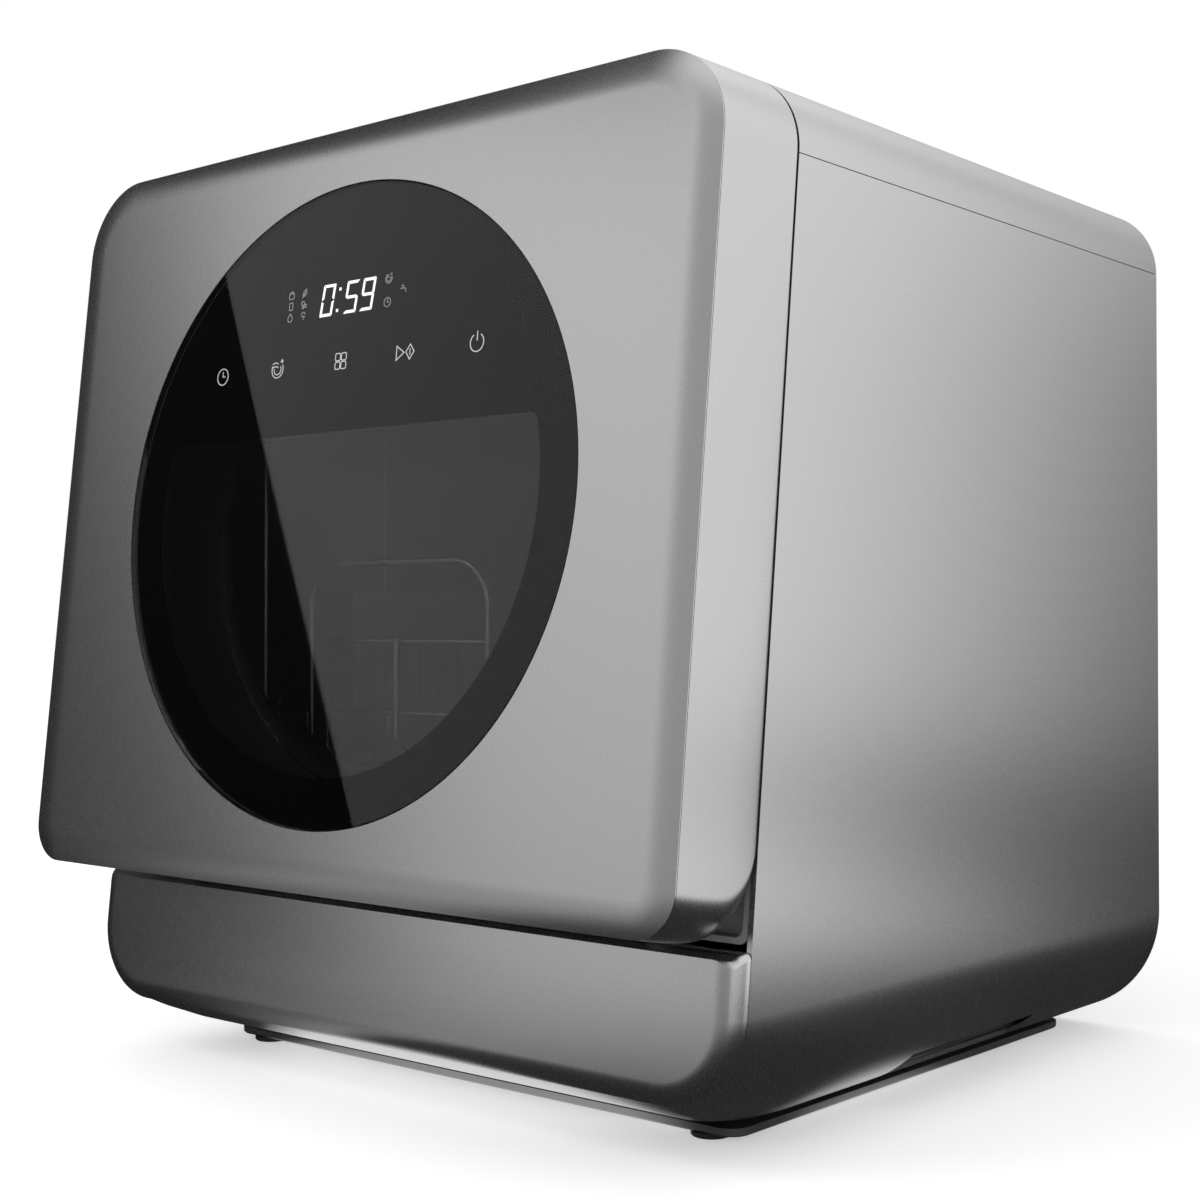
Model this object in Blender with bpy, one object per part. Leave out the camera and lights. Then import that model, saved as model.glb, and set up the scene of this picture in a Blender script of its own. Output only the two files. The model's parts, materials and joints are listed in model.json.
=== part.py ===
"""A countertop dishwasher, in metres, standing on Z = 0 with its front towards -Y.

The front leans: its foot stands further forward than its head. Every piece of
the front and of the door is drawn as an outline in X and Z and laid on a plane
that is so far ahead of the casing's front edge.
"""

import math

import bmesh
import bpy
from mathutils import Matrix, Vector

# Overall
overall_width = 0.420
overall_height = 0.4553
overall_depth = 0.4347
front_tilt_degrees = 6.0
fit_gap = 0.0003
seam_gap = 0.0004
overrun = 0.002
slot_steps = 1
corner_steps = 5
turned_sides = 18
small_sides = 16
round_sides = 32
bend_steps = 3
tube_sides = 8
wire_sides = 5
smooth_below_degrees = 35.0

# Casing
casing_wall = 0.0025
top_corner_radius = 0.038
casing_underside = 0.0068
casing_corner_radius = 0.060
front_underside = 0.0283
front_corner_radius = 0.039
underside_sweep_radius = 0.172
sweep_steps = 5
pan_place_shares = (0.88, 0.93, 1.0)
rear_panel_setback = 0.0015
rear_panel_wall = 0.002
rear_panel_rim = 0.012

# Base plate, feet and the hand grips in the lower edges
base_plate_side_inset = 0.0424
base_plate_front_setback = 0.0566
base_plate_rear_gap = 0.03135
base_plate_corner = 0.010
base_plate_bottom = 0.0027
base_plate_edge = 0.0008
foot_length = 0.036
foot_width = 0.018
foot_edge = 0.0007
front_foot_setback = 0.0177
rear_foot_setback = 0.0295
foot_side_inset = 0.0196
foot_steps = 5
grip_length = 0.1295
grip_rear_gap = 0.10285
grip_end_flare = 0.008
grip_height = 0.0254
grip_wall = 0.002

# Lower front panel
lower_panel_top = 0.0935
lower_panel_proud = 0.008
lower_panel_roll = 0.011
lower_panel_wall = 0.0022
lower_panel_top_corner = 0.003
roll_steps = 3

# Door shell
door_gap = 0.0016
door_crease_ahead = 0.0516
door_bottom = 0.1028
door_bottom_corner = 0.020
door_wall = 0.0025
door_low = 0.0978
heel_radius = 0.018
heel_steps = 4
belly_steps = 3
belly_power = 1.3
pillow_height = 0.0028
pillow_width = 0.0155
pillow_edge = 0.0005
pillow_steps = 3

# Round glass, its carrier and the display behind it
glass_side_inset = 0.0613
glass_end_inset = 0.02755
glass_thickness = 0.0031
glass_sink = 0.0001
glass_edge = 0.0004
glass_sides = 60
carrier_lap = 0.0053
carrier_thickness = 0.0042
window_margin = 0.0227
window_top_share = 0.2202
window_corner = 0.005
display_width_share = 0.807
display_low_share = 0.376
display_high_share = 0.847

# Door liner, inner window and detergent cup
liner_wall = 0.0022
liner_rim = 0.012
liner_bottom_rise = 0.0004
liner_window_margin = 0.006
inner_pane_lap = 0.006
inner_pane_thickness = 0.003
cup_side_inset = 0.125
cup_rise = 0.0382
cup_ceiling_drop = 0.030
cup_width = 0.062
cup_height = 0.040
cup_depth = 0.022
cup_wall = 0.0015
cup_flange = 0.005
cup_flange_thickness = 0.0012
cup_corner = 0.006
lid_thickness = 0.0022
lid_guide_height = 0.003
lid_travel = 0.045
lid_rib_height = 0.0025
lid_rib_width = 0.003

# Door hinge
hinge_ahead = 0.020
hinge_z = 0.107
hinge_side_inset = 0.053
hinge_pin_radius = 0.0029
hinge_bush_gap = 0.0003
hinge_block_width = 0.032
hinge_slot_width = 0.012
hinge_tongue_width = 0.0094
hinge_eye_radius = 0.006
hinge_tongue_half = 0.004
hinge_plate_thickness = 0.0032
hinge_plate_low_z = 0.0995
hinge_plate_high_z = 0.117
hinge_block_rear_ahead = 0.0085
hinge_block_front_ahead = 0.031
hinge_block_top_z = 0.1183

# Front frame and gasket
frame_floor_depth = 0.0065
frame_wall = 0.0025
frame_rim = 0.0025
frame_bottom = 0.096
frame_bottom_corner = 0.004
opening_side_inset = 0.038
opening_bottom = 0.132
opening_top_drop = 0.0793
opening_corner = 0.028
gasket_offset = 0.008
gasket_half_width = 0.003
gasket_shoulder = 0.0012

# Wash tub
tub_side_inset = 0.036
tub_floor = 0.118
tub_ceiling_rise = 0.004
tub_wall = 0.0016
tub_corner = 0.030
tub_rear_gap = 0.05935
tub_rear_chamfer = 0.012
tub_flange_thickness = 0.0025
tub_flange_side = 0.013
tub_flange_fall = 0.006
tub_flange_rise = 0.012
tub_flange_corner = 0.036
side_rib_height = 0.0008
side_rib_width = 0.003
side_rib_crest_share = 0.333
side_rib_top_drop = 0.030
side_rib_depth_shares = (0.204, 0.474, 0.744)

# Sump, filter, spray post and spray arm
sump_radius = 0.040
sump_spacing_share = 0.19813
room_before_sump_share = 0.0833303
room_behind_sump_share = 0.25
sump_floor = 0.0905
sump_wall = 0.0025
sump_flange = 0.010
sump_chamfer = 0.005
spigot_radius = 0.009
spigot_length = 0.010
filter_plate_lap = 0.008
filter_plate_thickness = 0.0014
filter_cup_radius = 0.0255
filter_cup_floor = 0.094
filter_cup_wall = 0.0016
filter_cup_lip = 0.0035
filter_cup_lip_thickness = 0.0014
filter_grip_height = 0.0025
filter_grip_thickness = 0.003
post_radius = 0.0075
post_bore = 0.0045
post_foot_radius = 0.013
post_foot_height = 0.004
post_top = 0.1305
arm_side_gap = 0.054
arm_end_gap = 0.038
arm_bottom = 0.1262
arm_height = 0.0062
arm_root_width = 0.026
arm_tip_width = 0.012
arm_sweep = 0.010
arm_tip_thinning = 0.5
arm_tip_power = 6
arm_stations = 8
arm_hub_radius = 0.015
arm_hub_bottom = 0.1235
arm_hub_top = 0.1335
arm_running_gap = 0.0004
jet_radius = 0.0016
jet_places_shares = (0.40, 0.66, 0.92)

# Heating element, riser tube and its spray head
heater_radius = 0.0032
heater_half_width = 0.078
heater_setback = 0.0511
heater_bend = 0.030
heater_leg_bend = 0.0045
heater_turn_bend = 0.008
heater_leg_spacing = 0.030
heater_leg_share = 0.2166667
heater_leg_bottom = 0.106
riser_radius = 0.005
riser_wall_gap = 0.0010
riser_bend = 0.016
riser_foot_z = 0.108
spray_head_radius = 0.020
spray_head_height = 0.010
spray_head_top_share = 0.8

# Pumps, hoses and electrics under the tub
pump_x = -0.070
pump_setback = 0.060
pump_z = 0.047
pump_radius = 0.029
pump_length = 0.078
volute_radius = 0.034
volute_length = 0.022
cradle_width = 0.046
cradle_length = 0.060
cradle_sink = 0.018
intake_radius = 0.009
intake_bend = 0.020
hose_radius = 0.008
hose_bend = 0.014
drain_pump_x = 0.070
drain_pump_setback = 0.026
drain_pump_z = 0.040
drain_pump_radius = 0.019
drain_pump_length = 0.060
drain_cradle_width = 0.040
drain_cradle_length = 0.026
drain_cradle_sink = 0.012
drain_head_radius = 0.023
drain_head_length = 0.018
drain_hose_radius = 0.007
drain_lane_x = 0.028
drain_lane_front_gap = 0.045
drain_lane_rear_share = 0.309
board_lane_gap = 0.027
board_front_share = 0.3793
board_rear_gap = 0.06735
board_thickness = 0.0016
board_post_radius = 0.0035
board_z = 0.030
board_part_sizes = ((0.012, 0.014), (0.018, 0.018), (0.010, 0.012))
board_part_place_shares = ((0.242, 0.200), (0.600, 0.356), (0.789, 0.756))
board_post_inset = 0.008

# Rear bay with its water inlet, drain spout and cord gland
bay_side_inset = 0.050
bay_width = 0.105
bay_bottom = 0.030
bay_top = 0.090
bay_depth = 0.026
bay_wall = 0.002
bay_corner = 0.008
spout_z = 0.060
inlet_offset = 0.025
drain_offset = 0.053
gland_offset = 0.081
inlet_radius = 0.011
inlet_bore = 0.0085
inlet_body_size = 0.030
inlet_body_length = 0.034
inlet_coil_radius = 0.010
inlet_coil_height = 0.020
drain_spout_radius = 0.0085
drain_spout_bore = 0.006
gland_radius = 0.008
gland_bore = 0.0045
spout_stand = 0.020
spout_flange = 0.0035
spout_flange_thickness = 0.002
vent_rows = 7
vent_columns = 2
vent_pitch = 0.011
vent_height = 0.0035
vent_width = 0.042
vent_spacing_x = 0.050

# Water tank, fill funnel and fill cap
tank_side_inset = 0.045
tank_front_setback = 0.0971
tank_rear_gap = 0.01335
tank_top_drop = 0.0153
tank_wall = 0.002
tank_corner = 0.016
fill_side_inset = 0.110
fill_rear_gap = 0.12735
fill_rim_radius = 0.036
fill_rim_wall = 0.002
fill_sink = 0.0003
funnel_floor_drop = 0.0129
funnel_lip_drop = 0.0042
neck_radius = 0.013
neck_bore = 0.011
neck_depth = 0.014
cap_thickness = 0.0036
cap_running_gap = 0.0008
cap_pull_width = 0.018
cap_pull_depth = 0.006
cap_pull_height = 0.0016
cap_hinge_offset = 0.0385
cap_hinge_drop = 0.0030
cap_barrel_radius = 0.0022
cap_barrel_width = 0.014
cap_stub_radius = 0.0011
cap_stub_length = 0.0015
cap_pocket_width = 0.0148
cap_pocket_wall = 0.003
cap_pocket_floor = 0.001
cap_pocket_reach = 0.0042
cap_pocket_depth = 0.0065

# Drying fan
fan_side_inset = 0.110
fan_drop = 0.060
fan_radius = 0.044
fan_wall = 0.002
fan_rear_gap = 0.01035
fan_intake_radius = 0.007
fan_intakes = 6
fan_intake_ring = 0.024
fan_motor_radius = 0.013
fan_motor_length = 0.014
fan_shaft_radius = 0.0025
fan_hub_radius = 0.008
fan_hub_length = 0.018
fan_disc_radius = 0.038
fan_disc_thickness = 0.0016
fan_blades = 10
fan_blade_root = 0.016
fan_blade_tip = 0.037
fan_blade_thickness = 0.0014
fan_blade_turn_degrees = 28.0
fan_blade_steps = 2
fan_running_gap = 0.0005

# Latch
latch_drop = 0.0273
hook_width = 0.010
hook_thickness = 0.0045
hook_reach = 0.022
hook_foot_height = 0.016
hook_foot_thickness = 0.002
hook_nose = 0.003
latch_slot_width = 0.014
latch_slot_rise = 0.009
latch_slot_fall = 0.004
latch_housing_width = 0.040
latch_housing_fall = 0.016
latch_housing_rise = 0.018
latch_housing_depth = 0.034

# Rack, basket and cup shelf
wire_radius = 0.0017
rail_low_z = 0.1365
rail_width = 0.024
rail_front_inset = 0.004
rail_rear_gap = 0.006
rail_wall = 0.0022
rack_floor_z = 0.1486
rack_side_gap = 0.014
rack_floor_setback = 0.0671
rack_front_setback = 0.0406
rack_rear_gap = 0.030
rack_rim_z = 0.180
rack_bend = 0.012
rack_floor_wires = 6
rack_bend_steps = 2
rack_cross_wire_shares = (0.055, 0.2034, 0.5, 0.7966)
wire_overlap_share = 0.6
hoop_left = -0.082
hoop_right = 0.041
hoop_top_z = 0.2535
hoop_bar_z = 0.215
hoop_bend = 0.022
tine_top_z = 0.200
tine_half_width = 0.016
tine_bend = 0.010
tine_row_inset = 0.066
tine_place_shares = (0.394, 0.555, 0.716, 0.877)
tine_rail_front_share = 0.182
basket_left = -0.074
basket_right = 0.022
basket_setback = 0.0135
basket_depth = 0.048
basket_floor_y_shift = 0.018
basket_top_z = 0.240
basket_wall = 0.0018
basket_corner = 0.008
basket_slots = 6
basket_slot_width = 0.0055
basket_slot_low_z = 0.172
basket_slot_high_z = 0.212
shelf_drop = 0.080
shelf_reach = 0.074
shelf_length_share = 0.48
shelf_rear_gap = 0.058
shelf_bend = 0.008
shelf_wires = 5
shelf_wall_gap = 0.0078
shelf_wire_radius = 0.0016
strip_thickness = 0.0035
strip_height = 0.014
strip_end_inset = 0.006
clip_radius = 0.0036
clip_width = 0.010
clip_inset = 0.0135

# Colours: red, green, blue, roughness, metallic
finishes = {
    "silver_shell": (0.43, 0.43, 0.43, 0.32, 0.85),
    "dark_trim": (0.045, 0.045, 0.047, 0.45, 0.0),
    "black_glass": (0.006, 0.006, 0.006, 0.06, 0.0),
    "clear_pane": (0.62, 0.66, 0.66, 0.08, 0.0),
    "steel_sheet": (0.55, 0.55, 0.55, 0.28, 1.0),
    "steel_wire": (0.50, 0.50, 0.51, 0.22, 1.0),
    "grey_plastic": (0.22, 0.22, 0.23, 0.50, 0.0),
    "white_plastic": (0.70, 0.70, 0.68, 0.45, 0.0),
    "rubber": (0.020, 0.020, 0.020, 0.70, 0.0),
    "circuit_board": (0.020, 0.160, 0.070, 0.45, 0.0),
    "translucent_tank": (0.60, 0.66, 0.68, 0.35, 0.0),
}

# Worked out from the sizes above
half_width = overall_width / 2
rear_y = overall_depth / 2
front_tilt = math.radians(front_tilt_degrees)
front_slope = math.tan(front_tilt)
door_face_ahead = door_crease_ahead + pillow_height
cover_seam_z = overall_height - top_corner_radius
front_rise = front_underside - casing_underside
sweep_reach = math.sqrt(2 * underside_sweep_radius * front_rise - front_rise ** 2)
trim_joint_x = half_width - front_corner_radius


def pillow_profile():
    """Inset from the door's edge and height above the crease, from the crease to the flat face."""
    for step in range(pillow_steps + 1):
        run = step / pillow_steps
        yield pillow_width * run, pillow_edge + (pillow_height - pillow_edge) * (1 - (1 - run) ** 2)


# The door's face reaches furthest forward just above its lower edge
face_reach = max(
    door_crease_ahead + height - front_slope * (door_bottom + inset) for inset, height in pillow_profile()
)
seam_foot_y = face_reach - rear_y


def front_y(z, ahead=0.0):
    """Y of the casing's leaning front edge at height z, or of a plane so far ahead of it."""
    return seam_foot_y + front_slope * z - ahead


# Casing and base
rim_y = front_y(front_underside)
sweep_end_y = rim_y + sweep_reach
rear_panel_inner_y = rear_y - rear_panel_setback - rear_panel_wall
pan_top = casing_underside + casing_wall
base_plate_width = overall_width - 2 * base_plate_side_inset
base_plate_front_y = seam_foot_y + base_plate_front_setback
base_plate_rear_y = rear_y - base_plate_rear_gap
foot_spacing_x = base_plate_width - 2 * foot_side_inset
front_foot_y = base_plate_front_y + front_foot_setback
rear_foot_y = base_plate_rear_y - rear_foot_setback
grip_rear_y = rear_y - grip_rear_gap
grip_front_y = grip_rear_y - grip_length
bay_left = bay_side_inset - half_width
bay_right = bay_left + bay_width
inlet_x = bay_left + inlet_offset
drain_x = bay_left + drain_offset
gland_x = bay_left + gland_offset

# Tub, with its mouth in the front frame
frame_back_ahead = -(frame_floor_depth + frame_wall)
tub_front_ahead = frame_back_ahead - fit_gap
opening_width = overall_width - 2 * opening_side_inset
opening_top = overall_height - opening_top_drop
tub_half_width = half_width - tub_side_inset
tub_ceiling = opening_top + tub_ceiling_rise
tub_outer_floor = tub_floor - tub_wall
tub_outer_ceiling = tub_ceiling + tub_wall
tub_rear_y = rear_y - tub_rear_gap
tub_depth = tub_rear_y - seam_foot_y
tub_flange_half_width = tub_half_width + tub_flange_side
tub_flange_bottom = tub_floor - tub_flange_fall
tub_flange_top = tub_ceiling + tub_flange_rise
side_rib_top_z = tub_ceiling - side_rib_top_drop
side_rib_places_y = tuple(tub_rear_y - tub_depth * share for share in side_rib_depth_shares)

# What stands in the tub
heater_front_y = seam_foot_y + heater_setback
filter_plate_radius = sump_radius + filter_plate_lap
sump_spacing = tub_depth * sump_spacing_share
floor_room = tub_rear_y - heater_front_y - 2 * filter_plate_radius - sump_spacing
sump_front_y = heater_front_y + filter_plate_radius + floor_room * room_before_sump_share
sump_rear_y = sump_front_y + sump_spacing
heater_rear_y = sump_rear_y + filter_plate_radius + floor_room * room_behind_sump_share
heater_leg_y = heater_rear_y + floor_room * heater_leg_share
arm_reach = min(tub_half_width - arm_side_gap, tub_rear_y - sump_rear_y - arm_end_gap)
rack_half_width = tub_half_width - rack_side_gap
rack_front_y = seam_foot_y + rack_front_setback
rack_floor_front_y = seam_foot_y + rack_floor_setback
rack_rear_y = tub_rear_y - rack_rear_gap
rack_length = rack_rear_y - rack_floor_front_y
rack_cross_wires_y = tuple(rack_floor_front_y + rack_length * share for share in rack_cross_wire_shares)
tine_rows_x = (rack_half_width - tine_row_inset, tine_row_inset - rack_half_width)
tine_places_y = tuple(rack_floor_front_y + rack_length * share for share in tine_place_shares)
tine_rail_front_y = rack_floor_front_y + rack_length * tine_rail_front_share
basket_front_y = rack_front_y + basket_setback
basket_rear_y = basket_front_y + basket_depth
shelf_z = tub_ceiling - shelf_drop
shelf_rear_y = tub_rear_y - shelf_rear_gap
shelf_front_y = shelf_rear_y - tub_depth * shelf_length_share

# What lies round the tub
pump_y = sump_rear_y + pump_setback
pump_rear_y = pump_y + pump_length / 2
drain_pump_y = sump_front_y + drain_pump_setback
drain_lane_front_y = drain_pump_y + drain_lane_front_gap
board_high = (half_width - casing_corner_radius, rear_y - board_rear_gap)
board_low = (
    drain_lane_x + board_lane_gap,
    drain_lane_front_y + (board_high[1] - drain_lane_front_y) * board_front_share,
)
tank_half_width = half_width - tank_side_inset
tank_front_y = seam_foot_y + tank_front_setback
tank_rear_y = rear_y - tank_rear_gap
tank_top = overall_height - tank_top_drop
fill_x = half_width - fill_side_inset
fill_y = rear_y - fill_rear_gap
fan_x = fan_side_inset - half_width
fan_z = tub_ceiling - fan_drop
fan_rear_y = rear_y - fan_rear_gap

# Door
hinge_x = half_width - hinge_side_inset
hinge_y = front_y(hinge_z, hinge_ahead)
glass_centre_z = (door_bottom + overall_height) / 2
glass_radius = min(half_width - glass_side_inset, (overall_height - door_bottom) / 2 - glass_end_inset)
carrier_radius = glass_radius + carrier_lap
window_radius = glass_radius - window_margin
window_top_z = min(
    glass_centre_z + glass_radius * window_top_share,
    tub_ceiling - cup_ceiling_drop - cup_rise,
)
display_width = glass_radius * display_width_share
display_low_z = glass_centre_z + glass_radius * display_low_share
display_high_z = glass_centre_z + glass_radius * display_high_share
cup_centre_x = half_width - cup_side_inset
cup_centre_z = window_top_z + cup_rise
latch_z = overall_height - latch_drop
latch_housing_low_z = latch_z - latch_housing_fall
latch_housing_high_z = latch_z + latch_housing_rise


# Outlines in two dimensions

def rounded_rectangle(low, high, radii, steps=corner_steps):
    """Corner radii run anticlockwise from the low corner."""
    (left, bottom), (right, top) = low, high
    places = ((left, bottom), (right, bottom), (right, top), (left, top))
    points = []
    for turn, ((x, z), radius) in enumerate(zip(places, radii)):
        centre_x = x + radius if x == left else x - radius
        centre_z = z + radius if z == bottom else z - radius
        for step in range(steps + 1):
            angle = math.pi * (1 + turn / 2) + math.pi / 2 * step / steps
            points.append((centre_x + radius * math.cos(angle), centre_z + radius * math.sin(angle)))
    return points


def circle(radius, centre=(0.0, 0.0), sides=turned_sides, flatten=1.0):
    angles = [2 * math.pi * side / sides for side in range(sides)]
    return [
        (centre[0] + radius * math.cos(angle), centre[1] + flatten * radius * math.sin(angle))
        for angle in angles
    ]


def stadium(centre_x, first_y, last_y, radius, steps=foot_steps):
    """Two half circles about first_y and last_y, joined by straight sides."""
    points = []
    for centre_y, start in ((last_y, 0.0), (first_y, math.pi)):
        for step in range(steps + 1):
            angle = start + math.pi * step / steps
            points.append((centre_x + radius * math.cos(angle), centre_y + radius * math.sin(angle)))
    return points


def clipped_circle(radius, top_z, corner, sides=glass_sides):
    """The glass circle's lower part, below a level edge at top_z, with rounded upper corners."""
    rise = (top_z - glass_centre_z) / math.cos(front_tilt)
    corner_rise = rise - corner
    corner_run = math.sqrt((radius - corner) ** 2 - corner_rise ** 2)
    start = math.atan2(corner_rise, corner_run)
    sweep = math.pi + 2 * start
    points = []
    for step in range(sides // 2 + 1):
        angle = math.pi - start + sweep * step / (sides // 2)
        points.append((radius * math.cos(angle), radius * math.sin(angle)))
    for side, first, last in ((1, start, math.pi / 2), (-1, math.pi / 2, math.pi - start)):
        for step in range(1 if side > 0 else 0, bend_steps + (1 if side > 0 else 0)):
            angle = first + (last - first) * step / bend_steps
            x = side * corner_run + corner * math.cos(angle)
            points.append((x, corner_rise + corner * math.sin(angle)))
    return [(x, glass_centre_z + z * math.cos(front_tilt)) for x, z in points]


# Rings in space

def on_front(outline, ahead):
    return [(x, front_y(z, ahead), z) for x, z in outline]


def at_y(outline, y):
    return [(x, y, z) for x, z in outline]


def at_z(outline, z):
    return [(x, y, z) for x, y in outline]


# Solids

def finish(piece, name):
    """Give the piece a material of its own in one of the named finishes."""
    red, green, blue, roughness, metallic = finishes[name]
    material = bpy.data.materials.new(piece.name + "_" + name)
    material.use_nodes = True
    material.diffuse_color = (red, green, blue, 1.0)
    shader = material.node_tree.nodes["Principled BSDF"]
    shader.inputs["Base Color"].default_value = (red, green, blue, 1.0)
    shader.inputs["Roughness"].default_value = roughness
    shader.inputs["Metallic"].default_value = metallic
    piece.data.materials.append(material)
    return piece


def solid(name, form, location=(0.0, 0.0, 0.0), rotation=(0.0, 0.0, 0.0)):
    """Turn a bmesh into an object whose faces point outwards."""
    bmesh.ops.recalc_face_normals(form, faces=form.faces)
    mesh = bpy.data.meshes.new(name)
    form.to_mesh(mesh)
    form.free()
    mesh.shade_smooth()
    mesh.set_sharp_from_angle(angle=math.radians(smooth_below_degrees))
    piece = bpy.data.objects.new(name, mesh)
    piece.location = location
    piece.rotation_euler = rotation
    bpy.context.scene.collection.objects.link(piece)
    return piece


def add_loft(form, rings, joined=False):
    """Skin a row of rings. A joined row closes on itself; the others end in flat caps."""
    loops = [[form.verts.new(point) for point in ring] for ring in rings]
    followers = loops[1:] + loops[:1] if joined else loops[1:]
    for first, second in zip(loops, followers):
        for index in range(len(first)):
            after = (index + 1) % len(first)
            form.faces.new((first[index], first[after], second[after], second[index]))
    if not joined:
        form.faces.new(loops[0])
        form.faces.new(loops[-1])


def loft(name, rings, joined=False):
    form = bmesh.new()
    add_loft(form, rings, joined)
    return solid(name, form)


def front_prism(name, outline, back_ahead, face_ahead):
    return loft(name, [on_front(outline, back_ahead), on_front(outline, face_ahead)])


def x_prism(name, outline, first_x, last_x):
    """A prism along X whose outline is given in Y and Z."""
    return loft(name, [[(x, y, z) for y, z in outline] for x in (first_x, last_x)])


def side_prism(name, outline, first_x, last_x):
    """A prism along X whose outline is given as distance ahead of the seam, and height."""
    return x_prism(name, [(front_y(z, ahead), z) for ahead, z in outline], first_x, last_x)


axis_rotations = {
    "X": (0.0, math.pi / 2, 0.0),
    "Y": (-math.pi / 2, 0.0, 0.0),
    "Z": (0.0, 0.0, 0.0),
}


def turned(name, profile, centre, axis="Z", sides=turned_sides, ring=False):
    """Turn (radius, height) points about an axis through centre. A ring keeps its middle open."""
    form = bmesh.new()
    add_loft(form, [at_z(circle(radius, sides=sides), height) for radius, height in profile], ring)
    return solid(name, form, centre, axis_rotations[axis])


def rod(name, radius, length, centre, axis="Z", sides=turned_sides):
    """A plain round bar, centred on its length."""
    return turned(name, ((radius, -length / 2), (radius, length / 2)), centre, axis, sides)


def block(name, low, high, edge=0.0):
    form = bmesh.new()
    bmesh.ops.create_cube(form, size=1.0)
    low, high = Vector(low), Vector(high)
    size = high - low
    for vertex in form.verts:
        vertex.co = (low + high) / 2 + Vector(a * b for a, b in zip(vertex.co, size))
    if edge:
        bmesh.ops.bevel(form, geom=form.edges[:], offset=edge, segments=1, affect="EDGES")
    return solid(name, form)


def bent(corners, radius, closed=False, steps=bend_steps):
    """A path through the corners, each turned into an arc. The radii may differ from corner to corner."""
    corners = [Vector(corner) for corner in corners]
    if closed:
        triples = [(corners[i - 1], corners[i], corners[(i + 1) % len(corners)]) for i in range(len(corners))]
    else:
        triples = list(zip(corners, corners[1:], corners[2:]))
    radii = radius if isinstance(radius, tuple) else (radius,) * len(triples)
    path = [] if closed else [corners[0]]
    for (before, corner, after), radius in zip(triples, radii):
        inward = (before - corner).normalized()
        outward = (after - corner).normalized()
        half_angle = inward.angle(outward) / 2
        centre = corner + (inward + outward).normalized() * radius / math.sin(half_angle)
        first = (corner + inward * radius / math.tan(half_angle) - centre).normalized()
        last = (corner + outward * radius / math.tan(half_angle) - centre).normalized()
        path += [centre + first.slerp(last, step / steps) * radius for step in range(steps + 1)]
    return path if closed else path + [corners[-1]]


def add_tube(form, path, radius, closed=False, sides=tube_sides):
    """A round tube along a path, its rings carried along without twisting."""
    path = [Vector(point) for point in path]
    count = len(path)
    tangents = []
    for index in range(count):
        before = path[index - 1] if closed or index else path[0]
        after = path[(index + 1) % count] if closed or index < count - 1 else path[-1]
        tangents.append((after - before).normalized())
    side = tangents[0].orthogonal().normalized()
    rings = []
    for point, tangent in zip(path, tangents):
        side = (side - tangent * side.dot(tangent)).normalized()
        other = tangent.cross(side)
        rings.append([point + (side * x + other * y) for x, y in circle(radius, sides=sides)])
    add_loft(form, rings, joined=closed)


def tube(name, path, radius, closed=False, sides=tube_sides):
    form = bmesh.new()
    add_tube(form, path, radius, closed, sides)
    return solid(name, form)


def combine(piece, helper, operation, overlapping=False):
    """Cut a helper away from a piece, or join it on. The helper follows the piece and isn't drawn."""
    modifier = piece.modifiers.new(operation.lower() + "_" + helper.name, "BOOLEAN")
    modifier.operation = operation
    modifier.solver = "EXACT"
    modifier.use_self = overlapping
    modifier.object = helper
    bpy.context.view_layer.update()
    helper.parent = piece
    helper.matrix_parent_inverse = piece.matrix_world.inverted()
    helper.hide_render = True
    helper.display_type = "WIRE"
    return piece


def cut(piece, *helpers):
    for helper in helpers:
        combine(piece, helper, "DIFFERENCE")
    return piece


def fuse(piece, *helpers):
    for helper in helpers:
        combine(piece, helper, "UNION")
    return piece


def wire_frame(name, paths, radius):
    """Weld wires that cross each other into one solid. A path is (points, closed)."""
    form = bmesh.new()
    for points, closed in paths[:-1]:
        add_tube(form, points, radius, closed, wire_sides)
    last_points, last_closed = paths[-1]
    frame = solid(name, form)
    last_wire = tube(name + "_last_wire", last_points, radius, last_closed, wire_sides)
    return combine(frame, last_wire, "UNION", True)


def pivot(name, location):
    """An empty on a joint's axis, which carries the pieces that move with it."""
    empty = bpy.data.objects.new(name, None)
    empty.location = location
    empty.empty_display_size = overrun
    bpy.context.scene.collection.objects.link(empty)
    bpy.context.view_layer.update()
    return empty


def attach(piece, carrier):
    """Parent a piece to a pivot and keep it where it is."""
    bpy.context.view_layer.update()
    place = piece.matrix_world.copy()
    piece.parent = carrier
    piece.matrix_parent_inverse = Matrix.Identity(4)
    piece.matrix_basis = carrier.matrix_world.inverted() @ place
    return piece


def side_name(side):
    return "left" if side < 0 else "right"


# Casing

def underside_at(y):
    """Height of the casing's underside and radius of its lower corners, at depth y."""
    run = min(max(sweep_end_y - y, 0.0), sweep_reach)
    rise = underside_sweep_radius - math.sqrt(underside_sweep_radius ** 2 - run ** 2)
    radius = casing_corner_radius + (front_corner_radius - casing_corner_radius) * rise / front_rise
    return casing_underside + rise, radius


def casing_stations():
    sweep = [rim_y + sweep_reach * step / sweep_steps for step in range(sweep_steps + 1)]
    return sweep + [rear_y]


def casing_y(station_y, z):
    """A station follows the leaning front edge at the front and stands upright at the rear."""
    lean = (rear_y - station_y) / (rear_y - rim_y)
    return station_y + front_slope * (z - front_underside) * lean


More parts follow.
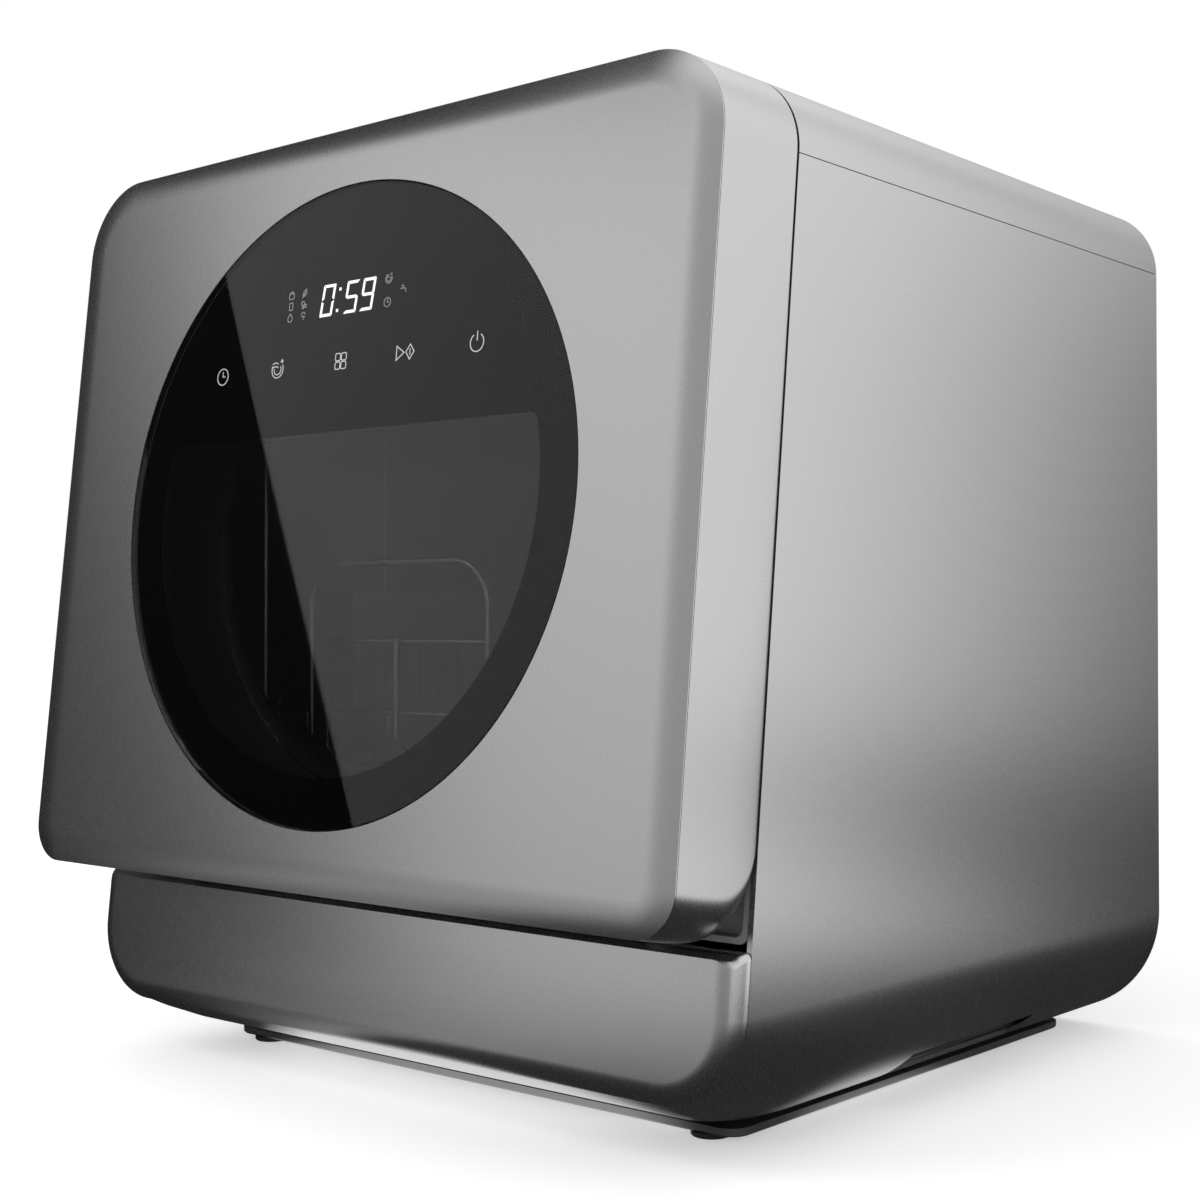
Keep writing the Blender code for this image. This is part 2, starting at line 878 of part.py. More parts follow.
def side_panel(side):
    """One side, from the seam below the top cover round the lower corner to the trim joint."""
    rings = []
    for station_y in casing_stations():
        underside, radius = underside_at(station_y)
        centre_x, centre_z = half_width - radius, underside + radius
        section = [(half_width, cover_seam_z - seam_gap)]
        end = math.acos((trim_joint_x - centre_x) / radius)
        for step in range(corner_steps + 1):
            angle = end * step / corner_steps
            section.append((centre_x + radius * math.cos(angle), centre_z - radius * math.sin(angle)))
        inner = radius - casing_wall
        end = math.acos((trim_joint_x - centre_x) / inner)
        for step in range(corner_steps, -1, -1):
            angle = end * step / corner_steps
            section.append((centre_x + inner * math.cos(angle), centre_z - inner * math.sin(angle)))
        section.append((half_width - casing_wall, cover_seam_z - seam_gap))
        rings.append([(side * x, casing_y(station_y, z), z) for x, z in section])
    panel = loft(side_name(side) + "_side_panel", rings)
    low_z, high_z = -overrun, grip_height
    outline = (
        (grip_front_y - grip_end_flare, low_z),
        (grip_rear_y + grip_end_flare, low_z),
        (grip_rear_y, high_z),
        (grip_front_y, high_z),
    )
    inner_x = trim_joint_x - overrun
    notch = x_prism(side_name(side) + "_grip_notch", outline, side * inner_x, side * half_width)
    return finish(cut(panel, notch), "silver_shell")


def top_cover():
    sections = []
    for radius in (top_corner_radius, top_corner_radius - casing_wall):
        arc = []
        for step in range(corner_steps + 1):
            angle = math.pi / 2 * step / corner_steps
            x = half_width - top_corner_radius + radius * math.cos(angle)
            arc.append((x, cover_seam_z + radius * math.sin(angle)))
        sections.append(arc + [(-x, z) for x, z in reversed(arc)])
    section = sections[0] + sections[1][::-1]
    cover = loft("top_cover", [on_front(section, 0.0), at_y(section, rear_y)])
    hole_centre = (fill_x, fill_y, overall_height)
    hole = rod("fill_hole", fill_rim_radius + fit_gap, top_corner_radius, hole_centre, sides=round_sides)
    pocket_walls = (cap_pocket_wall + fit_gap, fill_rim_wall + fit_gap)
    cut(cover, hole, cap_pocket_block("cap_pocket_hole", *pocket_walls, -overrun, overall_height + overrun))
    return finish(cover, "silver_shell")


def underbody_pan():
    """The casing's underside between the two trim joints, swept up at the front."""
    edge = trim_joint_x - fit_gap
    places = [edge * share for share in pan_place_shares]
    places = [-x for x in reversed(places)] + [0.0] + places
    rings = []
    for station_y in casing_stations():
        underside, radius = underside_at(station_y)
        section = []
        for x in places:
            past = max(abs(x) - (half_width - radius), 0.0)
            section.append((x, underside + radius - math.sqrt(radius ** 2 - past ** 2)))
        section += [(x, z + casing_wall) for x, z in reversed(section)]
        rings.append([(x, casing_y(station_y, z), z) for x, z in section])
    return finish(loft("underbody_pan", rings), "silver_shell")


def casing_inside(inset):
    """Outline just inside the casing, behind the swept front."""
    gap = casing_wall + inset
    lower, upper = casing_corner_radius - gap, top_corner_radius - gap
    low = (gap - half_width, casing_underside + gap)
    return rounded_rectangle(low, (half_width - gap, overall_height - gap), (lower, lower, upper, upper))


def bay_outline(inset):
    low = (bay_left + inset, bay_bottom + inset)
    corner = bay_corner - inset
    return rounded_rectangle(low, (bay_right - inset, bay_top - inset), (corner,) * 4, foot_steps // 2)


def rear_panel():
    """A tray that closes the casing at the back, with vents and a recessed bay for the connections."""
    face_y = rear_y - rear_panel_setback
    rim_front_y = face_y - rear_panel_rim
    outer, inner = casing_inside(seam_gap), casing_inside(seam_gap + rear_panel_wall)
    tray = [
        at_y(inner, rear_panel_inner_y),
        at_y(inner, rim_front_y),
        at_y(outer, rim_front_y),
        at_y(outer, face_y),
    ]
    panel = loft("rear_panel", tray)
    bay_floor_y = rear_panel_inner_y - bay_depth
    hole = loft("bay_hole", [at_y(bay_outline(bay_wall / 2), y) for y in (bay_floor_y, face_y + overrun)])
    bay = loft(
        "bay_walls",
        [
            at_y(bay_outline(0.0), bay_floor_y - bay_wall),
            at_y(bay_outline(0.0), face_y - rear_panel_wall / 2),
            at_y(bay_outline(bay_wall), face_y - rear_panel_wall / 2),
            at_y(bay_outline(bay_wall), bay_floor_y),
        ],
    )
    cut(panel, hole)
    fuse(panel, bay)
    for x, radius in ((inlet_x, inlet_radius), (drain_x, drain_spout_radius), (gland_x, gland_radius)):
        cut(panel, rod("spout_hole", radius + fit_gap, bay_depth, (x, bay_floor_y, spout_z), "Y"))
    return finish(cut(panel, vent_slots(face_y)), "dark_trim")


def vent_slots(face_y):
    """Rows of level slots over the drying fan."""
    form = bmesh.new()
    for column in range(vent_columns):
        centre_x = fan_x + vent_spacing_x * (column - (vent_columns - 1) / 2)
        for row in range(vent_rows):
            centre_z = fan_z + vent_pitch * (row - (vent_rows - 1) / 2)
            low = (centre_x - vent_width / 2, centre_z - vent_height / 2)
            high = (centre_x + vent_width / 2, centre_z + vent_height / 2)
            slot = rounded_rectangle(low, high, (vent_height / 2,) * 4, slot_steps)
            add_loft(form, [at_y(slot, rear_panel_inner_y - overrun), at_y(slot, face_y + overrun)])
    return solid("vent_slots", form)


def base_plate():
    half = base_plate_width / 2
    top = casing_underside - fit_gap
    rings = []
    for z, inset in (
        (base_plate_bottom, base_plate_edge),
        (base_plate_bottom + base_plate_edge, 0.0),
        (top, 0.0),
    ):
        low = (inset - half, base_plate_front_y + inset)
        high = (half - inset, base_plate_rear_y - inset)
        rings.append(at_z(rounded_rectangle(low, high, (base_plate_corner - inset,) * 4), z))
    return finish(loft("base_plate", rings), "dark_trim")


def foot(side, centre_y, name):
    """A rubber pad with round ends, seated under the base plate."""
    reach = (foot_length - foot_width) / 2
    rings = []
    for z, radius in (
        (0.0, foot_width / 2 - foot_edge),
        (foot_edge, foot_width / 2),
        (base_plate_bottom - fit_gap, foot_width / 2),
    ):
        centre_x = side * foot_spacing_x / 2
        rings.append(at_z(stadium(centre_x, centre_y - reach, centre_y + reach, radius), z))
    return finish(loft(name, rings), "rubber")


def side_grip(side):
    """The wedge-shaped pocket behind a hand notch: an end wall at each side, a roof and an inner wall."""
    inner_radius = casing_corner_radius - casing_wall
    centre_x, centre_z = half_width - casing_corner_radius, casing_underside + casing_corner_radius
    rim_z = grip_height + fit_gap
    outer_x = centre_x + math.sqrt(inner_radius ** 2 - (centre_z - rim_z) ** 2) - 2 * fit_gap
    inner_x = trim_joint_x + 2 * fit_gap
    inner_z = centre_z - math.sqrt(inner_radius ** 2 - (inner_x - centre_x) ** 2)
    roof_z = rim_z + grip_wall
    front, back = grip_front_y - 2 * grip_end_flare, grip_rear_y + 2 * grip_end_flare

    def rim(x):
        return inner_z + fit_gap + (rim_z - inner_z) * (x - inner_x) / (outer_x - inner_x)

    def ring(inset, level=None):
        xs = (inner_x + inset, outer_x - inset)
        ys = (front + inset, back - inset)
        corners = ((xs[0], ys[0]), (xs[1], ys[0]), (xs[1], ys[1]), (xs[0], ys[1]))
        return [(side * x, y, rim(x) if level is None else level) for x, y in corners]

    rings = [ring(0.0, roof_z + grip_wall), ring(0.0), ring(grip_wall), ring(grip_wall, roof_z)]
    return finish(loft("side_grip_" + side_name(side), rings), "dark_trim")


def lower_panel_ring(inset, ahead, top_inset):
    corner = front_corner_radius - inset
    radii = (corner, corner, lower_panel_top_corner, lower_panel_top_corner)
    low = (inset - half_width, front_underside + inset)
    return on_front(rounded_rectangle(low, (half_width - inset, lower_panel_top - top_inset), radii), ahead)


def lower_front_panel():
    """The shell below the door, its edge rolled back to the casing."""
    outer = []
    for step in range(roll_steps + 1):
        angle = math.pi / 2 * step / roll_steps
        inset = lower_panel_roll * (1 - math.cos(angle))
        ahead = seam_gap + (lower_panel_proud - seam_gap) * math.sin(angle)
        outer.append((inset, ahead, min(inset, lower_panel_top_corner)))
    inner = []
    for inset, ahead, top_inset in reversed(outer):
        back = max(ahead - lower_panel_wall, seam_gap)
        inner.append((inset + lower_panel_wall, back, top_inset + lower_panel_wall))
    rings = [lower_panel_ring(*place) for place in outer[::-1]]
    rings += [lower_panel_ring(*place) for place in inner[::-1]]
    return finish(loft("lower_front_panel", rings), "silver_shell")


# Front frame and gasket

def frame_outline(inset):
    gap = casing_wall + seam_gap + inset
    low = (gap - half_width, frame_bottom + inset)
    lower, upper = frame_bottom_corner, top_corner_radius - gap
    return rounded_rectangle(low, (half_width - gap, overall_height - gap), (lower, lower, upper, upper))


def opening_outline(margin=0.0):
    """The mouth of the tub, drawn larger by the margin."""
    half = opening_width / 2 + margin
    low, high = (-half, opening_bottom - margin), (half, opening_top + margin)
    return rounded_rectangle(low, high, (opening_corner + margin,) * 4)


def front_frame():
    """A dish-shaped frame round the tub's mouth, its rim level with the casing's front edge."""
    outer, inner = frame_outline(0.0), frame_outline(frame_rim)
    rings = [
        on_front(outer, frame_back_ahead),
        on_front(outer, -fit_gap),
        on_front(inner, -fit_gap),
        on_front(inner, -frame_floor_depth),
        on_front(opening_outline(), -frame_floor_depth),
        on_front(opening_outline(), frame_back_ahead),
    ]
    frame = loft("front_frame", rings, joined=True)
    slot_low = (-latch_slot_width / 2, latch_z - latch_slot_fall)
    slot_high = (latch_slot_width / 2, latch_z + latch_slot_rise)
    slot = rounded_rectangle(slot_low, slot_high, (overrun,) * 4, 2)
    cut(frame, front_prism("frame_latch_slot", slot, frame_back_ahead - overrun, overrun))
    return finish(frame, "grey_plastic")


def tub_gasket():
    seat, crown = fit_gap - frame_floor_depth, door_gap - fit_gap
    profile = (
        (gasket_half_width, seat),
        (gasket_half_width, -gasket_shoulder),
        (gasket_half_width / 2, crown),
        (-gasket_half_width / 2, crown),
        (-gasket_half_width, -gasket_shoulder),
        (-gasket_half_width, seat),
    )
    rings = [on_front(opening_outline(gasket_offset + across), ahead) for across, ahead in profile]
    return finish(loft("tub_gasket", rings, joined=True), "rubber")


# Wash tub and what stands in it

def tub_outline(margin, chamfer=0.0):
    half = tub_half_width + margin - chamfer
    low = (-half, tub_floor - margin + chamfer)
    corner = tub_corner + margin - chamfer
    return rounded_rectangle(low, (half, tub_ceiling + margin - chamfer), (corner,) * 4)


def wash_tub():
    """A deep-drawn steel tub with a raised lip at its mouth, ribs in its sides and a well in its floor."""
    flange_low = (-tub_flange_half_width, tub_flange_bottom)
    flange_high = (tub_flange_half_width, tub_flange_top)
    flange = rounded_rectangle(flange_low, flange_high, (tub_flange_corner,) * 4)
    back_ahead = tub_front_ahead - tub_wall
    inside_ahead = tub_front_ahead - tub_flange_thickness
    inner_rear_y = tub_rear_y - tub_wall
    rings = [
        at_y(tub_outline(tub_wall, tub_rear_chamfer), tub_rear_y),
        at_y(tub_outline(tub_wall), tub_rear_y - tub_rear_chamfer),
        on_front(tub_outline(tub_wall), inside_ahead),
        on_front(flange, back_ahead),
        on_front(flange, tub_front_ahead),
        on_front(opening_outline(), tub_front_ahead),
        on_front(opening_outline(), back_ahead),
        on_front(tub_outline(0.0), inside_ahead),
        at_y(tub_outline(0.0), inner_rear_y - tub_rear_chamfer),
        at_y(tub_outline(0.0, tub_rear_chamfer), inner_rear_y),
    ]
    tub = loft("wash_tub", rings)
    well = at_z(stadium(0.0, sump_front_y, sump_rear_y, sump_radius), tub_outer_floor - overrun)
    well_top = [(x, y, tub_floor + overrun) for x, y, z in well]
    cut(tub, loft("tub_well", [well, well_top]))
    vent_radius = fan_intake_ring + fan_intake_radius
    cut(tub, rod("tub_vent", vent_radius, tub_rear_chamfer, (fan_x, tub_rear_y, fan_z), "Y"))
    for side in (-1, 1):
        leg = (side * heater_leg_spacing / 2, heater_leg_y, tub_floor)
        cut(tub, rod("heater_hole", heater_radius + 2 * fit_gap, tub_corner, leg, sides=tube_sides))
    foot_hole = (0.0, riser_y(), tub_floor)
    cut(tub, rod("riser_hole", riser_radius + 2 * fit_gap, tub_corner, foot_hole, sides=tube_sides))
    for side in (-1, 1):
        for place_y in side_rib_places_y:
            fuse(tub, tub_rib(side, place_y))
    return finish(tub, "steel_sheet")


def tub_rib(side, place_y):
    """An upright rib pressed a little way into the tub from its side wall."""
    low_z = tub_floor + tub_corner
    wall_x = tub_half_width + tub_wall / 2
    crest_x = tub_half_width - side_rib_height
    section = (
        (side * wall_x, place_y - side_rib_width),
        (side * crest_x, place_y - side_rib_width * side_rib_crest_share),
        (side * crest_x, place_y + side_rib_width * side_rib_crest_share),
        (side * wall_x, place_y + side_rib_width),
    )
    return loft("tub_rib", [at_z(section, low_z), at_z(section, side_rib_top_z)])


def sump():
    """The well that hangs under the tub's floor, with three spigots below it."""
    top = tub_outer_floor - fit_gap
    rim_z = top - sump_wall

    def ring(radius, z):
        return at_z(stadium(0.0, sump_front_y, sump_rear_y, radius), z)

    outer = sump_radius + sump_wall
    rings = [
        ring(outer - sump_chamfer, sump_floor - sump_wall),
        ring(outer, sump_floor - sump_wall + sump_chamfer),
        ring(outer, rim_z),
        ring(sump_radius + sump_flange, rim_z),
        ring(sump_radius + sump_flange, top),
        ring(sump_radius, top),
        ring(sump_radius, sump_floor + sump_chamfer),
        ring(sump_radius - sump_chamfer, sump_floor),
    ]
    well = loft("sump", rings)
    spigot_z = sump_floor - sump_wall / 2 - spigot_length / 2
    for x, y in ((0.0, sump_rear_y), (0.0, sump_front_y)):
        fuse(well, rod("sump_spigot", spigot_radius, spigot_length, (x, y, spigot_z)))
    branch_length = spigot_length + sump_wall
    branch_x = outer + branch_length / 2 - sump_wall
    branch_middle = (branch_x, drain_pump_y, sump_floor + spigot_radius)
    fuse(well, rod("sump_branch", drain_hose_radius, branch_length, branch_middle, "X"))
    return finish(well, "grey_plastic")


def filter_plate():
    bottom = tub_floor + fit_gap
    rings = []
    for z, inset in (
        (bottom, 0.0),
        (bottom + filter_plate_thickness / 2, 0.0),
        (bottom + filter_plate_thickness, filter_plate_thickness),
    ):
        outline = stadium(0.0, sump_front_y, sump_rear_y, filter_plate_radius - inset, foot_steps * 2)
        rings.append(at_z(outline, z))
    plate = loft("filter_plate", rings)
    cut(plate, rod("post_hole", post_radius + fit_gap, tub_corner, (0.0, sump_rear_y, tub_floor)))
    cut(plate, rod("cup_hole", filter_cup_radius + fit_gap, tub_corner, (0.0, sump_front_y, tub_floor)))
    return finish(plate, "steel_sheet")


def filter_cup():
    """A lift-out cup that twists to lock, hung by its lip on the filter plate."""
    seat = tub_floor + 2 * fit_gap + filter_plate_thickness
    lip_top = seat + filter_cup_lip_thickness
    radius = filter_cup_radius - fit_gap
    bore = radius - filter_cup_wall
    profile = (
        (radius - filter_cup_wall, filter_cup_floor),
        (radius, filter_cup_floor + filter_cup_wall),
        (radius, seat),
        (radius + filter_cup_lip, seat),
        (radius + filter_cup_lip, lip_top),
        (bore, lip_top),
        (bore, filter_cup_floor + 2 * filter_cup_wall),
        (bore - filter_cup_wall, filter_cup_floor + filter_cup_wall),
    )
    cup = turned("filter_cup", profile, (0.0, sump_front_y, 0.0))
    grip_low = (-radius, sump_front_y - filter_grip_thickness / 2, lip_top - filter_cup_lip_thickness / 2)
    grip_high = (radius, sump_front_y + filter_grip_thickness / 2, lip_top + filter_grip_height)
    return finish(fuse(cup, block("filter_grip", grip_low, grip_high)), "grey_plastic")


def spray_post():
    """The hollow post that feeds the spray arm and carries it."""
    foot_z = sump_floor + fit_gap
    profile = (
        (post_foot_radius, foot_z),
        (post_foot_radius, foot_z + post_foot_height),
        (post_radius, foot_z + post_foot_height),
        (post_radius, post_top),
        (post_bore, post_top),
        (post_bore, foot_z),
    )
    return finish(turned("spray_post", profile, (0.0, sump_rear_y, 0.0), ring=True), "grey_plastic")


def spray_arm():
    """Two swept blades on a hub, with jets along their tops."""
    middle_z = arm_bottom + arm_height / 2
    rings = []
    for station in range(arm_stations + 1):
        share = 2 * station / arm_stations - 1
        width = arm_root_width + (arm_tip_width - arm_root_width) * abs(share)
        height = arm_height * (1 - arm_tip_thinning * abs(share) ** arm_tip_power)
        sweep = arm_sweep * share * abs(share)
        middle_y = sump_rear_y + sweep
        section = circle(width / 2, (middle_y, middle_z), tube_sides, height / width)
        rings.append([(arm_reach * share, y, z) for y, z in section])
    arm = loft("spray_arm", rings)
    hub_length = arm_hub_top - arm_hub_bottom
    hub_middle = (0.0, sump_rear_y, (arm_hub_top + arm_hub_bottom) / 2)
    fuse(arm, rod("arm_hub", arm_hub_radius, hub_length, hub_middle))
    bore_depth = post_top + arm_running_gap - arm_hub_bottom
    bore_middle = (0.0, sump_rear_y, arm_hub_bottom + (bore_depth - overrun) / 2)
    cut(arm, rod("arm_bore", post_radius + arm_running_gap, bore_depth + overrun, bore_middle))
    for side in (-1, 1):
        for share in jet_places_shares:
            jet_y = sump_rear_y + side * arm_sweep * share ** 2
            place = (side * arm_reach * share, jet_y, arm_bottom + arm_height)
            cut(arm, rod("arm_jet", jet_radius, arm_height, place, sides=wire_sides))
    return finish(arm, "grey_plastic")


def heating_element():
    """A loop of tubular heater just above the tub's floor, with two legs down through it."""
    z = tub_floor + fit_gap + heater_radius
    leg_x = heater_leg_spacing / 2
    corners = (
        (-leg_x, heater_leg_y, heater_leg_bottom),
        (-leg_x, heater_leg_y, z),
        (-leg_x, heater_rear_y, z),
        (-heater_half_width, heater_rear_y, z),
        (-heater_half_width, heater_front_y, z),
        (heater_half_width, heater_front_y, z),
        (heater_half_width, heater_rear_y, z),
        (leg_x, heater_rear_y, z),
        (leg_x, heater_leg_y, z),
        (leg_x, heater_leg_y, heater_leg_bottom),
    )
    half = (heater_leg_bend, heater_turn_bend, heater_bend, heater_bend)
    return finish(tube("heating_element", bent(corners, half + half[::-1]), heater_radius), "steel_sheet")


def riser_y():
    return tub_rear_y - tub_wall - tub_rear_chamfer - riser_radius - riser_wall_gap


def riser_tube():
    """A feed tube up the rear wall and along the ceiling to a fixed spray head."""
    ceiling_z = tub_ceiling - fit_gap - spray_head_height / 2
    corners = (
        (0.0, riser_y(), riser_foot_z),
        (0.0, riser_y(), ceiling_z),
        (0.0, sump_rear_y, ceiling_z),
    )
    riser = tube("riser_tube", bent(corners, riser_bend), riser_radius)
    low, high = -spray_head_height / 2, spray_head_height / 2
    head_radius = spray_head_radius
    profile = (
        (head_radius / 2, low),
        (head_radius, low / 2),
        (head_radius, high / 2),
        (head_radius * spray_head_top_share, high),
    )
    head = turned("spray_head", profile, (0.0, sump_rear_y, ceiling_z))
    return finish(fuse(riser, head), "grey_plastic")


# Water and power under the tub

def wash_pump():
    """Motor, volute, cradle and the intake elbow from the sump."""
    volute_front_y = pump_y - pump_length / 2 - volute_length
    motor = (
        (pump_radius - overrun, pump_length / 2),
        (pump_radius, pump_length / 2 - overrun),
        (pump_radius, -pump_length / 2),
        (volute_radius, -pump_length / 2),
        (volute_radius, -pump_length / 2 - volute_length + overrun),
        (volute_radius - overrun, -pump_length / 2 - volute_length),
    )
    pump = turned("wash_pump", motor, (pump_x, pump_y, pump_z), "Y")
    floor_z = pan_top + fit_gap
    low = (pump_x - cradle_width / 2, pump_y - cradle_length / 2, floor_z)
    high = (pump_x + cradle_width / 2, pump_y + cradle_length / 2, pump_z - pump_radius + cradle_sink)
    fuse(pump, block("pump_cradle", low, high, fit_gap))
    spigot_end_z = sump_floor - sump_wall / 2 - spigot_length - fit_gap
    corners = (
        (0.0, sump_front_y, spigot_end_z),
        (0.0, sump_front_y, pump_z),
        (pump_x, sump_front_y, pump_z),
        (pump_x, volute_front_y + overrun, pump_z),
    )
    fuse(pump, tube("pump_intake", bent(corners, intake_bend), intake_radius))
    return finish(pump, "dark_trim")


def wash_hose():
    """From the pump's volute to the foot of the spray post."""
    spigot_end_z = sump_floor - sump_wall / 2 - spigot_length - fit_gap
    volute_middle_y = pump_y - pump_length / 2 - volute_length / 2
    start_x = pump_x + volute_radius + fit_gap
    corners = (
        (start_x, volute_middle_y, pump_z),
        (0.0, volute_middle_y, pump_z),
        (0.0, sump_rear_y, spigot_end_z - hose_bend * 2),
        (0.0, sump_rear_y, spigot_end_z),
    )
    return finish(tube("wash_hose", bent(corners, hose_bend / 2), hose_radius), "rubber")


def drain_pump():
    """A small pump lying across the machine, its head towards the sump."""
    head_x = -drain_pump_length / 2
    profile = (
        (drain_head_radius, head_x - drain_head_length),
        (drain_head_radius, head_x),
        (drain_pump_radius, head_x),
        (drain_pump_radius, -head_x),
    )
    centre_x = drain_pump_x + drain_pump_length / 2
    pump = turned("drain_pump", profile, (centre_x, drain_pump_y, drain_pump_z), "X")
    low = (centre_x - drain_cradle_length / 2, drain_pump_y - drain_cradle_width / 2, pan_top + fit_gap)
    high_z = drain_pump_z - drain_pump_radius + drain_cradle_sink
    high = (centre_x + drain_cradle_length / 2, drain_pump_y + drain_cradle_width / 2, high_z)
    fuse(pump, block("drain_cradle", low, high, fit_gap))
    stub_x = drain_pump_x - drain_head_length / 2
    stub_top = sump_floor + spigot_radius
    branch_end_x = sump_radius + sump_wall + spigot_length + fit_gap
    corners = (
        (branch_end_x, drain_pump_y, stub_top),
        (stub_x + drain_head_length / 4, drain_pump_y, stub_top),
        (stub_x + drain_head_length / 4, drain_pump_y, drain_pump_z),
    )
    fuse(pump, tube("drain_intake", bent(corners, drain_hose_radius), drain_hose_radius))
    return finish(pump, "dark_trim")


def drain_hose():
    """From the drain pump's head to the drain spout in the rear bay."""
    start = (drain_pump_x - drain_head_length / 2, drain_pump_y + drain_head_radius + fit_gap, drain_pump_z)
    end_y = rear_panel_inner_y - bay_depth - spout_flange_thickness - bay_wall - 2 * fit_gap
    lane_rear_y = pump_rear_y + (end_y - pump_rear_y) * drain_lane_rear_share
    corners = (
        start,
        (start[0], drain_lane_front_y, drain_pump_z),
        (drain_lane_x, drain_lane_front_y, drain_pump_z),
        (drain_lane_x, lane_rear_y, drain_pump_z),
        (drain_x, lane_rear_y, spout_z),
        (drain_x, end_y, spout_z),
    )
    return finish(tube("drain_hose", bent(corners, hose_bend), drain_hose_radius), "rubber")


def spout(name, x, radius, bore, colour):
    """A turned spout through the floor of the rear bay, with a flange behind it."""
    wall_y = rear_panel_inner_y - bay_depth - bay_wall
    profile = (
        (radius + spout_flange, wall_y - fit_gap - spout_flange_thickness),
        (radius + spout_flange, wall_y - fit_gap),
        (radius, wall_y - fit_gap),
        (radius, wall_y + bay_wall + spout_stand),
        (bore, wall_y + bay_wall + spout_stand),
        (bore, wall_y - fit_gap - spout_flange_thickness),
    )
    return finish(turned(name, profile, (x, 0.0, spout_z), "Y", ring=True), colour)


def inlet_valve():
    """A water valve whose spout passes through the rear bay, with its coil on top."""
    wall_y = rear_panel_inner_y - bay_depth - bay_wall
    valve = spout("inlet_valve", inlet_x, inlet_radius, inlet_bore, "white_plastic")
    rear = wall_y - fit_gap
    low = (inlet_x - inlet_body_size / 2, rear - inlet_body_length, spout_z - inlet_body_size / 2)
    high = (inlet_x + inlet_body_size / 2, rear, spout_z + inlet_body_size / 2)
    fuse(valve, block("valve_body", low, high, spout_flange_thickness))
    coil_z = high[2] + inlet_coil_height / 2 - spout_flange_thickness
    coil_place = (inlet_x, rear - inlet_body_length / 2, coil_z)
    return fuse(valve, rod("valve_coil", inlet_coil_radius, inlet_coil_height, coil_place))


def control_board():
    """A circuit board on four posts above the underbody, with its largest parts."""
    bottom = pan_top + fit_gap + board_z
    top = bottom + board_thickness
    board = block("control_board", (*board_low, bottom), (*board_high, top))
    post_low, post_high = pan_top + fit_gap, top - board_thickness / 2
    for x in (board_low[0] + board_post_inset, board_high[0] - board_post_inset):
        for y in (board_low[1] + board_post_inset, board_high[1] - board_post_inset):
            post = (x, y, (post_low + post_high) / 2)
            fuse(board, rod("board_post", board_post_radius, post_high - post_low, post, sides=tube_sides))
    for (size, height), (share_x, share_y) in zip(board_part_sizes, board_part_place_shares):
        middle_x = board_low[0] + (board_high[0] - board_low[0]) * share_x
        middle_y = board_low[1] + (board_high[1] - board_low[1]) * share_y
        low = (middle_x - size / 2, middle_y - size / 2, top - board_thickness / 2)
        fuse(board, block("board_part", low, (middle_x + size / 2, middle_y + size / 2, top + height)))
    return finish(board, "circuit_board")


# Water tank with its fill port

def water_tank():
    """A flat tank over the tub, open at its filling neck."""
    bottom = tub_outer_ceiling + fit_gap
    low, high = (-tank_half_width, tank_front_y), (tank_half_width, tank_rear_y)

    def ring(inset, z):
        inner_low = (low[0] + inset, low[1] + inset)
        inner_high = (high[0] - inset, high[1] - inset)
        corner = tank_corner - inset
        return at_z(rounded_rectangle(inner_low, inner_high, (corner,) * 4, foot_steps // 2), z)

    tank = loft("water_tank", [ring(tank_wall, bottom), ring(0.0, bottom + tank_wall), ring(0.0, tank_top)])
    hollow_rings = [ring(tank_wall * 2, bottom + tank_wall), ring(tank_wall * 2, tank_top - tank_wall)]
    hollow = loft("tank_hollow", hollow_rings)
    neck = rod("tank_neck", neck_radius + fit_gap, neck_depth, (fill_x, fill_y, tank_top))
    return finish(cut(tank, hollow, neck), "translucent_tank")


def cap_pocket_block(name, side_wall, rear_wall, floor, top):
    """A box round the space behind the fill port in which the cap's barrel turns."""
    half = cap_pocket_width / 2 + side_wall
    reach = cap_pocket_reach + rear_wall
    low = (fill_x - half, fill_y + fill_rim_radius / 2, overall_height - cap_pocket_depth + floor)
    return block(name, low, (fill_x + half, fill_y + cap_hinge_offset + reach, top))


def fill_funnel():
    """A round dish let into the top cover, with a neck into the tank and a pocket for the cap's hinge."""
    top = overall_height - fill_sink
    lip_z = overall_height - funnel_lip_drop
    floor_z = overall_height - funnel_floor_drop
    foot_z = tank_top - neck_depth / 2
    lip_radius = fill_rim_radius - fill_rim_wall
    outside = (
        (neck_radius, foot_z),
        (neck_radius, floor_z - fill_rim_wall),
        (fill_rim_radius, floor_z - fill_rim_wall),
        (fill_rim_radius, top),
    )
    hollow = (
        (neck_bore, foot_z - overrun),
        (neck_bore, floor_z - fit_gap),
        (lip_radius - fill_rim_wall, floor_z),
        (lip_radius - fill_rim_wall, lip_z),
        (lip_radius, lip_z),
        (lip_radius, top + overrun),
    )
    centre, sides = (fill_x, fill_y, 0.0), round_sides
    funnel = turned("fill_funnel", outside, centre, sides=sides)
    fuse(funnel, cap_pocket_block("cap_pocket", cap_pocket_wall, fill_rim_wall, 0.0, top))
    cut(funnel, turned("funnel_hollow", hollow, centre, sides=sides))
    cut(funnel, cap_pocket_block("cap_pocket_hollow", 0.0, 0.0, cap_pocket_floor, overall_height + overrun))
    stub_hole = (fill_x, fill_y + cap_hinge_offset, overall_height - cap_hinge_drop)
    hole_length = cap_pocket_width + 2 * cap_stub_length + 2 * fit_gap
    cut(funnel, rod("cap_stub_hole", cap_stub_radius + fit_gap, hole_length, stub_hole, "X", tube_sides))
    return finish(funnel, "grey_plastic")


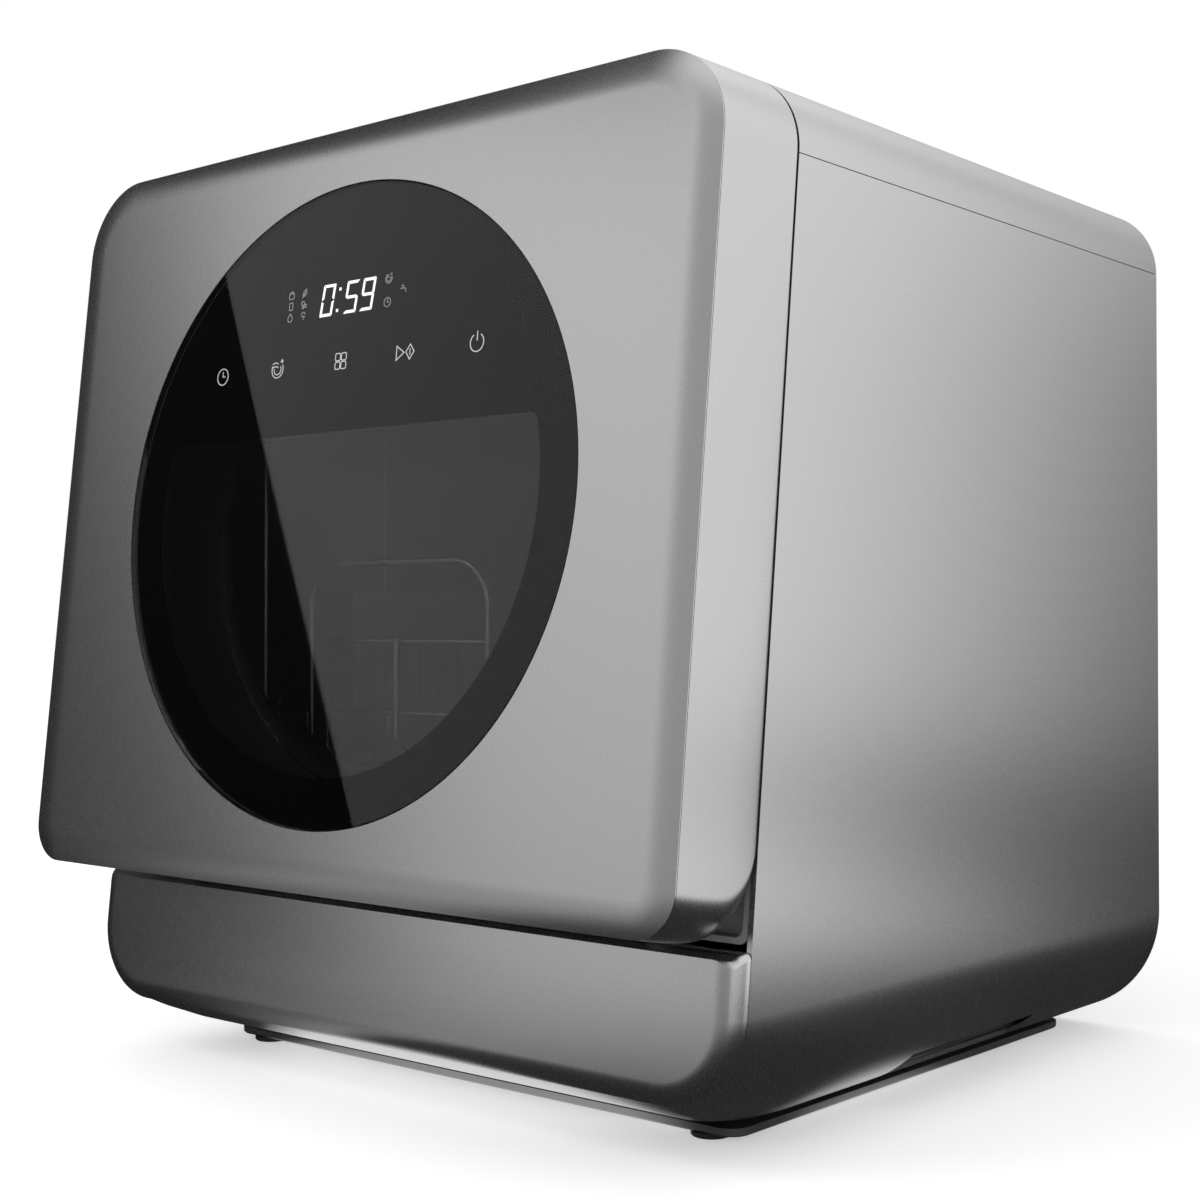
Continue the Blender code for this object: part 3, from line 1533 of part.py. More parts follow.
def fill_cap():
    """A round cap with a hinge barrel at its rear and a raised pull at its front."""
    top = overall_height - fill_sink
    bottom = top - cap_thickness
    radius = fill_rim_radius - fill_rim_wall - cap_running_gap
    profile = (
        (radius, bottom),
        (radius, top - fit_gap),
        (radius - fit_gap, top),
    )
    cap = turned("fill_cap", profile, (fill_x, fill_y, 0.0), sides=round_sides)
    hinge_point = Vector((fill_x, fill_y + cap_hinge_offset, overall_height - cap_hinge_drop))
    half = cap_barrel_width / 2
    low = (fill_x - half, fill_y + radius - overrun, bottom)
    high = (fill_x + half, hinge_point.y, top)
    fuse(cap, block("cap_tab", low, high))
    fuse(cap, rod("cap_barrel", cap_barrel_radius, cap_barrel_width, hinge_point, "X", small_sides))
    stub_length = cap_barrel_width + 2 * cap_stub_length
    fuse(cap, rod("cap_stubs", cap_stub_radius, stub_length, hinge_point, "X", small_sides))
    scoop_y = fill_y - radius
    scoop_low = (fill_x - cap_pull_width / 2, scoop_y - overrun, top - cap_pull_height)
    scoop_high = (fill_x + cap_pull_width / 2, scoop_y + cap_pull_depth, top + overrun)
    cut(cap, block("cap_scoop", scoop_low, scoop_high))
    return finish(cap, "grey_plastic"), hinge_point


# Drying fan

def fan_housing():
    """An open drum behind the tub's vent, with a motor in its front wall and a shaft for the wheel."""
    front = tub_rear_y + fit_gap
    length = fan_rear_y - front
    motor_end = fan_wall + fan_motor_length
    shaft_end = motor_end + fan_hub_length
    profile = (
        (fan_radius + fan_wall, 0.0),
        (fan_radius + fan_wall, length),
        (fan_radius, length),
        (fan_radius, fan_wall),
        (fan_motor_radius, fan_wall),
        (fan_motor_radius, motor_end),
        (fan_shaft_radius, motor_end),
        (fan_shaft_radius, shaft_end),
    )
    housing = turned("fan_housing", profile, (fan_x, front, fan_z), "Y")
    for index in range(fan_intakes):
        angle = 2 * math.pi * index / fan_intakes
        x = fan_x + fan_intake_ring * math.cos(angle)
        z = fan_z + fan_intake_ring * math.sin(angle)
        cut(housing, rod("fan_intake", fan_intake_radius, fan_motor_length, (x, front, z), "Y", tube_sides))
    return finish(housing, "dark_trim")


def fan_wheel():
    """A hub and disc with backward-curved blades, running on the motor's shaft."""
    hub_front = tub_rear_y + fit_gap + fan_wall + fan_motor_length + fan_running_gap
    hub_back = hub_front + fan_hub_length - fan_running_gap
    disc_back = hub_back
    disc_front = disc_back - fan_disc_thickness
    profile = (
        (fan_shaft_radius + fan_running_gap, hub_front),
        (fan_hub_radius, hub_front),
        (fan_hub_radius, disc_front),
        (fan_disc_radius, disc_front),
        (fan_disc_radius, disc_back),
        (fan_shaft_radius + fan_running_gap, disc_back),
    )
    wheel = turned("fan_wheel", profile, (fan_x, 0.0, fan_z), "Y", turned_sides, ring=True)
    form = bmesh.new()
    turn = math.radians(fan_blade_turn_degrees)
    for index in range(fan_blades):
        start = 2 * math.pi * index / fan_blades
        rings = []
        for step in range(fan_blade_steps + 1):
            share = step / fan_blade_steps
            radius = fan_blade_root + (fan_blade_tip - fan_blade_root) * share
            angle = start + turn * share ** 2
            across = Vector((-math.sin(angle), 0.0, math.cos(angle))) * fan_blade_thickness / 2
            middle = Vector((fan_x + radius * math.cos(angle), 0.0, fan_z + radius * math.sin(angle)))
            front = Vector((0.0, hub_front, 0.0))
            back = Vector((0.0, disc_front + fan_disc_thickness / 2, 0.0))
            near, far = middle - across, middle + across
            rings.append([near + front, far + front, far + back, near + back])
        add_loft(form, rings)
    return finish(fuse(wheel, solid("fan_blades", form)), "grey_plastic")


# Door

def door_outline(inset, bottom_z=None):
    bottom = door_bottom if bottom_z is None else bottom_z
    lower, upper = door_bottom_corner - inset, top_corner_radius - inset
    low = (inset - half_width, bottom + inset if bottom_z is None else bottom)
    high = (half_width - inset, overall_height - inset)
    return rounded_rectangle(low, high, (lower, lower, upper, upper))


def door_underside(inset):
    """From the heel at the rear to the crease: distance ahead and height, moved inwards by the inset."""
    radius = heel_radius - inset
    centre_ahead, centre_z = door_gap + heel_radius, door_low + heel_radius
    for step in range(heel_steps + 1):
        angle = math.pi / 2 * (1 - step / heel_steps)
        yield centre_ahead - radius * math.sin(angle), centre_z - radius * math.cos(angle)
    reach = door_crease_ahead - fit_gap - centre_ahead
    for step in range(1, belly_steps + 1):
        share = step / belly_steps
        rise = (door_bottom - door_low) * share ** belly_power
        yield centre_ahead + reach * share, door_low + rise + inset


def door_frame():
    """The door's deep band, open in front and behind, its lower rear edge rounded to clear the cabinet."""
    outer = list(door_underside(0.0))
    inner = list(door_underside(door_wall))
    rings = [on_front(door_outline(0.0, z), ahead) for ahead, z in outer]
    rings += [on_front(door_outline(door_wall, z), ahead) for ahead, z in reversed(inner)]
    rings.append(on_front(door_outline(door_wall, outer[0][1] + door_wall), outer[0][0]))
    frame = loft("door_frame", rings, joined=True)
    for side in (-1, 1):
        cut(frame, hinge_slot(side, "frame_slot"))
    return finish(frame, "silver_shell")


def hinge_slot(side, name):
    """The notch, open to the rear and below, in which the cabinet's hinge tongue swings."""
    half = hinge_slot_width / 2
    reach = hinge_eye_radius + 2 * fit_gap
    outline = (
        (-overrun, door_low - overrun),
        (hinge_ahead + reach, door_low - overrun),
        (hinge_ahead + reach, hinge_z + reach),
        (-overrun, hinge_z + reach),
    )
    return side_prism(side_name(side) + "_" + name, outline, side * (hinge_x - half), side * (hinge_x + half))


def hinge_block(side):
    """A block in the door's heel whose two ears hold the hinge pin."""
    inner = list(door_underside(door_wall + fit_gap))
    back, front = hinge_block_rear_ahead, hinge_block_front_ahead
    low_curve = [(ahead, z) for ahead, z in inner if back < ahead < front]
    outline = [(back, hinge_block_top_z), (back, low_curve[0][1] + heel_radius / 4)]
    outline += low_curve
    outline += [(front, low_curve[-1][1] + overrun / 2), (front, hinge_block_top_z)]
    half = hinge_block_width / 2
    name = "hinge_block_" + side_name(side)
    piece = side_prism(name, outline, side * (hinge_x - half), side * (hinge_x + half))
    cut(piece, hinge_slot(side, "block_slot"))
    bore = rod("block_bore", hinge_pin_radius + hinge_bush_gap, hinge_block_width * 2, hinge_point(side), "X")
    return finish(cut(piece, bore), "grey_plastic")


def hinge_point(side):
    return (side * hinge_x, hinge_y, hinge_z)


def hinge_pin(side):
    pin_length = hinge_block_width - 2 * fit_gap
    pin = rod("hinge_pin_" + side_name(side), hinge_pin_radius, pin_length, hinge_point(side), "X", small_sides)
    return finish(pin, "steel_sheet")


def hinge_bracket(side):
    """A plate on the front frame with a tongue that reaches into the door and ends in an eye."""
    half, tongue = hinge_block_width / 2, hinge_tongue_width / 2
    back = fit_gap - frame_floor_depth
    face = back + hinge_plate_thickness
    plate = (
        (back, hinge_plate_low_z),
        (face, hinge_plate_low_z),
        (face, hinge_plate_high_z),
        (back, hinge_plate_high_z),
    )
    name = "hinge_bracket_" + side_name(side)
    bracket = side_prism(name, plate, side * (hinge_x - half), side * (hinge_x + half))
    root = (back + hinge_plate_thickness / 2, hinge_ahead)
    arm = (
        (root[0], hinge_z - hinge_tongue_half),
        (root[1], hinge_z - hinge_tongue_half),
        (root[1], hinge_z + hinge_tongue_half),
        (root[0], hinge_z + hinge_tongue_half),
    )
    fuse(bracket, side_prism("tongue", arm, side * (hinge_x - tongue), side * (hinge_x + tongue)))
    fuse(bracket, rod("eye", hinge_eye_radius, hinge_tongue_width, hinge_point(side), "X"))
    bore = rod("eye_bore", hinge_pin_radius + hinge_bush_gap, hinge_block_width, hinge_point(side), "X")
    return finish(cut(bracket, bore), "steel_sheet")


def door_front_panel():
    """The pillowed face, with a crisp crease round its edge and a round hole for the glass."""
    rings = [on_front(door_outline(0.0), door_crease_ahead)]
    for inset, height in pillow_profile():
        rings.append(on_front(door_outline(inset), door_crease_ahead + height))
    panel = loft("door_front_panel", rings)
    back, front = door_crease_ahead - overrun, door_face_ahead + overrun
    hole = front_prism("glass_hole", glass_outline(fit_gap), back, front)
    return finish(cut(panel, hole), "silver_shell")


def glass_outline(margin):
    return circle(glass_radius + margin, (0.0, glass_centre_z), glass_sides, math.cos(front_tilt))


def door_glass():
    face = door_face_ahead - glass_sink
    back = face - glass_thickness
    rings = [
        on_front(glass_outline(0.0), back),
        on_front(glass_outline(0.0), face - glass_edge),
        on_front(glass_outline(-glass_edge), face),
    ]
    return finish(loft("door_glass", rings), "black_glass")


def carrier_back():
    return door_face_ahead - glass_sink - glass_thickness - fit_gap - carrier_thickness


def display_outline(margin):
    low = (-display_width / 2 - margin, display_low_z - margin)
    high = (display_width / 2 + margin, display_high_z + margin)
    return rounded_rectangle(low, high, (window_corner,) * 4, 2)


def glass_carrier():
    """The dark ring behind the glass, open at the window and where the display sits."""
    back, face = carrier_back(), carrier_back() + carrier_thickness
    outline = circle(carrier_radius, (0.0, glass_centre_z), glass_sides, math.cos(front_tilt))
    carrier = front_prism("glass_carrier", outline, back, face)
    window = clipped_circle(window_radius, window_top_z, window_corner)
    cut(carrier, front_prism("carrier_window", window, back - overrun, face + overrun))
    cut(carrier, front_prism("carrier_display", display_outline(fit_gap), back - overrun, face + overrun))
    return finish(carrier, "dark_trim")


def display_board():
    back = carrier_back() + fit_gap
    board = front_prism("display_board", display_outline(0.0), back, back + carrier_thickness / 2)
    return finish(board, "circuit_board")


def liner_outline(inset):
    gap = door_wall + seam_gap + inset
    bottom = door_low + heel_radius + door_wall + liner_bottom_rise + inset
    corner = door_bottom_corner - door_wall - inset
    upper = top_corner_radius - gap
    return rounded_rectangle((gap - half_width, bottom), (half_width - gap, overall_height - gap),
                             (corner, corner, upper, upper))


def cup_outline(margin):
    half_x, half_z = cup_width / 2 + margin, cup_height / 2 + margin
    low = (cup_centre_x - half_x, cup_centre_z - half_z)
    high = (cup_centre_x + half_x, cup_centre_z + half_z)
    return rounded_rectangle(low, high, (cup_corner + margin,) * 4, bend_steps)


def door_liner():
    """The tray that closes the door towards the tub, with openings for the window and the detergent cup."""
    plate_face = door_gap + liner_wall
    rings = [
        on_front(liner_outline(liner_wall), plate_face),
        on_front(liner_outline(liner_wall), door_gap + liner_rim),
        on_front(liner_outline(0.0), door_gap + liner_rim),
        on_front(liner_outline(0.0), door_gap),
    ]
    liner = loft("door_liner", rings)
    margin = liner_window_margin
    window = clipped_circle(window_radius + margin, window_top_z + margin, window_corner)
    cut(liner, front_prism("liner_opening", window, -overrun, plate_face + overrun))
    cup_hole = cup_outline(cup_wall + fit_gap)
    cut(liner, front_prism("cup_opening", cup_hole, -overrun, plate_face + overrun))
    return finish(liner, "grey_plastic")


def liner_window():
    """The inner pane, lapping the liner's opening all round."""
    reach = liner_window_margin + inner_pane_lap
    outline = clipped_circle(window_radius + reach, window_top_z + reach, window_corner + inner_pane_lap)
    back = door_gap + liner_wall + fit_gap
    return finish(front_prism("liner_window", outline, back, back + inner_pane_thickness), "clear_pane")


def detergent_cup():
    """A cup let into the liner, with a flange towards the tub and two guides for its sliding lid."""
    seat = door_gap - fit_gap
    face = seat - cup_flange_thickness
    rings = [
        on_front(cup_outline(cup_wall), cup_depth + cup_wall),
        on_front(cup_outline(cup_wall), seat),
        on_front(cup_outline(cup_wall + cup_flange), seat),
        on_front(cup_outline(cup_wall + cup_flange), face),
        on_front(cup_outline(0.0), face),
        on_front(cup_outline(0.0), cup_depth),
    ]
    cup = loft("detergent_cup", rings)
    for side in (-1, 1):
        edge = cup_centre_z + side * (cup_height / 2 + cup_wall + cup_flange / 2)
        low = (lid_low_x() - lid_travel, min(edge, edge + side * cup_flange / 2))
        high = (cup_centre_x + cup_width / 2 + cup_wall, max(edge, edge + side * cup_flange / 2))
        guide = rounded_rectangle(low, high, (fit_gap,) * 4, 1)
        fuse(cup, front_prism("lid_guide", guide, face - lid_guide_height, face + cup_flange_thickness / 2))
    return finish(cup, "grey_plastic")


def lid_low_x():
    return cup_centre_x - cup_width / 2 - cup_wall


def detergent_lid():
    """A flat lid between the cup's guides, with a rib to push it by."""
    face = door_gap - fit_gap - cup_flange_thickness - fit_gap
    half_z = cup_height / 2 + cup_wall + cup_flange / 2 - fit_gap
    low = (lid_low_x(), cup_centre_z - half_z)
    high = (cup_centre_x + cup_width / 2 + cup_wall, cup_centre_z + half_z)
    outline = rounded_rectangle(low, high, (cup_wall,) * 4, 2)
    lid = front_prism("detergent_lid", outline, face - lid_thickness, face)
    rib_low = (cup_centre_x + cup_width / 4, low[1] + cup_flange)
    rib_high = (cup_centre_x + cup_width / 4 + lid_rib_width, high[1] - cup_flange)
    rib = rounded_rectangle(rib_low, rib_high, (fit_gap,) * 4, 1)
    rib_back = face - lid_thickness - lid_rib_height
    fuse(lid, front_prism("lid_rib", rib, rib_back, face - lid_thickness / 2))
    return finish(lid, "grey_plastic")


# Latch

def latch_hook():
    """A hook on the door's liner that enters the slot above the tub."""
    back = door_gap - fit_gap
    foot_z = latch_z + hook_thickness / 2
    outline = (
        (back, foot_z - hook_foot_height / 2),
        (back, foot_z + hook_foot_height / 2),
        (back - hook_foot_thickness, foot_z + hook_foot_height / 2),
        (back - hook_foot_thickness, latch_z + hook_thickness),
        (-hook_reach, latch_z + hook_thickness),
        (-hook_reach, latch_z + hook_thickness / 2),
        (hook_nose - hook_reach, latch_z - hook_nose / 2),
        (2 * hook_nose - hook_reach, latch_z),
        (back - hook_foot_thickness, latch_z),
        (back - hook_foot_thickness, foot_z - hook_foot_height / 2),
    )
    return finish(side_prism("latch_hook", outline, -hook_width / 2, hook_width / 2), "grey_plastic")


def latch_housing():
    """The catch behind the front frame, with the slot that takes the hook."""
    face = tub_front_ahead
    outline = (
        (face, latch_housing_low_z),
        (face, latch_housing_high_z),
        (face - latch_housing_depth, latch_housing_high_z),
        (face - latch_housing_depth, latch_housing_low_z),
    )
    housing = side_prism("latch_housing", outline, -latch_housing_width / 2, latch_housing_width / 2)
    slot = (
        (face + overrun, latch_z - latch_slot_fall),
        (face + overrun, latch_z + latch_slot_rise),
        (-hook_reach - hook_nose, latch_z + latch_slot_rise),
        (-hook_reach - hook_nose, latch_z - latch_slot_fall),
    )
    cut(housing, side_prism("housing_slot", slot, -latch_slot_width / 2, latch_slot_width / 2))
    return finish(housing, "dark_trim")


# Rack, basket and cup shelf

def rail_top_z():
    return rack_floor_z - wire_radius - fit_gap


def tub_side_x(z):
    """Half the tub's inner width at height z, on its rounded lower corners."""
    return tub_half_width - tub_corner + math.sqrt(tub_corner ** 2 - (tub_floor + tub_corner - z) ** 2)


def rack_rail(side):
    """An angle on the tub's wall on which the rack's outer wires slide."""
    top, low = rail_top_z(), rail_low_z
    low_x, high_x = tub_side_x(low) - 2 * fit_gap, tub_side_x(top) - 2 * fit_gap
    front = front_y(rail_low_z, tub_front_ahead) + tub_flange_thickness + rail_front_inset
    back = tub_rear_y - tub_wall - tub_rear_chamfer - rail_rear_gap
    section = (
        (low_x, low),
        (high_x, top),
        (high_x - rail_width, top),
        (high_x - rail_width, top - rail_wall),
        (high_x - rail_wall, top - rail_wall),
        (low_x - rail_wall, low),
    )
    rings = [at_y([(side * x, z) for x, z in section], y) for y in (front, back)]
    return finish(loft("rack_rail_" + side_name(side), rings), "grey_plastic")


def wire_step():
    """How far apart the middles of two crossing wires lie, so that they bite into each other."""
    return wire_radius * (2 - wire_overlap_share)


def rack_upper_floor_z():
    return rack_floor_z + wire_step()


def dish_rack():
    """A wire rack: floor and skids, a rim, a tall hoop in front and two rows of plate tines."""
    floor_z, upper_z, rim_z = rack_floor_z, rack_upper_floor_z(), rack_rim_z
    half, rear, front = rack_half_width, rack_rear_y, rack_front_y
    inner, step = half - wire_step(), wire_step()
    rim = ((-half, front, rim_z), (half, front, rim_z), (half, rear, rim_z), (-half, rear, rim_z))
    paths = [(bent(rim, rack_bend, closed=True), True)]
    for index in range(rack_floor_wires):
        x = (inner - rack_bend / 2) * (2 * index / (rack_floor_wires - 1) - 1)
        corners = (
            (x, front + step, rim_z + wire_radius),
            (x, front + step, rim_z - rack_bend),
            (x, rack_floor_front_y, floor_z),
            (x, rear - step, floor_z),
            (x, rear - step, rim_z + wire_radius),
        )
        paths.append((bent(corners, rack_bend / 2, steps=rack_bend_steps), False))
    for y in rack_cross_wires_y:
        corners = ((-inner, y, rim_z + wire_radius), (-inner, y, upper_z), (inner, y, upper_z))
        corners += ((inner, y, rim_z + wire_radius),)
        paths.append((bent(corners, rack_bend / 2, steps=rack_bend_steps), False))
    hoop_y, hoop_foot_z = front - step, rim_z - rack_bend
    hoop = ((hoop_left, hoop_y, hoop_foot_z), (hoop_left, hoop_y, hoop_top_z))
    hoop += ((hoop_right, hoop_y, hoop_top_z), (hoop_right, hoop_y, hoop_foot_z))
    paths.append((bent(hoop, hoop_bend), False))
    bar = ((hoop_left - wire_radius, front, hoop_bar_z), (hoop_right + wire_radius, front, hoop_bar_z))
    paths.append((bar, False))
    middle_x = (hoop_left + hoop_right) / 2
    paths.append((((middle_x, hoop_y, hoop_foot_z), (middle_x, hoop_y, hoop_bar_z + wire_radius)), False))
    for row_x in tine_rows_x:
        for y in tine_places_y:
            tine = ((row_x - tine_half_width, y, upper_z), (row_x - tine_half_width, y, tine_top_z))
            tine += ((row_x + tine_half_width, y, tine_top_z), (row_x + tine_half_width, y, upper_z))
            paths.append((bent(tine, tine_bend, steps=rack_bend_steps), False))
        for reach in (-tine_half_width - step, tine_half_width + step):
            ends = (tine_rail_front_y, tine_places_y[-1] + 2 * wire_radius)
            paths.append((tuple((row_x + reach, y, upper_z + step) for y in ends), False))
    return finish(wire_frame("dish_rack", paths, wire_radius), "steel_wire")


def cutlery_basket():
    """A slotted basket that stands on the rack's floor behind the hoop."""
    floor_z = rack_upper_floor_z() + wire_radius + fit_gap
    left, right = basket_left, basket_right

    def ring(inset, z, floor_shift=0.0):
        low = (left + inset, basket_front_y + inset + floor_shift)
        high = (right - inset, basket_rear_y - inset + floor_shift)
        return at_z(rounded_rectangle(low, high, (basket_corner - inset,) * 4, 3), z)

    rings = [
        ring(0.0, floor_z, basket_floor_y_shift),
        ring(0.0, rack_rim_z),
        ring(0.0, basket_top_z),
        ring(basket_wall, basket_top_z),
        ring(basket_wall, rack_rim_z),
        ring(basket_wall, floor_z + basket_wall, basket_floor_y_shift),
    ]
    basket = loft("cutlery_basket", rings)
    form = bmesh.new()
    pitch = (right - left - 2 * basket_corner) / basket_slots
    first_y, last_y = basket_front_y - overrun, basket_rear_y + basket_floor_y_shift + overrun
    for index in range(basket_slots):
        centre = left + basket_corner + pitch * (index + 1 / 2)
        low = (centre - basket_slot_width / 2, basket_slot_low_z + basket_corner * 2)
        high = (centre + basket_slot_width / 2, basket_slot_high_z)
        slot = rounded_rectangle(low, high, (basket_slot_width / 2,) * 4, slot_steps)
        add_loft(form, [at_y(slot, first_y), at_y(slot, last_y)])
    return finish(cut(basket, solid("basket_slots", form)), "grey_plastic")


def shelf_hinge():
    return (tub_half_width - side_rib_height - shelf_wall_gap, shelf_z)


def cup_shelf():
    """A wire shelf that folds up against the tub's right wall."""
    hinge_x_place, z = shelf_hinge()
    overlap = shelf_wire_radius * wire_overlap_share
    outer_x = hinge_x_place - shelf_reach
    corners = (
        (hinge_x_place, shelf_front_y, z),
        (outer_x, shelf_front_y, z),
        (outer_x, shelf_rear_y, z),
        (hinge_x_place, shelf_rear_y, z),
    )
    paths = [(bent(corners, shelf_bend, closed=True), True)]
    level = z + 2 * shelf_wire_radius - overlap
    for index in range(shelf_wires):
        y = shelf_front_y + (shelf_rear_y - shelf_front_y) * (index + 1) / (shelf_wires + 1)
        wire = ((outer_x - shelf_wire_radius, y, level), (hinge_x_place - shelf_wire_radius, y, level))
        paths.append((wire, False))
    return finish(wire_frame("cup_shelf", paths, shelf_wire_radius), "steel_wire")


def shelf_strip():
    """A strip on the tub's wall with two clips round the shelf's hinge wire."""
    wall_x = tub_half_width - side_rib_height - fit_gap
    hinge_x_place, z = shelf_hinge()
    low = (wall_x - strip_thickness, shelf_front_y + strip_end_inset, z - strip_height / 2)
    high = (wall_x, shelf_rear_y - strip_end_inset, z + strip_height / 2)
    strip = block("shelf_strip", low, high, fit_gap)
    for y in (shelf_front_y + clip_inset, shelf_rear_y - clip_inset):
        fuse(strip, rod("shelf_clip", clip_radius, clip_width, (hinge_x_place, y, z), "Y", small_sides))
        arm_low = (hinge_x_place, y - clip_width / 2, z - clip_radius / 2)
        arm_high = (wall_x - strip_thickness / 2, y + clip_width / 2, z + clip_radius / 2)
        fuse(strip, block("clip_arm", arm_low, arm_high))
        hole = (hinge_x_place, y, z)
        cut(strip, rod("clip_hole", shelf_wire_radius + fit_gap, clip_width * 2, hole, "Y", small_sides))
    return finish(strip, "grey_plastic")


# Assembly

def clear_scene():
    for piece in list(bpy.data.objects):
        bpy.data.objects.remove(piece)


def build_casing():
    top_cover()
    underbody_pan()
    rear_panel()
    base_plate()
    for side in (-1, 1):
        side_panel(side)
        side_grip(side)
        foot(side, front_foot_y, "foot_front_" + side_name(side))
        foot(side, rear_foot_y, "foot_rear_" + side_name(side))
    lower_front_panel()
    front_frame()
    tub_gasket()
    latch_housing()


def build_tub():
    wash_tub()
    sump()
    filter_plate()
    spray_post()
    heating_element()
    riser_tube()
    shelf_strip()
    for side in (-1, 1):
        rack_rail(side)
        hinge_bracket(side)
    attach(filter_cup(), pivot("filter_pivot", (0.0, sump_front_y, tub_floor)))
    attach(spray_arm(), pivot("spray_pivot", (0.0, sump_rear_y, arm_bottom)))
    attach(cup_shelf(), pivot("shelf_pivot", (shelf_hinge()[0], shelf_front_y, shelf_z)))
    rack_pivot = pivot("rack_slide", (0.0, rack_front_y, rack_floor_z))
    attach(dish_rack(), rack_pivot)
    attach(cutlery_basket(), rack_pivot)


def build_works():
    wash_pump()
    wash_hose()
    drain_pump()
    drain_hose()
    spout("drain_spout", drain_x, drain_spout_radius, drain_spout_bore, "grey_plastic")
    spout("cord_gland", gland_x, gland_radius, gland_bore, "dark_trim")
    inlet_valve()
    control_board()
    water_tank()
    fill_funnel()
    cap, cap_hinge = fill_cap()
    attach(cap, pivot("cap_pivot", cap_hinge))
    fan_housing()
    attach(fan_wheel(), pivot("fan_pivot", (fan_x, tub_rear_y, fan_z)))


def build_door():
    hinge = pivot("door_pivot", (0.0, hinge_y, hinge_z))
    pieces = [door_frame(), door_front_panel(), door_glass(), glass_carrier(), display_board()]
    pieces += [door_liner(), liner_window(), detergent_cup(), latch_hook()]
    for side in (-1, 1):
        pieces += [hinge_block(side), hinge_pin(side)]
    for piece in pieces:
        attach(piece, hinge)
    lid_pivot = pivot("lid_slide", (cup_centre_x, front_y(cup_centre_z), cup_centre_z))
    attach(lid_pivot, hinge)
    attach(detergent_lid(), lid_pivot)


clear_scene()
build_casing()
build_tub()
build_works()
build_door()
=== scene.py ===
import json
import math

import bmesh
import bpy
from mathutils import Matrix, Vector

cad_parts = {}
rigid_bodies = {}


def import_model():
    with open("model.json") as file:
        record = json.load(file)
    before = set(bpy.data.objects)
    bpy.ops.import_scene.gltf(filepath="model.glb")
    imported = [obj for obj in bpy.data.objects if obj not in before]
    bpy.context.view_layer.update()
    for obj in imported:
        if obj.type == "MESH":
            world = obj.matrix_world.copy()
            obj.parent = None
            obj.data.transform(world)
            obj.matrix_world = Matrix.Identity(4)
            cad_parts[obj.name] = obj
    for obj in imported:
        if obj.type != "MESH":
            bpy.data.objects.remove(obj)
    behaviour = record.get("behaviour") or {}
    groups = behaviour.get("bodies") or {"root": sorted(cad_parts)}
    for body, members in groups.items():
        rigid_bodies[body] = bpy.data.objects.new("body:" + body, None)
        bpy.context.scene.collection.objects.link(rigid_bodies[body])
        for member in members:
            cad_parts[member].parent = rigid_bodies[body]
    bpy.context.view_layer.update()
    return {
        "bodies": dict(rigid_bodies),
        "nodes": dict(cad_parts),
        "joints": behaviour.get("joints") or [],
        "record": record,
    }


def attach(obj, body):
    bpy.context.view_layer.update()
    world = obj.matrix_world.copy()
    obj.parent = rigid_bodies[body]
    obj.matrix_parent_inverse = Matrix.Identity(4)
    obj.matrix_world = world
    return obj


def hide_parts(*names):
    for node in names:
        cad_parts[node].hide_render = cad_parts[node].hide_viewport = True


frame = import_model()

# Overall
overall_width = 0.420
overall_height = 0.4553
overall_depth = 0.4347
front_tilt_degrees = 6.0
fit_gap = 0.0003
seam_gap = 0.0004
overrun = 0.002
half_share = 0.5
slot_steps = 5
corner_steps = 20
small_corner_steps = 2
bevel_steps = 1
turned_sides = 72
round_sides = 120
bend_steps = 10
tube_sides = 20
wire_sides = 14
smooth_below_degrees = 35.0

# Casing
casing_wall = 0.0025
top_corner_radius = 0.038
casing_underside = 0.0068
casing_corner_radius = 0.060
front_underside = 0.0283
front_corner_radius = 0.039
underside_sweep_radius = 0.172
sweep_steps = 24
underbody_shares = (-1.0, -0.93, -0.88, 0.0, 0.88, 0.93, 1.0)
rear_panel_setback = 0.0015
rear_panel_wall = 0.002
rear_panel_rim = 0.012

# Base plate, feet and the hand grips in the lower edges
base_plate_width = 0.3352
base_plate_front_y = -0.1185
base_plate_rear_y = 0.186
base_plate_corner = 0.010
base_plate_bottom = 0.0027
base_plate_edge = 0.0008
foot_length = 0.036
foot_width = 0.018
foot_edge = 0.0007
front_foot_y = -0.1008
rear_foot_y = 0.1565
foot_spacing_x = 0.296
foot_steps = 16
grip_front_y = -0.015
grip_rear_y = 0.1145
grip_end_flare = 0.008
grip_height = 0.0254

# Lower front panel
lower_panel_top = 0.0935
lower_panel_proud = 0.008
lower_panel_roll = 0.011
lower_panel_wall = 0.0022
lower_panel_top_corner = 0.003
roll_steps = 12

# Door shell
door_gap = 0.0016
door_crease_ahead = 0.0516
door_bottom = 0.1028
door_bottom_corner = 0.020
door_wall = 0.0025
door_low = 0.0978
heel_radius = 0.018
heel_steps = 14
belly_steps = 10
belly_power = 1.3
pillow_height = 0.0028
pillow_width = 0.0155
pillow_edge = 0.0005
pillow_steps = 14
cad_pillow_steps = 3

# Round glass, its carrier and the display behind it
glass_radius = 0.1487
glass_centre_z = 0.2791
glass_thickness = 0.0031
glass_sink = 0.0001
glass_edge = 0.0004
glass_sides = 200
carrier_radius = 0.154
carrier_thickness = 0.0042
window_radius = 0.126
window_top_z = 0.3118
window_corner = 0.005
display_width = 0.120
display_low_z = 0.335
display_high_z = 0.405

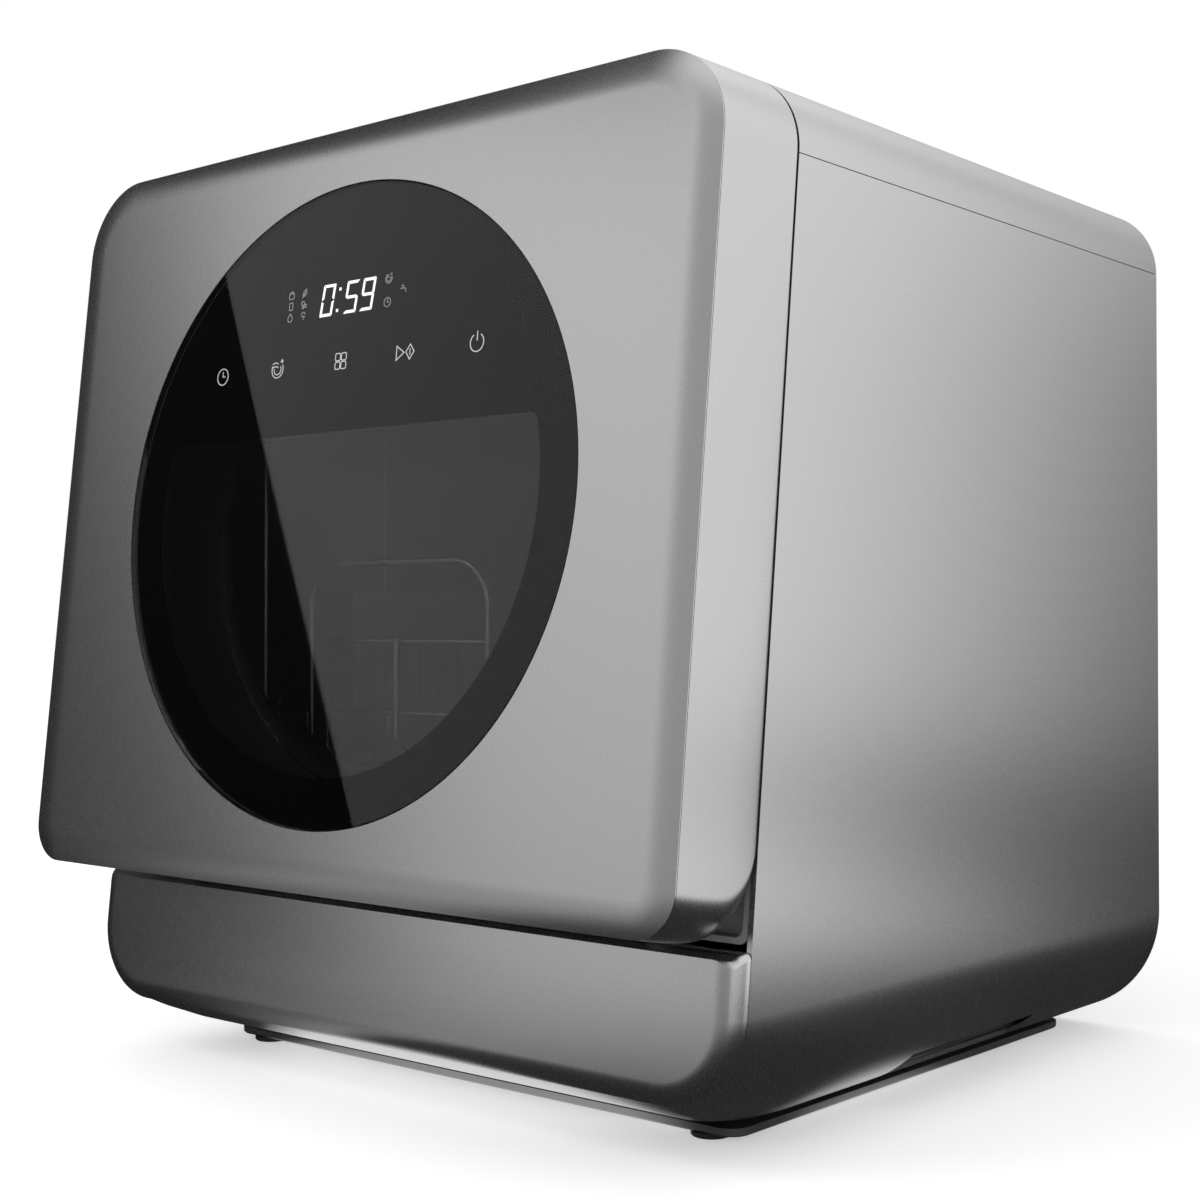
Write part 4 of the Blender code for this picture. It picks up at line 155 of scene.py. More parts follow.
# Door liner, inner window and detergent cup
liner_wall = 0.0022
liner_rim = 0.012
liner_bottom_rise = 0.0004
liner_window_margin = 0.006
inner_pane_lap = 0.006
inner_pane_thickness = 0.003
cup_centre_x = 0.085
cup_centre_z = 0.350
cup_width = 0.062
cup_height = 0.040
cup_depth = 0.022
cup_wall = 0.0015
cup_flange = 0.005
cup_flange_thickness = 0.0012
cup_corner = 0.006
lid_thickness = 0.0022
lid_guide_height = 0.003
lid_travel = 0.045
lid_rib_height = 0.0025
lid_rib_width = 0.003

# Door hinge
hinge_ahead = 0.020
hinge_z = 0.107
hinge_x = 0.157
hinge_slot_width = 0.012
hinge_eye_radius = 0.006

# Front frame and gasket
frame_floor_depth = 0.0065
frame_wall = 0.0025
frame_rim = 0.0025
frame_bottom = 0.096
frame_bottom_corner = 0.004
opening_width = 0.344
opening_bottom = 0.132
opening_top = 0.376
opening_corner = 0.028
gasket_offset = 0.008
gasket_half_width = 0.003
gasket_shoulder = 0.0012

# Wash tub
tub_half_width = 0.174
tub_floor = 0.118
tub_ceiling = 0.380
tub_wall = 0.0016
tub_corner = 0.030
tub_rear_y = 0.158
tub_rear_chamfer = 0.012
tub_flange_thickness = 0.0025
tub_flange_half_width = 0.187
tub_flange_bottom = 0.112
tub_flange_top = 0.392
tub_flange_corner = 0.036
side_rib_height = 0.0008
side_rib_width = 0.003
side_rib_top_z = 0.350
side_rib_places_y = (-0.090, 0.0, 0.090)

# Sump, filter, spray post and spray arm
sump_radius = 0.040
sump_front_y = -0.066
sump_rear_y = 0.0
sump_floor = 0.0905
filter_plate_lap = 0.008
filter_plate_thickness = 0.0014
filter_cup_radius = 0.0255
filter_cup_floor = 0.094
filter_cup_wall = 0.0016
filter_cup_lip = 0.0035
filter_cup_lip_thickness = 0.0014
filter_grip_height = 0.0025
filter_grip_thickness = 0.003
post_radius = 0.0075
post_bore = 0.0045
post_foot_radius = 0.013
post_foot_height = 0.004
post_top = 0.1305
arm_reach = 0.120
arm_bottom = 0.1262
arm_height = 0.0062
arm_root_width = 0.026
arm_tip_width = 0.012
arm_sweep = 0.010
arm_stations = 32
arm_taper_power = 6
arm_hub_radius = 0.015
arm_hub_bottom = 0.1235
arm_hub_top = 0.1335
arm_running_gap = 0.0004
jet_radius = 0.0016
jet_places_shares = (0.40, 0.66, 0.92)

# Heating element, riser tube and its spray head
heater_radius = 0.0032
heater_half_width = 0.078
heater_front_y = -0.124
heater_rear_y = 0.078
heater_bend = 0.030
heater_leg_bend = 0.0045
heater_turn_bend = 0.008
heater_leg_spacing = 0.030
heater_leg_y = 0.104
heater_leg_bottom = 0.106
riser_radius = 0.005
riser_wall_gap = 0.0010
riser_bend = 0.016
riser_foot_z = 0.108
spray_head_radius = 0.020
spray_head_height = 0.010
spray_head_top_share = 0.8
spray_head_y = 0.0

# Rear bay with its water inlet, drain spout and cord gland
bay_left = -0.160
bay_right = -0.055
bay_bottom = 0.030
bay_top = 0.090
bay_depth = 0.026
bay_wall = 0.002
bay_corner = 0.008
spout_z = 0.060
inlet_x = -0.135
drain_x = -0.107
gland_x = -0.079
inlet_radius = 0.011
drain_spout_radius = 0.0085
drain_spout_bore = 0.006
gland_radius = 0.008
gland_bore = 0.0045
spout_stand = 0.020
spout_flange = 0.0035
spout_flange_thickness = 0.002
vent_rows = 7
vent_columns = 2
vent_pitch = 0.011
vent_height = 0.0035
vent_width = 0.042
vent_spacing_x = 0.050

# Water tank, fill funnel and fill cap
tank_top = 0.440
fill_x = 0.100
fill_y = 0.090
fill_rim_radius = 0.036
fill_rim_wall = 0.002
fill_sink = 0.0003
funnel_floor_drop = 0.0129
funnel_lip_drop = 0.0042
neck_radius = 0.013
neck_bore = 0.011
neck_depth = 0.014
cap_thickness = 0.0036
cap_running_gap = 0.0008
cap_pull_width = 0.018
cap_pull_depth = 0.006
cap_pull_height = 0.0016
cap_hinge_offset = 0.0385
cap_hinge_drop = 0.0030
cap_barrel_radius = 0.0022
cap_barrel_width = 0.014
cap_stub_radius = 0.0011
cap_stub_length = 0.0015
cap_pocket_width = 0.0148
cap_pocket_wall = 0.003
cap_pocket_floor = 0.001
cap_pocket_reach = 0.0042
cap_pocket_depth = 0.0065

# Drying fan
fan_x = -0.100
fan_z = 0.320
fan_wall = 0.002
fan_intake_radius = 0.007
fan_intake_ring = 0.024
fan_motor_length = 0.014
fan_shaft_radius = 0.0025
fan_hub_radius = 0.008
fan_hub_length = 0.018
fan_disc_radius = 0.038
fan_disc_thickness = 0.0016
fan_blades = 10
fan_blade_root = 0.016
fan_blade_tip = 0.037
fan_blade_thickness = 0.0014
fan_blade_turn_degrees = 28.0
fan_blade_steps = 8
fan_running_gap = 0.0005

# Latch
latch_z = 0.428
latch_slot_width = 0.014
latch_slot_rise = 0.009
latch_slot_fall = 0.004

# Rack, basket and cup shelf
wire_radius = 0.0017
rail_low_z = 0.1365
rail_width = 0.024
rail_front_inset = 0.004
rail_rear_gap = 0.006
rail_wall = 0.0022
rack_floor_z = 0.1486
rack_half_width = 0.160
rack_floor_front_y = -0.108
rack_front_y = -0.1345
rack_rear_y = 0.128
rack_rim_z = 0.180
rack_bend = 0.012
rack_floor_wires = 6
rack_bend_steps = 6
rack_cross_wires_y = (-0.095, -0.060, 0.010, 0.080)
wire_overlap_share = 0.6
hoop_left = -0.082
hoop_right = 0.041
hoop_top_z = 0.2535
hoop_bar_z = 0.215
hoop_bend = 0.022
tine_top_z = 0.200
tine_half_width = 0.016
tine_bend = 0.010
tine_rows_x = (0.094, -0.094)
tine_places_y = (-0.015, 0.023, 0.061, 0.099)
tine_rail_front_y = -0.065
basket_left = -0.074
basket_right = 0.022
basket_front_y = -0.121
basket_rear_y = -0.073
basket_floor_y_shift = 0.018
basket_top_z = 0.240
basket_wall = 0.0018
basket_corner = 0.008
basket_corner_steps = 3
basket_slots = 6
basket_slot_width = 0.0055
basket_slot_low_z = 0.172
basket_slot_high_z = 0.212
shelf_z = 0.300
shelf_reach = 0.074
shelf_front_y = -0.060
shelf_rear_y = 0.100
shelf_bend = 0.008
shelf_wires = 5
shelf_wall_gap = 0.0078
shelf_wire_radius = 0.0016

# Display and icons
print_gap = 0.00024
print_thickness = 0.0001
digit_width = 0.0084
digit_height = 0.0151
digit_stroke = 0.0014
digit_gap = 0.00022
digit_lean = 0.125
digit_low_z = 0.3664
digit_places = (("0", -0.0205), ("5", -0.0042), ("9", 0.0067))
colon_x = -0.0087
colon_shares = (0.14, 0.80)
touch_icon_z = 0.3443
touch_icon_radius = 0.0040
touch_icon_stroke = 0.00043
mark_radius = 0.0021
mark_stroke = 0.00036
arc_steps = 24
ring_steps = arc_steps - 1
ring_end = 360.0 * ring_steps / arc_steps
box_steps = 3
quarter_turn = 90.0
tap_steps = 4
mitre_limit = 0.35
touch_icon_places = (
    ("clock", -0.0885, touch_icon_z),
    ("steam", -0.0475, touch_icon_z),
    ("grid", -0.0030, touch_icon_z),
    ("start", 0.0395, touch_icon_z),
    ("power", 0.0840, touch_icon_z),
)
mark_places = (
    ("pot", -0.0415, 0.3792),
    ("leaf", -0.0322, 0.3792),
    ("glass", -0.0415, 0.3738),
    ("bubbles", -0.0322, 0.3738),
    ("drop", -0.0415, 0.3684),
    ("spray", -0.0322, 0.3684),
    ("steam", 0.0252, 0.3794),
    ("tap", 0.0352, 0.3739),
    ("clock", 0.0253, 0.3686),
)

# Studio
camera_lens = 56.12
camera_sensor = 36.0
camera_place = (0.6433, -0.7680, 0.2213)
level_degrees = 90.0
camera_pitch_degrees = 0.886
camera_turn_degrees = 40.344
room_light = 0.75
floor_glow = 0.45
floor_size = 12.0
floor_colour = (0.85, 0.85, 0.85, 1.0)
white = (1.0, 1.0, 1.0, 1.0)
light_cover_colour = (0.8, 0.8, 0.8, 1.0)
light_cover_roughness = 0.5
light_strengths = {"lit_digits": 2.6, "lit_icons": 1.3, "lit_marks": 0.5}
key_place = (-1.2, -2.1, 1.5)
key_target = (0.0, 0.0, 0.2)
key_size = 1.6
key_power = 25.0
# The cards and the floor sheet are painted reflections that only gloss shows: bright ones paint highlights,
# dark flags paint shade
card_distance = 2.2
card_centre_z = 0.22
card_steps = 12
sheet_height = 0.0004
sheet_steps = 180
sheet_hole = 0.05
sheet_under = 0.165
sheet_near = 0.19
sheet_near_end = 0.44
sheet_far = 0.64
sheet_under_level = 0.90
# Each card's name, its four corners in azimuth and elevation, and how bright it is at each
cards = (
    ("left_flag", ((-230.0, -6.0), (-130.5, -6.0), (-146.0, 32.0), (-230.0, 32.0)),
     (0.03, 0.03, 0.05, 0.05)),
    ("upper_left_flag", ((-230.0, 32.0), (-122.0, 32.0), (-122.0, 62.0), (-230.0, 62.0)),
     (0.03, 0.03, 0.03, 0.03)),
    ("front_left_softbox", ((-130.5, -6.0), (-112.0, -6.0), (-112.0, 32.0), (-146.0, 32.0)),
     (0.68, 0.68, 0.92, 0.92)),
    ("front_card", ((-112.0, -6.0), (-70.0, -6.0), (-70.0, 40.0), (-112.0, 40.0)),
     (0.42, 0.42, 0.46, 0.46)),
    ("right_card", ((44.0, -6.0), (64.0, -6.0), (68.0, 10.0), (46.3, 10.0)),
     (1.35, 0.02, 0.03, 1.22)),
    ("upper_right_card", ((46.3, 10.0), (68.0, 10.0), (84.0, 50.0), (52.0, 50.0)),
     (1.22, 0.03, 0.80, 1.30)),
    ("right_flag", ((64.0, -6.0), (130.0, -6.0), (130.0, 10.0), (68.0, 10.0)),
     (0.02, 0.02, 0.03, 0.04)),
    ("high_right_card", ((68.0, 10.0), (130.0, 10.0), (130.0, 55.0), (84.0, 55.0)),
     (0.04, 0.20, 1.25, 1.25)),
)
# Painted floor reflection: how bright it is near the machine and further out, by azimuth, darker near it as
# painted shade
sheet_levels = (
    (-60.0, 0.03, 0.10), (-40.0, 0.03, 0.05), (-12.0, 0.03, 0.10), (8.0, 0.04, 1.20), (20.0, 0.04, 1.40),
    (35.0, 0.03, 0.95), (50.0, 0.03, 0.12), (60.0, 0.02, 0.02), (70.0, 0.02, 0.04), (208.0, 0.02, 0.02),
    (213.0, 0.02, 0.02), (219.0, 0.02, 0.04), (223.0, 0.02, 0.10), (227.0, 0.03, 0.19), (231.0, 0.05, 0.31),
    (241.0, 0.14, 0.45), (252.0, 0.30, 0.48), (262.0, 0.04, 0.20), (300.0, 0.03, 0.10),
)

# Worked out from the sizes above
half_width = overall_width / 2
rear_y = overall_depth / 2
front_tilt = math.radians(front_tilt_degrees)
front_slope = math.tan(front_tilt)
door_face_ahead = door_crease_ahead + pillow_height
cover_seam_z = overall_height - top_corner_radius
front_rise = front_underside - casing_underside
sweep_reach = math.sqrt(2 * underside_sweep_radius * front_rise - front_rise ** 2)
trim_joint_x = half_width - front_corner_radius


def pillow_profile(steps):
    """Inset from the door's edge and height above the crease, from the crease to the flat face."""
    for step in range(steps + 1):
        run = step / steps
        yield pillow_width * run, pillow_edge + (pillow_height - pillow_edge) * (1 - (1 - run) ** 2)


# The door's face reaches furthest forward just above its lower edge
face_reach = max(
    door_crease_ahead + height - front_slope * (door_bottom + inset)
    for inset, height in pillow_profile(cad_pillow_steps)
)
seam_foot_y = face_reach - rear_y


def front_y(z, ahead=0.0):
    """Y of the casing's leaning front edge at height z, or of a plane so far ahead of it."""
    return seam_foot_y + front_slope * z - ahead


rim_y = front_y(front_underside)
sweep_end_y = rim_y + sweep_reach
frame_back_ahead = -(frame_floor_depth + frame_wall)
tub_front_ahead = frame_back_ahead - fit_gap
tub_outer_floor = tub_floor - tub_wall
rear_panel_inner_y = rear_y - rear_panel_setback - rear_panel_wall


def combine(piece, helpers, operation):
    """Cut the helpers away from a piece, or join them on."""
    for helper in helpers:
        modifier = piece.modifiers.new(operation.lower(), "BOOLEAN")
        modifier.operation = operation
        modifier.solver = "EXACT"
        modifier.object = helper
    return piece


def cut(piece, *helpers):
    return combine(piece, helpers, "DIFFERENCE")


def fuse(piece, *helpers):
    return combine(piece, helpers, "UNION")


def wire_frame(name, paths, radius):
    """Crossing wires as one piece. A path is (points, closed)."""
    form = bmesh.new()
    for points, closed in paths:
        add_tube(form, points, radius, closed, wire_sides)
    return solid(name, form)


axis_rotations = {
    "X": (0.0, math.pi / 2, 0.0),
    "Y": (-math.pi / 2, 0.0, 0.0),
    "Z": (0.0, 0.0, 0.0),
}


def rounded_rectangle(low, high, radii, steps=corner_steps):
    """Corner radii run anticlockwise from the low corner."""
    (left, bottom), (right, top) = low, high
    places = ((left, bottom), (right, bottom), (right, top), (left, top))
    points = []
    for turn, ((x, z), radius) in enumerate(zip(places, radii)):
        centre_x = x + radius if x == left else x - radius
        centre_z = z + radius if z == bottom else z - radius
        for step in range(steps + 1):
            angle = math.pi * (1 + turn / 2) + math.pi / 2 * step / steps
            points.append((centre_x + radius * math.cos(angle), centre_z + radius * math.sin(angle)))
    return points


def circle(radius, centre=(0.0, 0.0), sides=turned_sides, flatten=1.0):
    """Points round a circle. It is flattened where it is to look round on the leaning front."""
    angles = [2 * math.pi * side / sides for side in range(sides)]
    return [
        (centre[0] + radius * math.cos(angle), centre[1] + flatten * radius * math.sin(angle))
        for angle in angles
    ]


def stadium(centre_x, first_y, last_y, radius, steps=foot_steps):
    """Two half circles about first_y and last_y, joined by straight sides."""
    points = []
    for centre_y, start in ((last_y, 0.0), (first_y, math.pi)):
        for step in range(steps + 1):
            angle = start + math.pi * step / steps
            points.append((centre_x + radius * math.cos(angle), centre_y + radius * math.sin(angle)))
    return points


def clipped_circle(radius, top_z, corner, sides=glass_sides):
    """The glass circle's lower part, below a level edge at top_z, with rounded upper corners."""
    rise = (top_z - glass_centre_z) / math.cos(front_tilt)
    corner_rise = rise - corner
    corner_run = math.sqrt((radius - corner) ** 2 - corner_rise ** 2)
    start = math.atan2(corner_rise, corner_run)
    sweep = math.pi + 2 * start
    points = []
    for step in range(sides // 2 + 1):
        angle = math.pi - start + sweep * step / (sides // 2)
        points.append((radius * math.cos(angle), radius * math.sin(angle)))
    for side, first, last in ((1, start, math.pi / 2), (-1, math.pi / 2, math.pi - start)):
        for step in range(1 if side > 0 else 0, bend_steps + (1 if side > 0 else 0)):
            angle = first + (last - first) * step / bend_steps
            across, up = corner * math.cos(angle), corner * math.sin(angle)
            points.append((side * corner_run + across, corner_rise + up))
    return [(x, glass_centre_z + z * math.cos(front_tilt)) for x, z in points]


def on_front(outline, ahead):
    """Lay an outline, given in X and Z, on the leaning front or on a plane so far ahead of it."""
    return [(x, front_y(z, ahead), z) for x, z in outline]


def at_y(outline, y):
    return [(x, y, z) for x, z in outline]


def at_z(outline, z):
    return [(x, y, z) for x, y in outline]


def smooth(mesh):
    """Shade a mesh smooth between its sharp edges."""
    mesh.shade_smooth()
    mesh.set_sharp_from_angle(angle=math.radians(smooth_below_degrees))


def solid(name, form, location=(0.0, 0.0, 0.0), rotation=(0.0, 0.0, 0.0)):
    """Turn a bmesh into an object whose faces point outwards."""
    bmesh.ops.recalc_face_normals(form, faces=form.faces)
    mesh = bpy.data.meshes.new(name)
    form.to_mesh(mesh)
    form.free()
    smooth(mesh)
    piece = bpy.data.objects.new(name, mesh)
    piece.location = location
    piece.rotation_euler = rotation
    bpy.context.scene.collection.objects.link(piece)
    return piece


def add_loft(form, rings, joined=False):
    """Skin a row of rings. A joined row closes on itself; the others end in flat caps."""
    loops = [[form.verts.new(point) for point in ring] for ring in rings]
    followers = loops[1:] + loops[:1] if joined else loops[1:]
    for first, second in zip(loops, followers):
        for index in range(len(first)):
            after = (index + 1) % len(first)
            form.faces.new((first[index], first[after], second[after], second[index]))
    if not joined:
        form.faces.new(loops[0])
        form.faces.new(loops[-1])


def loft(name, rings, joined=False):
    form = bmesh.new()
    add_loft(form, rings, joined)
    return solid(name, form)


def front_prism(name, outline, back_ahead, face_ahead):
    return loft(name, [on_front(outline, back_ahead), on_front(outline, face_ahead)])


def x_prism(name, outline, first_x, last_x):
    """A prism along X whose outline is given in Y and Z."""
    return loft(name, [[(x, y, z) for y, z in outline] for x in (first_x, last_x)])


def side_prism(name, outline, first_x, last_x):
    """A prism along X whose outline is given as distance ahead of the seam, and height."""
    return x_prism(name, [(front_y(z, ahead), z) for ahead, z in outline], first_x, last_x)


def turned(name, profile, centre, axis="Z", sides=turned_sides, ring=False):
    """Turn (radius, height) points about an axis through centre. A ring keeps its middle open."""
    form = bmesh.new()
    add_loft(form, [at_z(circle(radius, sides=sides), height) for radius, height in profile], ring)
    return solid(name, form, centre, axis_rotations[axis])


def rod(name, radius, length, centre, axis="Z", sides=turned_sides):
    """A plain round bar, centred on its length."""
    return turned(name, ((radius, -length / 2), (radius, length / 2)), centre, axis, sides)


def block(name, low, high, edge=0.0):
    form = bmesh.new()
    bmesh.ops.create_cube(form, size=1.0)
    low, high = Vector(low), Vector(high)
    size = high - low
    for vertex in form.verts:
        vertex.co = (low + high) / 2 + Vector(a * b for a, b in zip(vertex.co, size))
    if edge:
        bmesh.ops.bevel(form, geom=form.edges[:], offset=edge, segments=1, affect="EDGES")
    return solid(name, form)


def bent(corners, radius, closed=False, steps=bend_steps):
    """A path through the corners, each turned into an arc, with one radius for all or one for each."""
    corners = [Vector(corner) for corner in corners]
    if closed:
        triples = [(corners[i - 1], corners[i], corners[(i + 1) % len(corners)]) for i in range(len(corners))]
    else:
        triples = list(zip(corners, corners[1:], corners[2:]))
    radii = radius if isinstance(radius, tuple) else (radius,) * len(triples)
    path = [] if closed else [corners[0]]
    for (before, corner, after), radius in zip(triples, radii):
        inward = (before - corner).normalized()
        outward = (after - corner).normalized()
        half_angle = inward.angle(outward) / 2
        centre = corner + (inward + outward).normalized() * radius / math.sin(half_angle)
        first = (corner + inward * radius / math.tan(half_angle) - centre).normalized()
        last = (corner + outward * radius / math.tan(half_angle) - centre).normalized()
        path += [centre + first.slerp(last, step / steps) * radius for step in range(steps + 1)]
    return path if closed else path + [corners[-1]]


def add_tube(form, path, radius, closed=False, sides=tube_sides):
    """A round tube along a path, its rings carried along without twisting."""
    path = [Vector(point) for point in path]
    count = len(path)
    tangents = []
    for index in range(count):
        before = path[index - 1] if closed or index else path[0]
        after = path[(index + 1) % count] if closed or index < count - 1 else path[-1]
        tangents.append((after - before).normalized())
    side = tangents[0].orthogonal().normalized()
    rings = []
    for point, tangent in zip(path, tangents):
        side = (side - tangent * side.dot(tangent)).normalized()
        other = tangent.cross(side)
        rings.append([point + (side * x + other * y) for x, y in circle(radius, sides=sides)])
    add_loft(form, rings, joined=closed)


def tube(name, path, radius, closed=False, sides=tube_sides):
    form = bmesh.new()
    add_tube(form, path, radius, closed, sides)
    return solid(name, form)


def side_name(side):
    return "left" if side < 0 else "right"


def underside_at(y):
    """Height of the casing's underside and radius of its lower corners, at depth y."""
    run = min(max(sweep_end_y - y, 0.0), sweep_reach)
    rise = underside_sweep_radius - math.sqrt(underside_sweep_radius ** 2 - run ** 2)
    radius = casing_corner_radius + (front_corner_radius - casing_corner_radius) * rise / front_rise
    return casing_underside + rise, radius


def casing_stations():
    sweep = [rim_y + sweep_reach * step / sweep_steps for step in range(sweep_steps + 1)]
    return sweep + [rear_y]


def casing_y(station_y, z):
    """A station follows the leaning front edge at the front and stands upright at the rear."""
    lean = (rear_y - station_y) / (rear_y - rim_y)
    return station_y + front_slope * (z - front_underside) * lean


def side_panel(side):
    """One side, from the seam below the top cover round the lower corner to the trim joint."""
    rings = []
    for station_y in casing_stations():
        underside, radius = underside_at(station_y)
        centre_x, centre_z = half_width - radius, underside + radius
        section = [(half_width, cover_seam_z - seam_gap)]
        end = math.acos((trim_joint_x - centre_x) / radius)
        for step in range(corner_steps + 1):
            angle = end * step / corner_steps
            section.append((centre_x + radius * math.cos(angle), centre_z - radius * math.sin(angle)))
        inner = radius - casing_wall
        end = math.acos((trim_joint_x - centre_x) / inner)
        for step in range(corner_steps, -1, -1):
            angle = end * step / corner_steps
            section.append((centre_x + inner * math.cos(angle), centre_z - inner * math.sin(angle)))
        section.append((half_width - casing_wall, cover_seam_z - seam_gap))
        rings.append([(side * x, casing_y(station_y, z), z) for x, z in section])
    panel = loft(side_name(side) + "_side_panel", rings)
    low_z, high_z = -overrun, grip_height
    outline = (
        (grip_front_y - grip_end_flare, low_z),
        (grip_rear_y + grip_end_flare, low_z),
        (grip_rear_y, high_z),
        (grip_front_y, high_z),
    )
    notch_name = side_name(side) + "_grip_notch"
    notch = x_prism(notch_name, outline, side * (trim_joint_x - overrun), side * half_width)
    return finish(cut(panel, notch), "silver_shell")


def top_cover():
    sections = []
    for radius in (top_corner_radius, top_corner_radius - casing_wall):
        arc = []
        for step in range(corner_steps + 1):
            angle = math.pi / 2 * step / corner_steps
            x = half_width - top_corner_radius + radius * math.cos(angle)
            arc.append((x, cover_seam_z + radius * math.sin(angle)))
        sections.append(arc + [(-x, z) for x, z in reversed(arc)])
    section = sections[0] + sections[1][::-1]
    cover = loft("top_cover", [on_front(section, 0.0), at_y(section, rear_y)])
    hole_centre = (fill_x, fill_y, overall_height)
    hole = rod("fill_hole", fill_rim_radius + fit_gap, top_corner_radius, hole_centre, sides=round_sides)
    cut(cover, hole, cap_pocket_block("cap_pocket_hole", fit_gap, -overrun))
    return finish(cover, "silver_shell")


def underbody_pan():
    """The casing's underside between the two trim joints, swept up at the front."""
    edge = trim_joint_x - fit_gap
    places = [edge * share for share in underbody_shares]
    rings = []
    for station_y in casing_stations():
        underside, radius = underside_at(station_y)
        section = []
        for x in places:
            past = max(abs(x) - (half_width - radius), 0.0)
            section.append((x, underside + radius - math.sqrt(radius ** 2 - past ** 2)))
        section += [(x, z + casing_wall) for x, z in reversed(section)]
        rings.append([(x, casing_y(station_y, z), z) for x, z in section])
    return finish(loft("underbody_pan", rings), "silver_shell")


def casing_inside(inset):
    """Outline just inside the casing, behind the swept front."""
    gap = casing_wall + inset
    lower, upper = casing_corner_radius - gap, top_corner_radius - gap
    low = (gap - half_width, casing_underside + gap)
    return rounded_rectangle(low, (half_width - gap, overall_height - gap), (lower, lower, upper, upper))


def bay_outline(inset):
    low = (bay_left + inset, bay_bottom + inset)
    corner = bay_corner - inset
    return rounded_rectangle(low, (bay_right - inset, bay_top - inset), (corner,) * 4, foot_steps // 2)


def rear_panel():
    """A tray that closes the casing at the back, with vents and a recessed bay for the connections."""
    face_y = rear_y - rear_panel_setback
    rim_front_y = face_y - rear_panel_rim
    outer, inner = casing_inside(seam_gap), casing_inside(seam_gap + rear_panel_wall)
    tray = [
        at_y(inner, rear_panel_inner_y),
        at_y(inner, rim_front_y),
        at_y(outer, rim_front_y),
        at_y(outer, face_y),
    ]
    panel = loft("rear_panel", tray)
    bay_floor_y = rear_panel_inner_y - bay_depth
    hole = loft("bay_hole", [at_y(bay_outline(bay_wall / 2), y) for y in (bay_floor_y, face_y + overrun)])
    bay = loft(
        "bay_walls",
        [
            at_y(bay_outline(0.0), bay_floor_y - bay_wall),
            at_y(bay_outline(0.0), face_y - rear_panel_wall / 2),
            at_y(bay_outline(bay_wall), face_y - rear_panel_wall / 2),
            at_y(bay_outline(bay_wall), bay_floor_y),
        ],
    )
    cut(panel, hole)
    fuse(panel, bay)
    for x, radius in ((inlet_x, inlet_radius), (drain_x, drain_spout_radius), (gland_x, gland_radius)):
        cut(panel, rod("spout_hole", radius + fit_gap, bay_depth, (x, bay_floor_y, spout_z), "Y"))
    return finish(cut(panel, vent_slots(face_y)), "dark_trim")


def vent_slots(face_y):
    """Rows of level slots over the drying fan."""
    form = bmesh.new()
    for column in range(vent_columns):
        centre_x = fan_x + vent_spacing_x * (column - (vent_columns - 1) / 2)
        for row in range(vent_rows):
            centre_z = fan_z + vent_pitch * (row - (vent_rows - 1) / 2)
            low = (centre_x - vent_width / 2, centre_z - vent_height / 2)
            high = (centre_x + vent_width / 2, centre_z + vent_height / 2)
            slot = rounded_rectangle(low, high, (vent_height / 2,) * 4, slot_steps)
            add_loft(form, [at_y(slot, rear_panel_inner_y - overrun), at_y(slot, face_y + overrun)])
    return solid("vent_slots", form)


def base_plate():
    half = base_plate_width / 2
    top = casing_underside - fit_gap
    rings = []
    for z, inset in (
        (base_plate_bottom, base_plate_edge),
        (base_plate_bottom + base_plate_edge, 0.0),
        (top, 0.0),
    ):
        low = (inset - half, base_plate_front_y + inset)
        high = (half - inset, base_plate_rear_y - inset)
        rings.append(at_z(rounded_rectangle(low, high, (base_plate_corner - inset,) * 4), z))
    return finish(loft("base_plate", rings), "grey_base")


def foot(side, centre_y, name):
    """A rubber pad with round ends, seated under the base plate."""
    reach = (foot_length - foot_width) / 2
    rings = []
    for z, radius in (
        (0.0, foot_width / 2 - foot_edge),
        (foot_edge, foot_width / 2),
        (base_plate_bottom - fit_gap, foot_width / 2),
    ):
        centre_x = side * foot_spacing_x / 2
        rings.append(at_z(stadium(centre_x, centre_y - reach, centre_y + reach, radius), z))
    return finish(loft(name, rings), "rubber")


def lower_panel_ring(inset, ahead, top_inset):
    corner = front_corner_radius - inset
    radii = (corner, corner, lower_panel_top_corner, lower_panel_top_corner)
    low = (inset - half_width, front_underside + inset)
    return on_front(rounded_rectangle(low, (half_width - inset, lower_panel_top - top_inset), radii), ahead)


def lower_front_panel():
    """The shell below the door, its edge rolled back to the casing."""
    outer = []
    for step in range(roll_steps + 1):
        angle = math.pi / 2 * step / roll_steps
        inset = lower_panel_roll * (1 - math.cos(angle))
        ahead = seam_gap + (lower_panel_proud - seam_gap) * math.sin(angle)
        outer.append((inset, ahead, min(inset, lower_panel_top_corner)))
    inner = []
    for inset, ahead, top_inset in reversed(outer):
        back = max(ahead - lower_panel_wall, seam_gap)
        inner.append((inset + lower_panel_wall, back, top_inset + lower_panel_wall))
    rings = [lower_panel_ring(*place) for place in outer[::-1]]
    rings += [lower_panel_ring(*place) for place in inner[::-1]]
    return finish(loft("lower_front_panel", rings), "silver_shell")


def frame_outline(inset):
    gap = casing_wall + seam_gap + inset
    low = (gap - half_width, frame_bottom + inset)
    lower, upper = frame_bottom_corner, top_corner_radius - gap
    return rounded_rectangle(low, (half_width - gap, overall_height - gap), (lower, lower, upper, upper))


def opening_outline(margin=0.0):
    """The mouth of the tub, drawn larger by the margin."""
    half = opening_width / 2 + margin
    low, high = (-half, opening_bottom - margin), (half, opening_top + margin)
    return rounded_rectangle(low, high, (opening_corner + margin,) * 4)


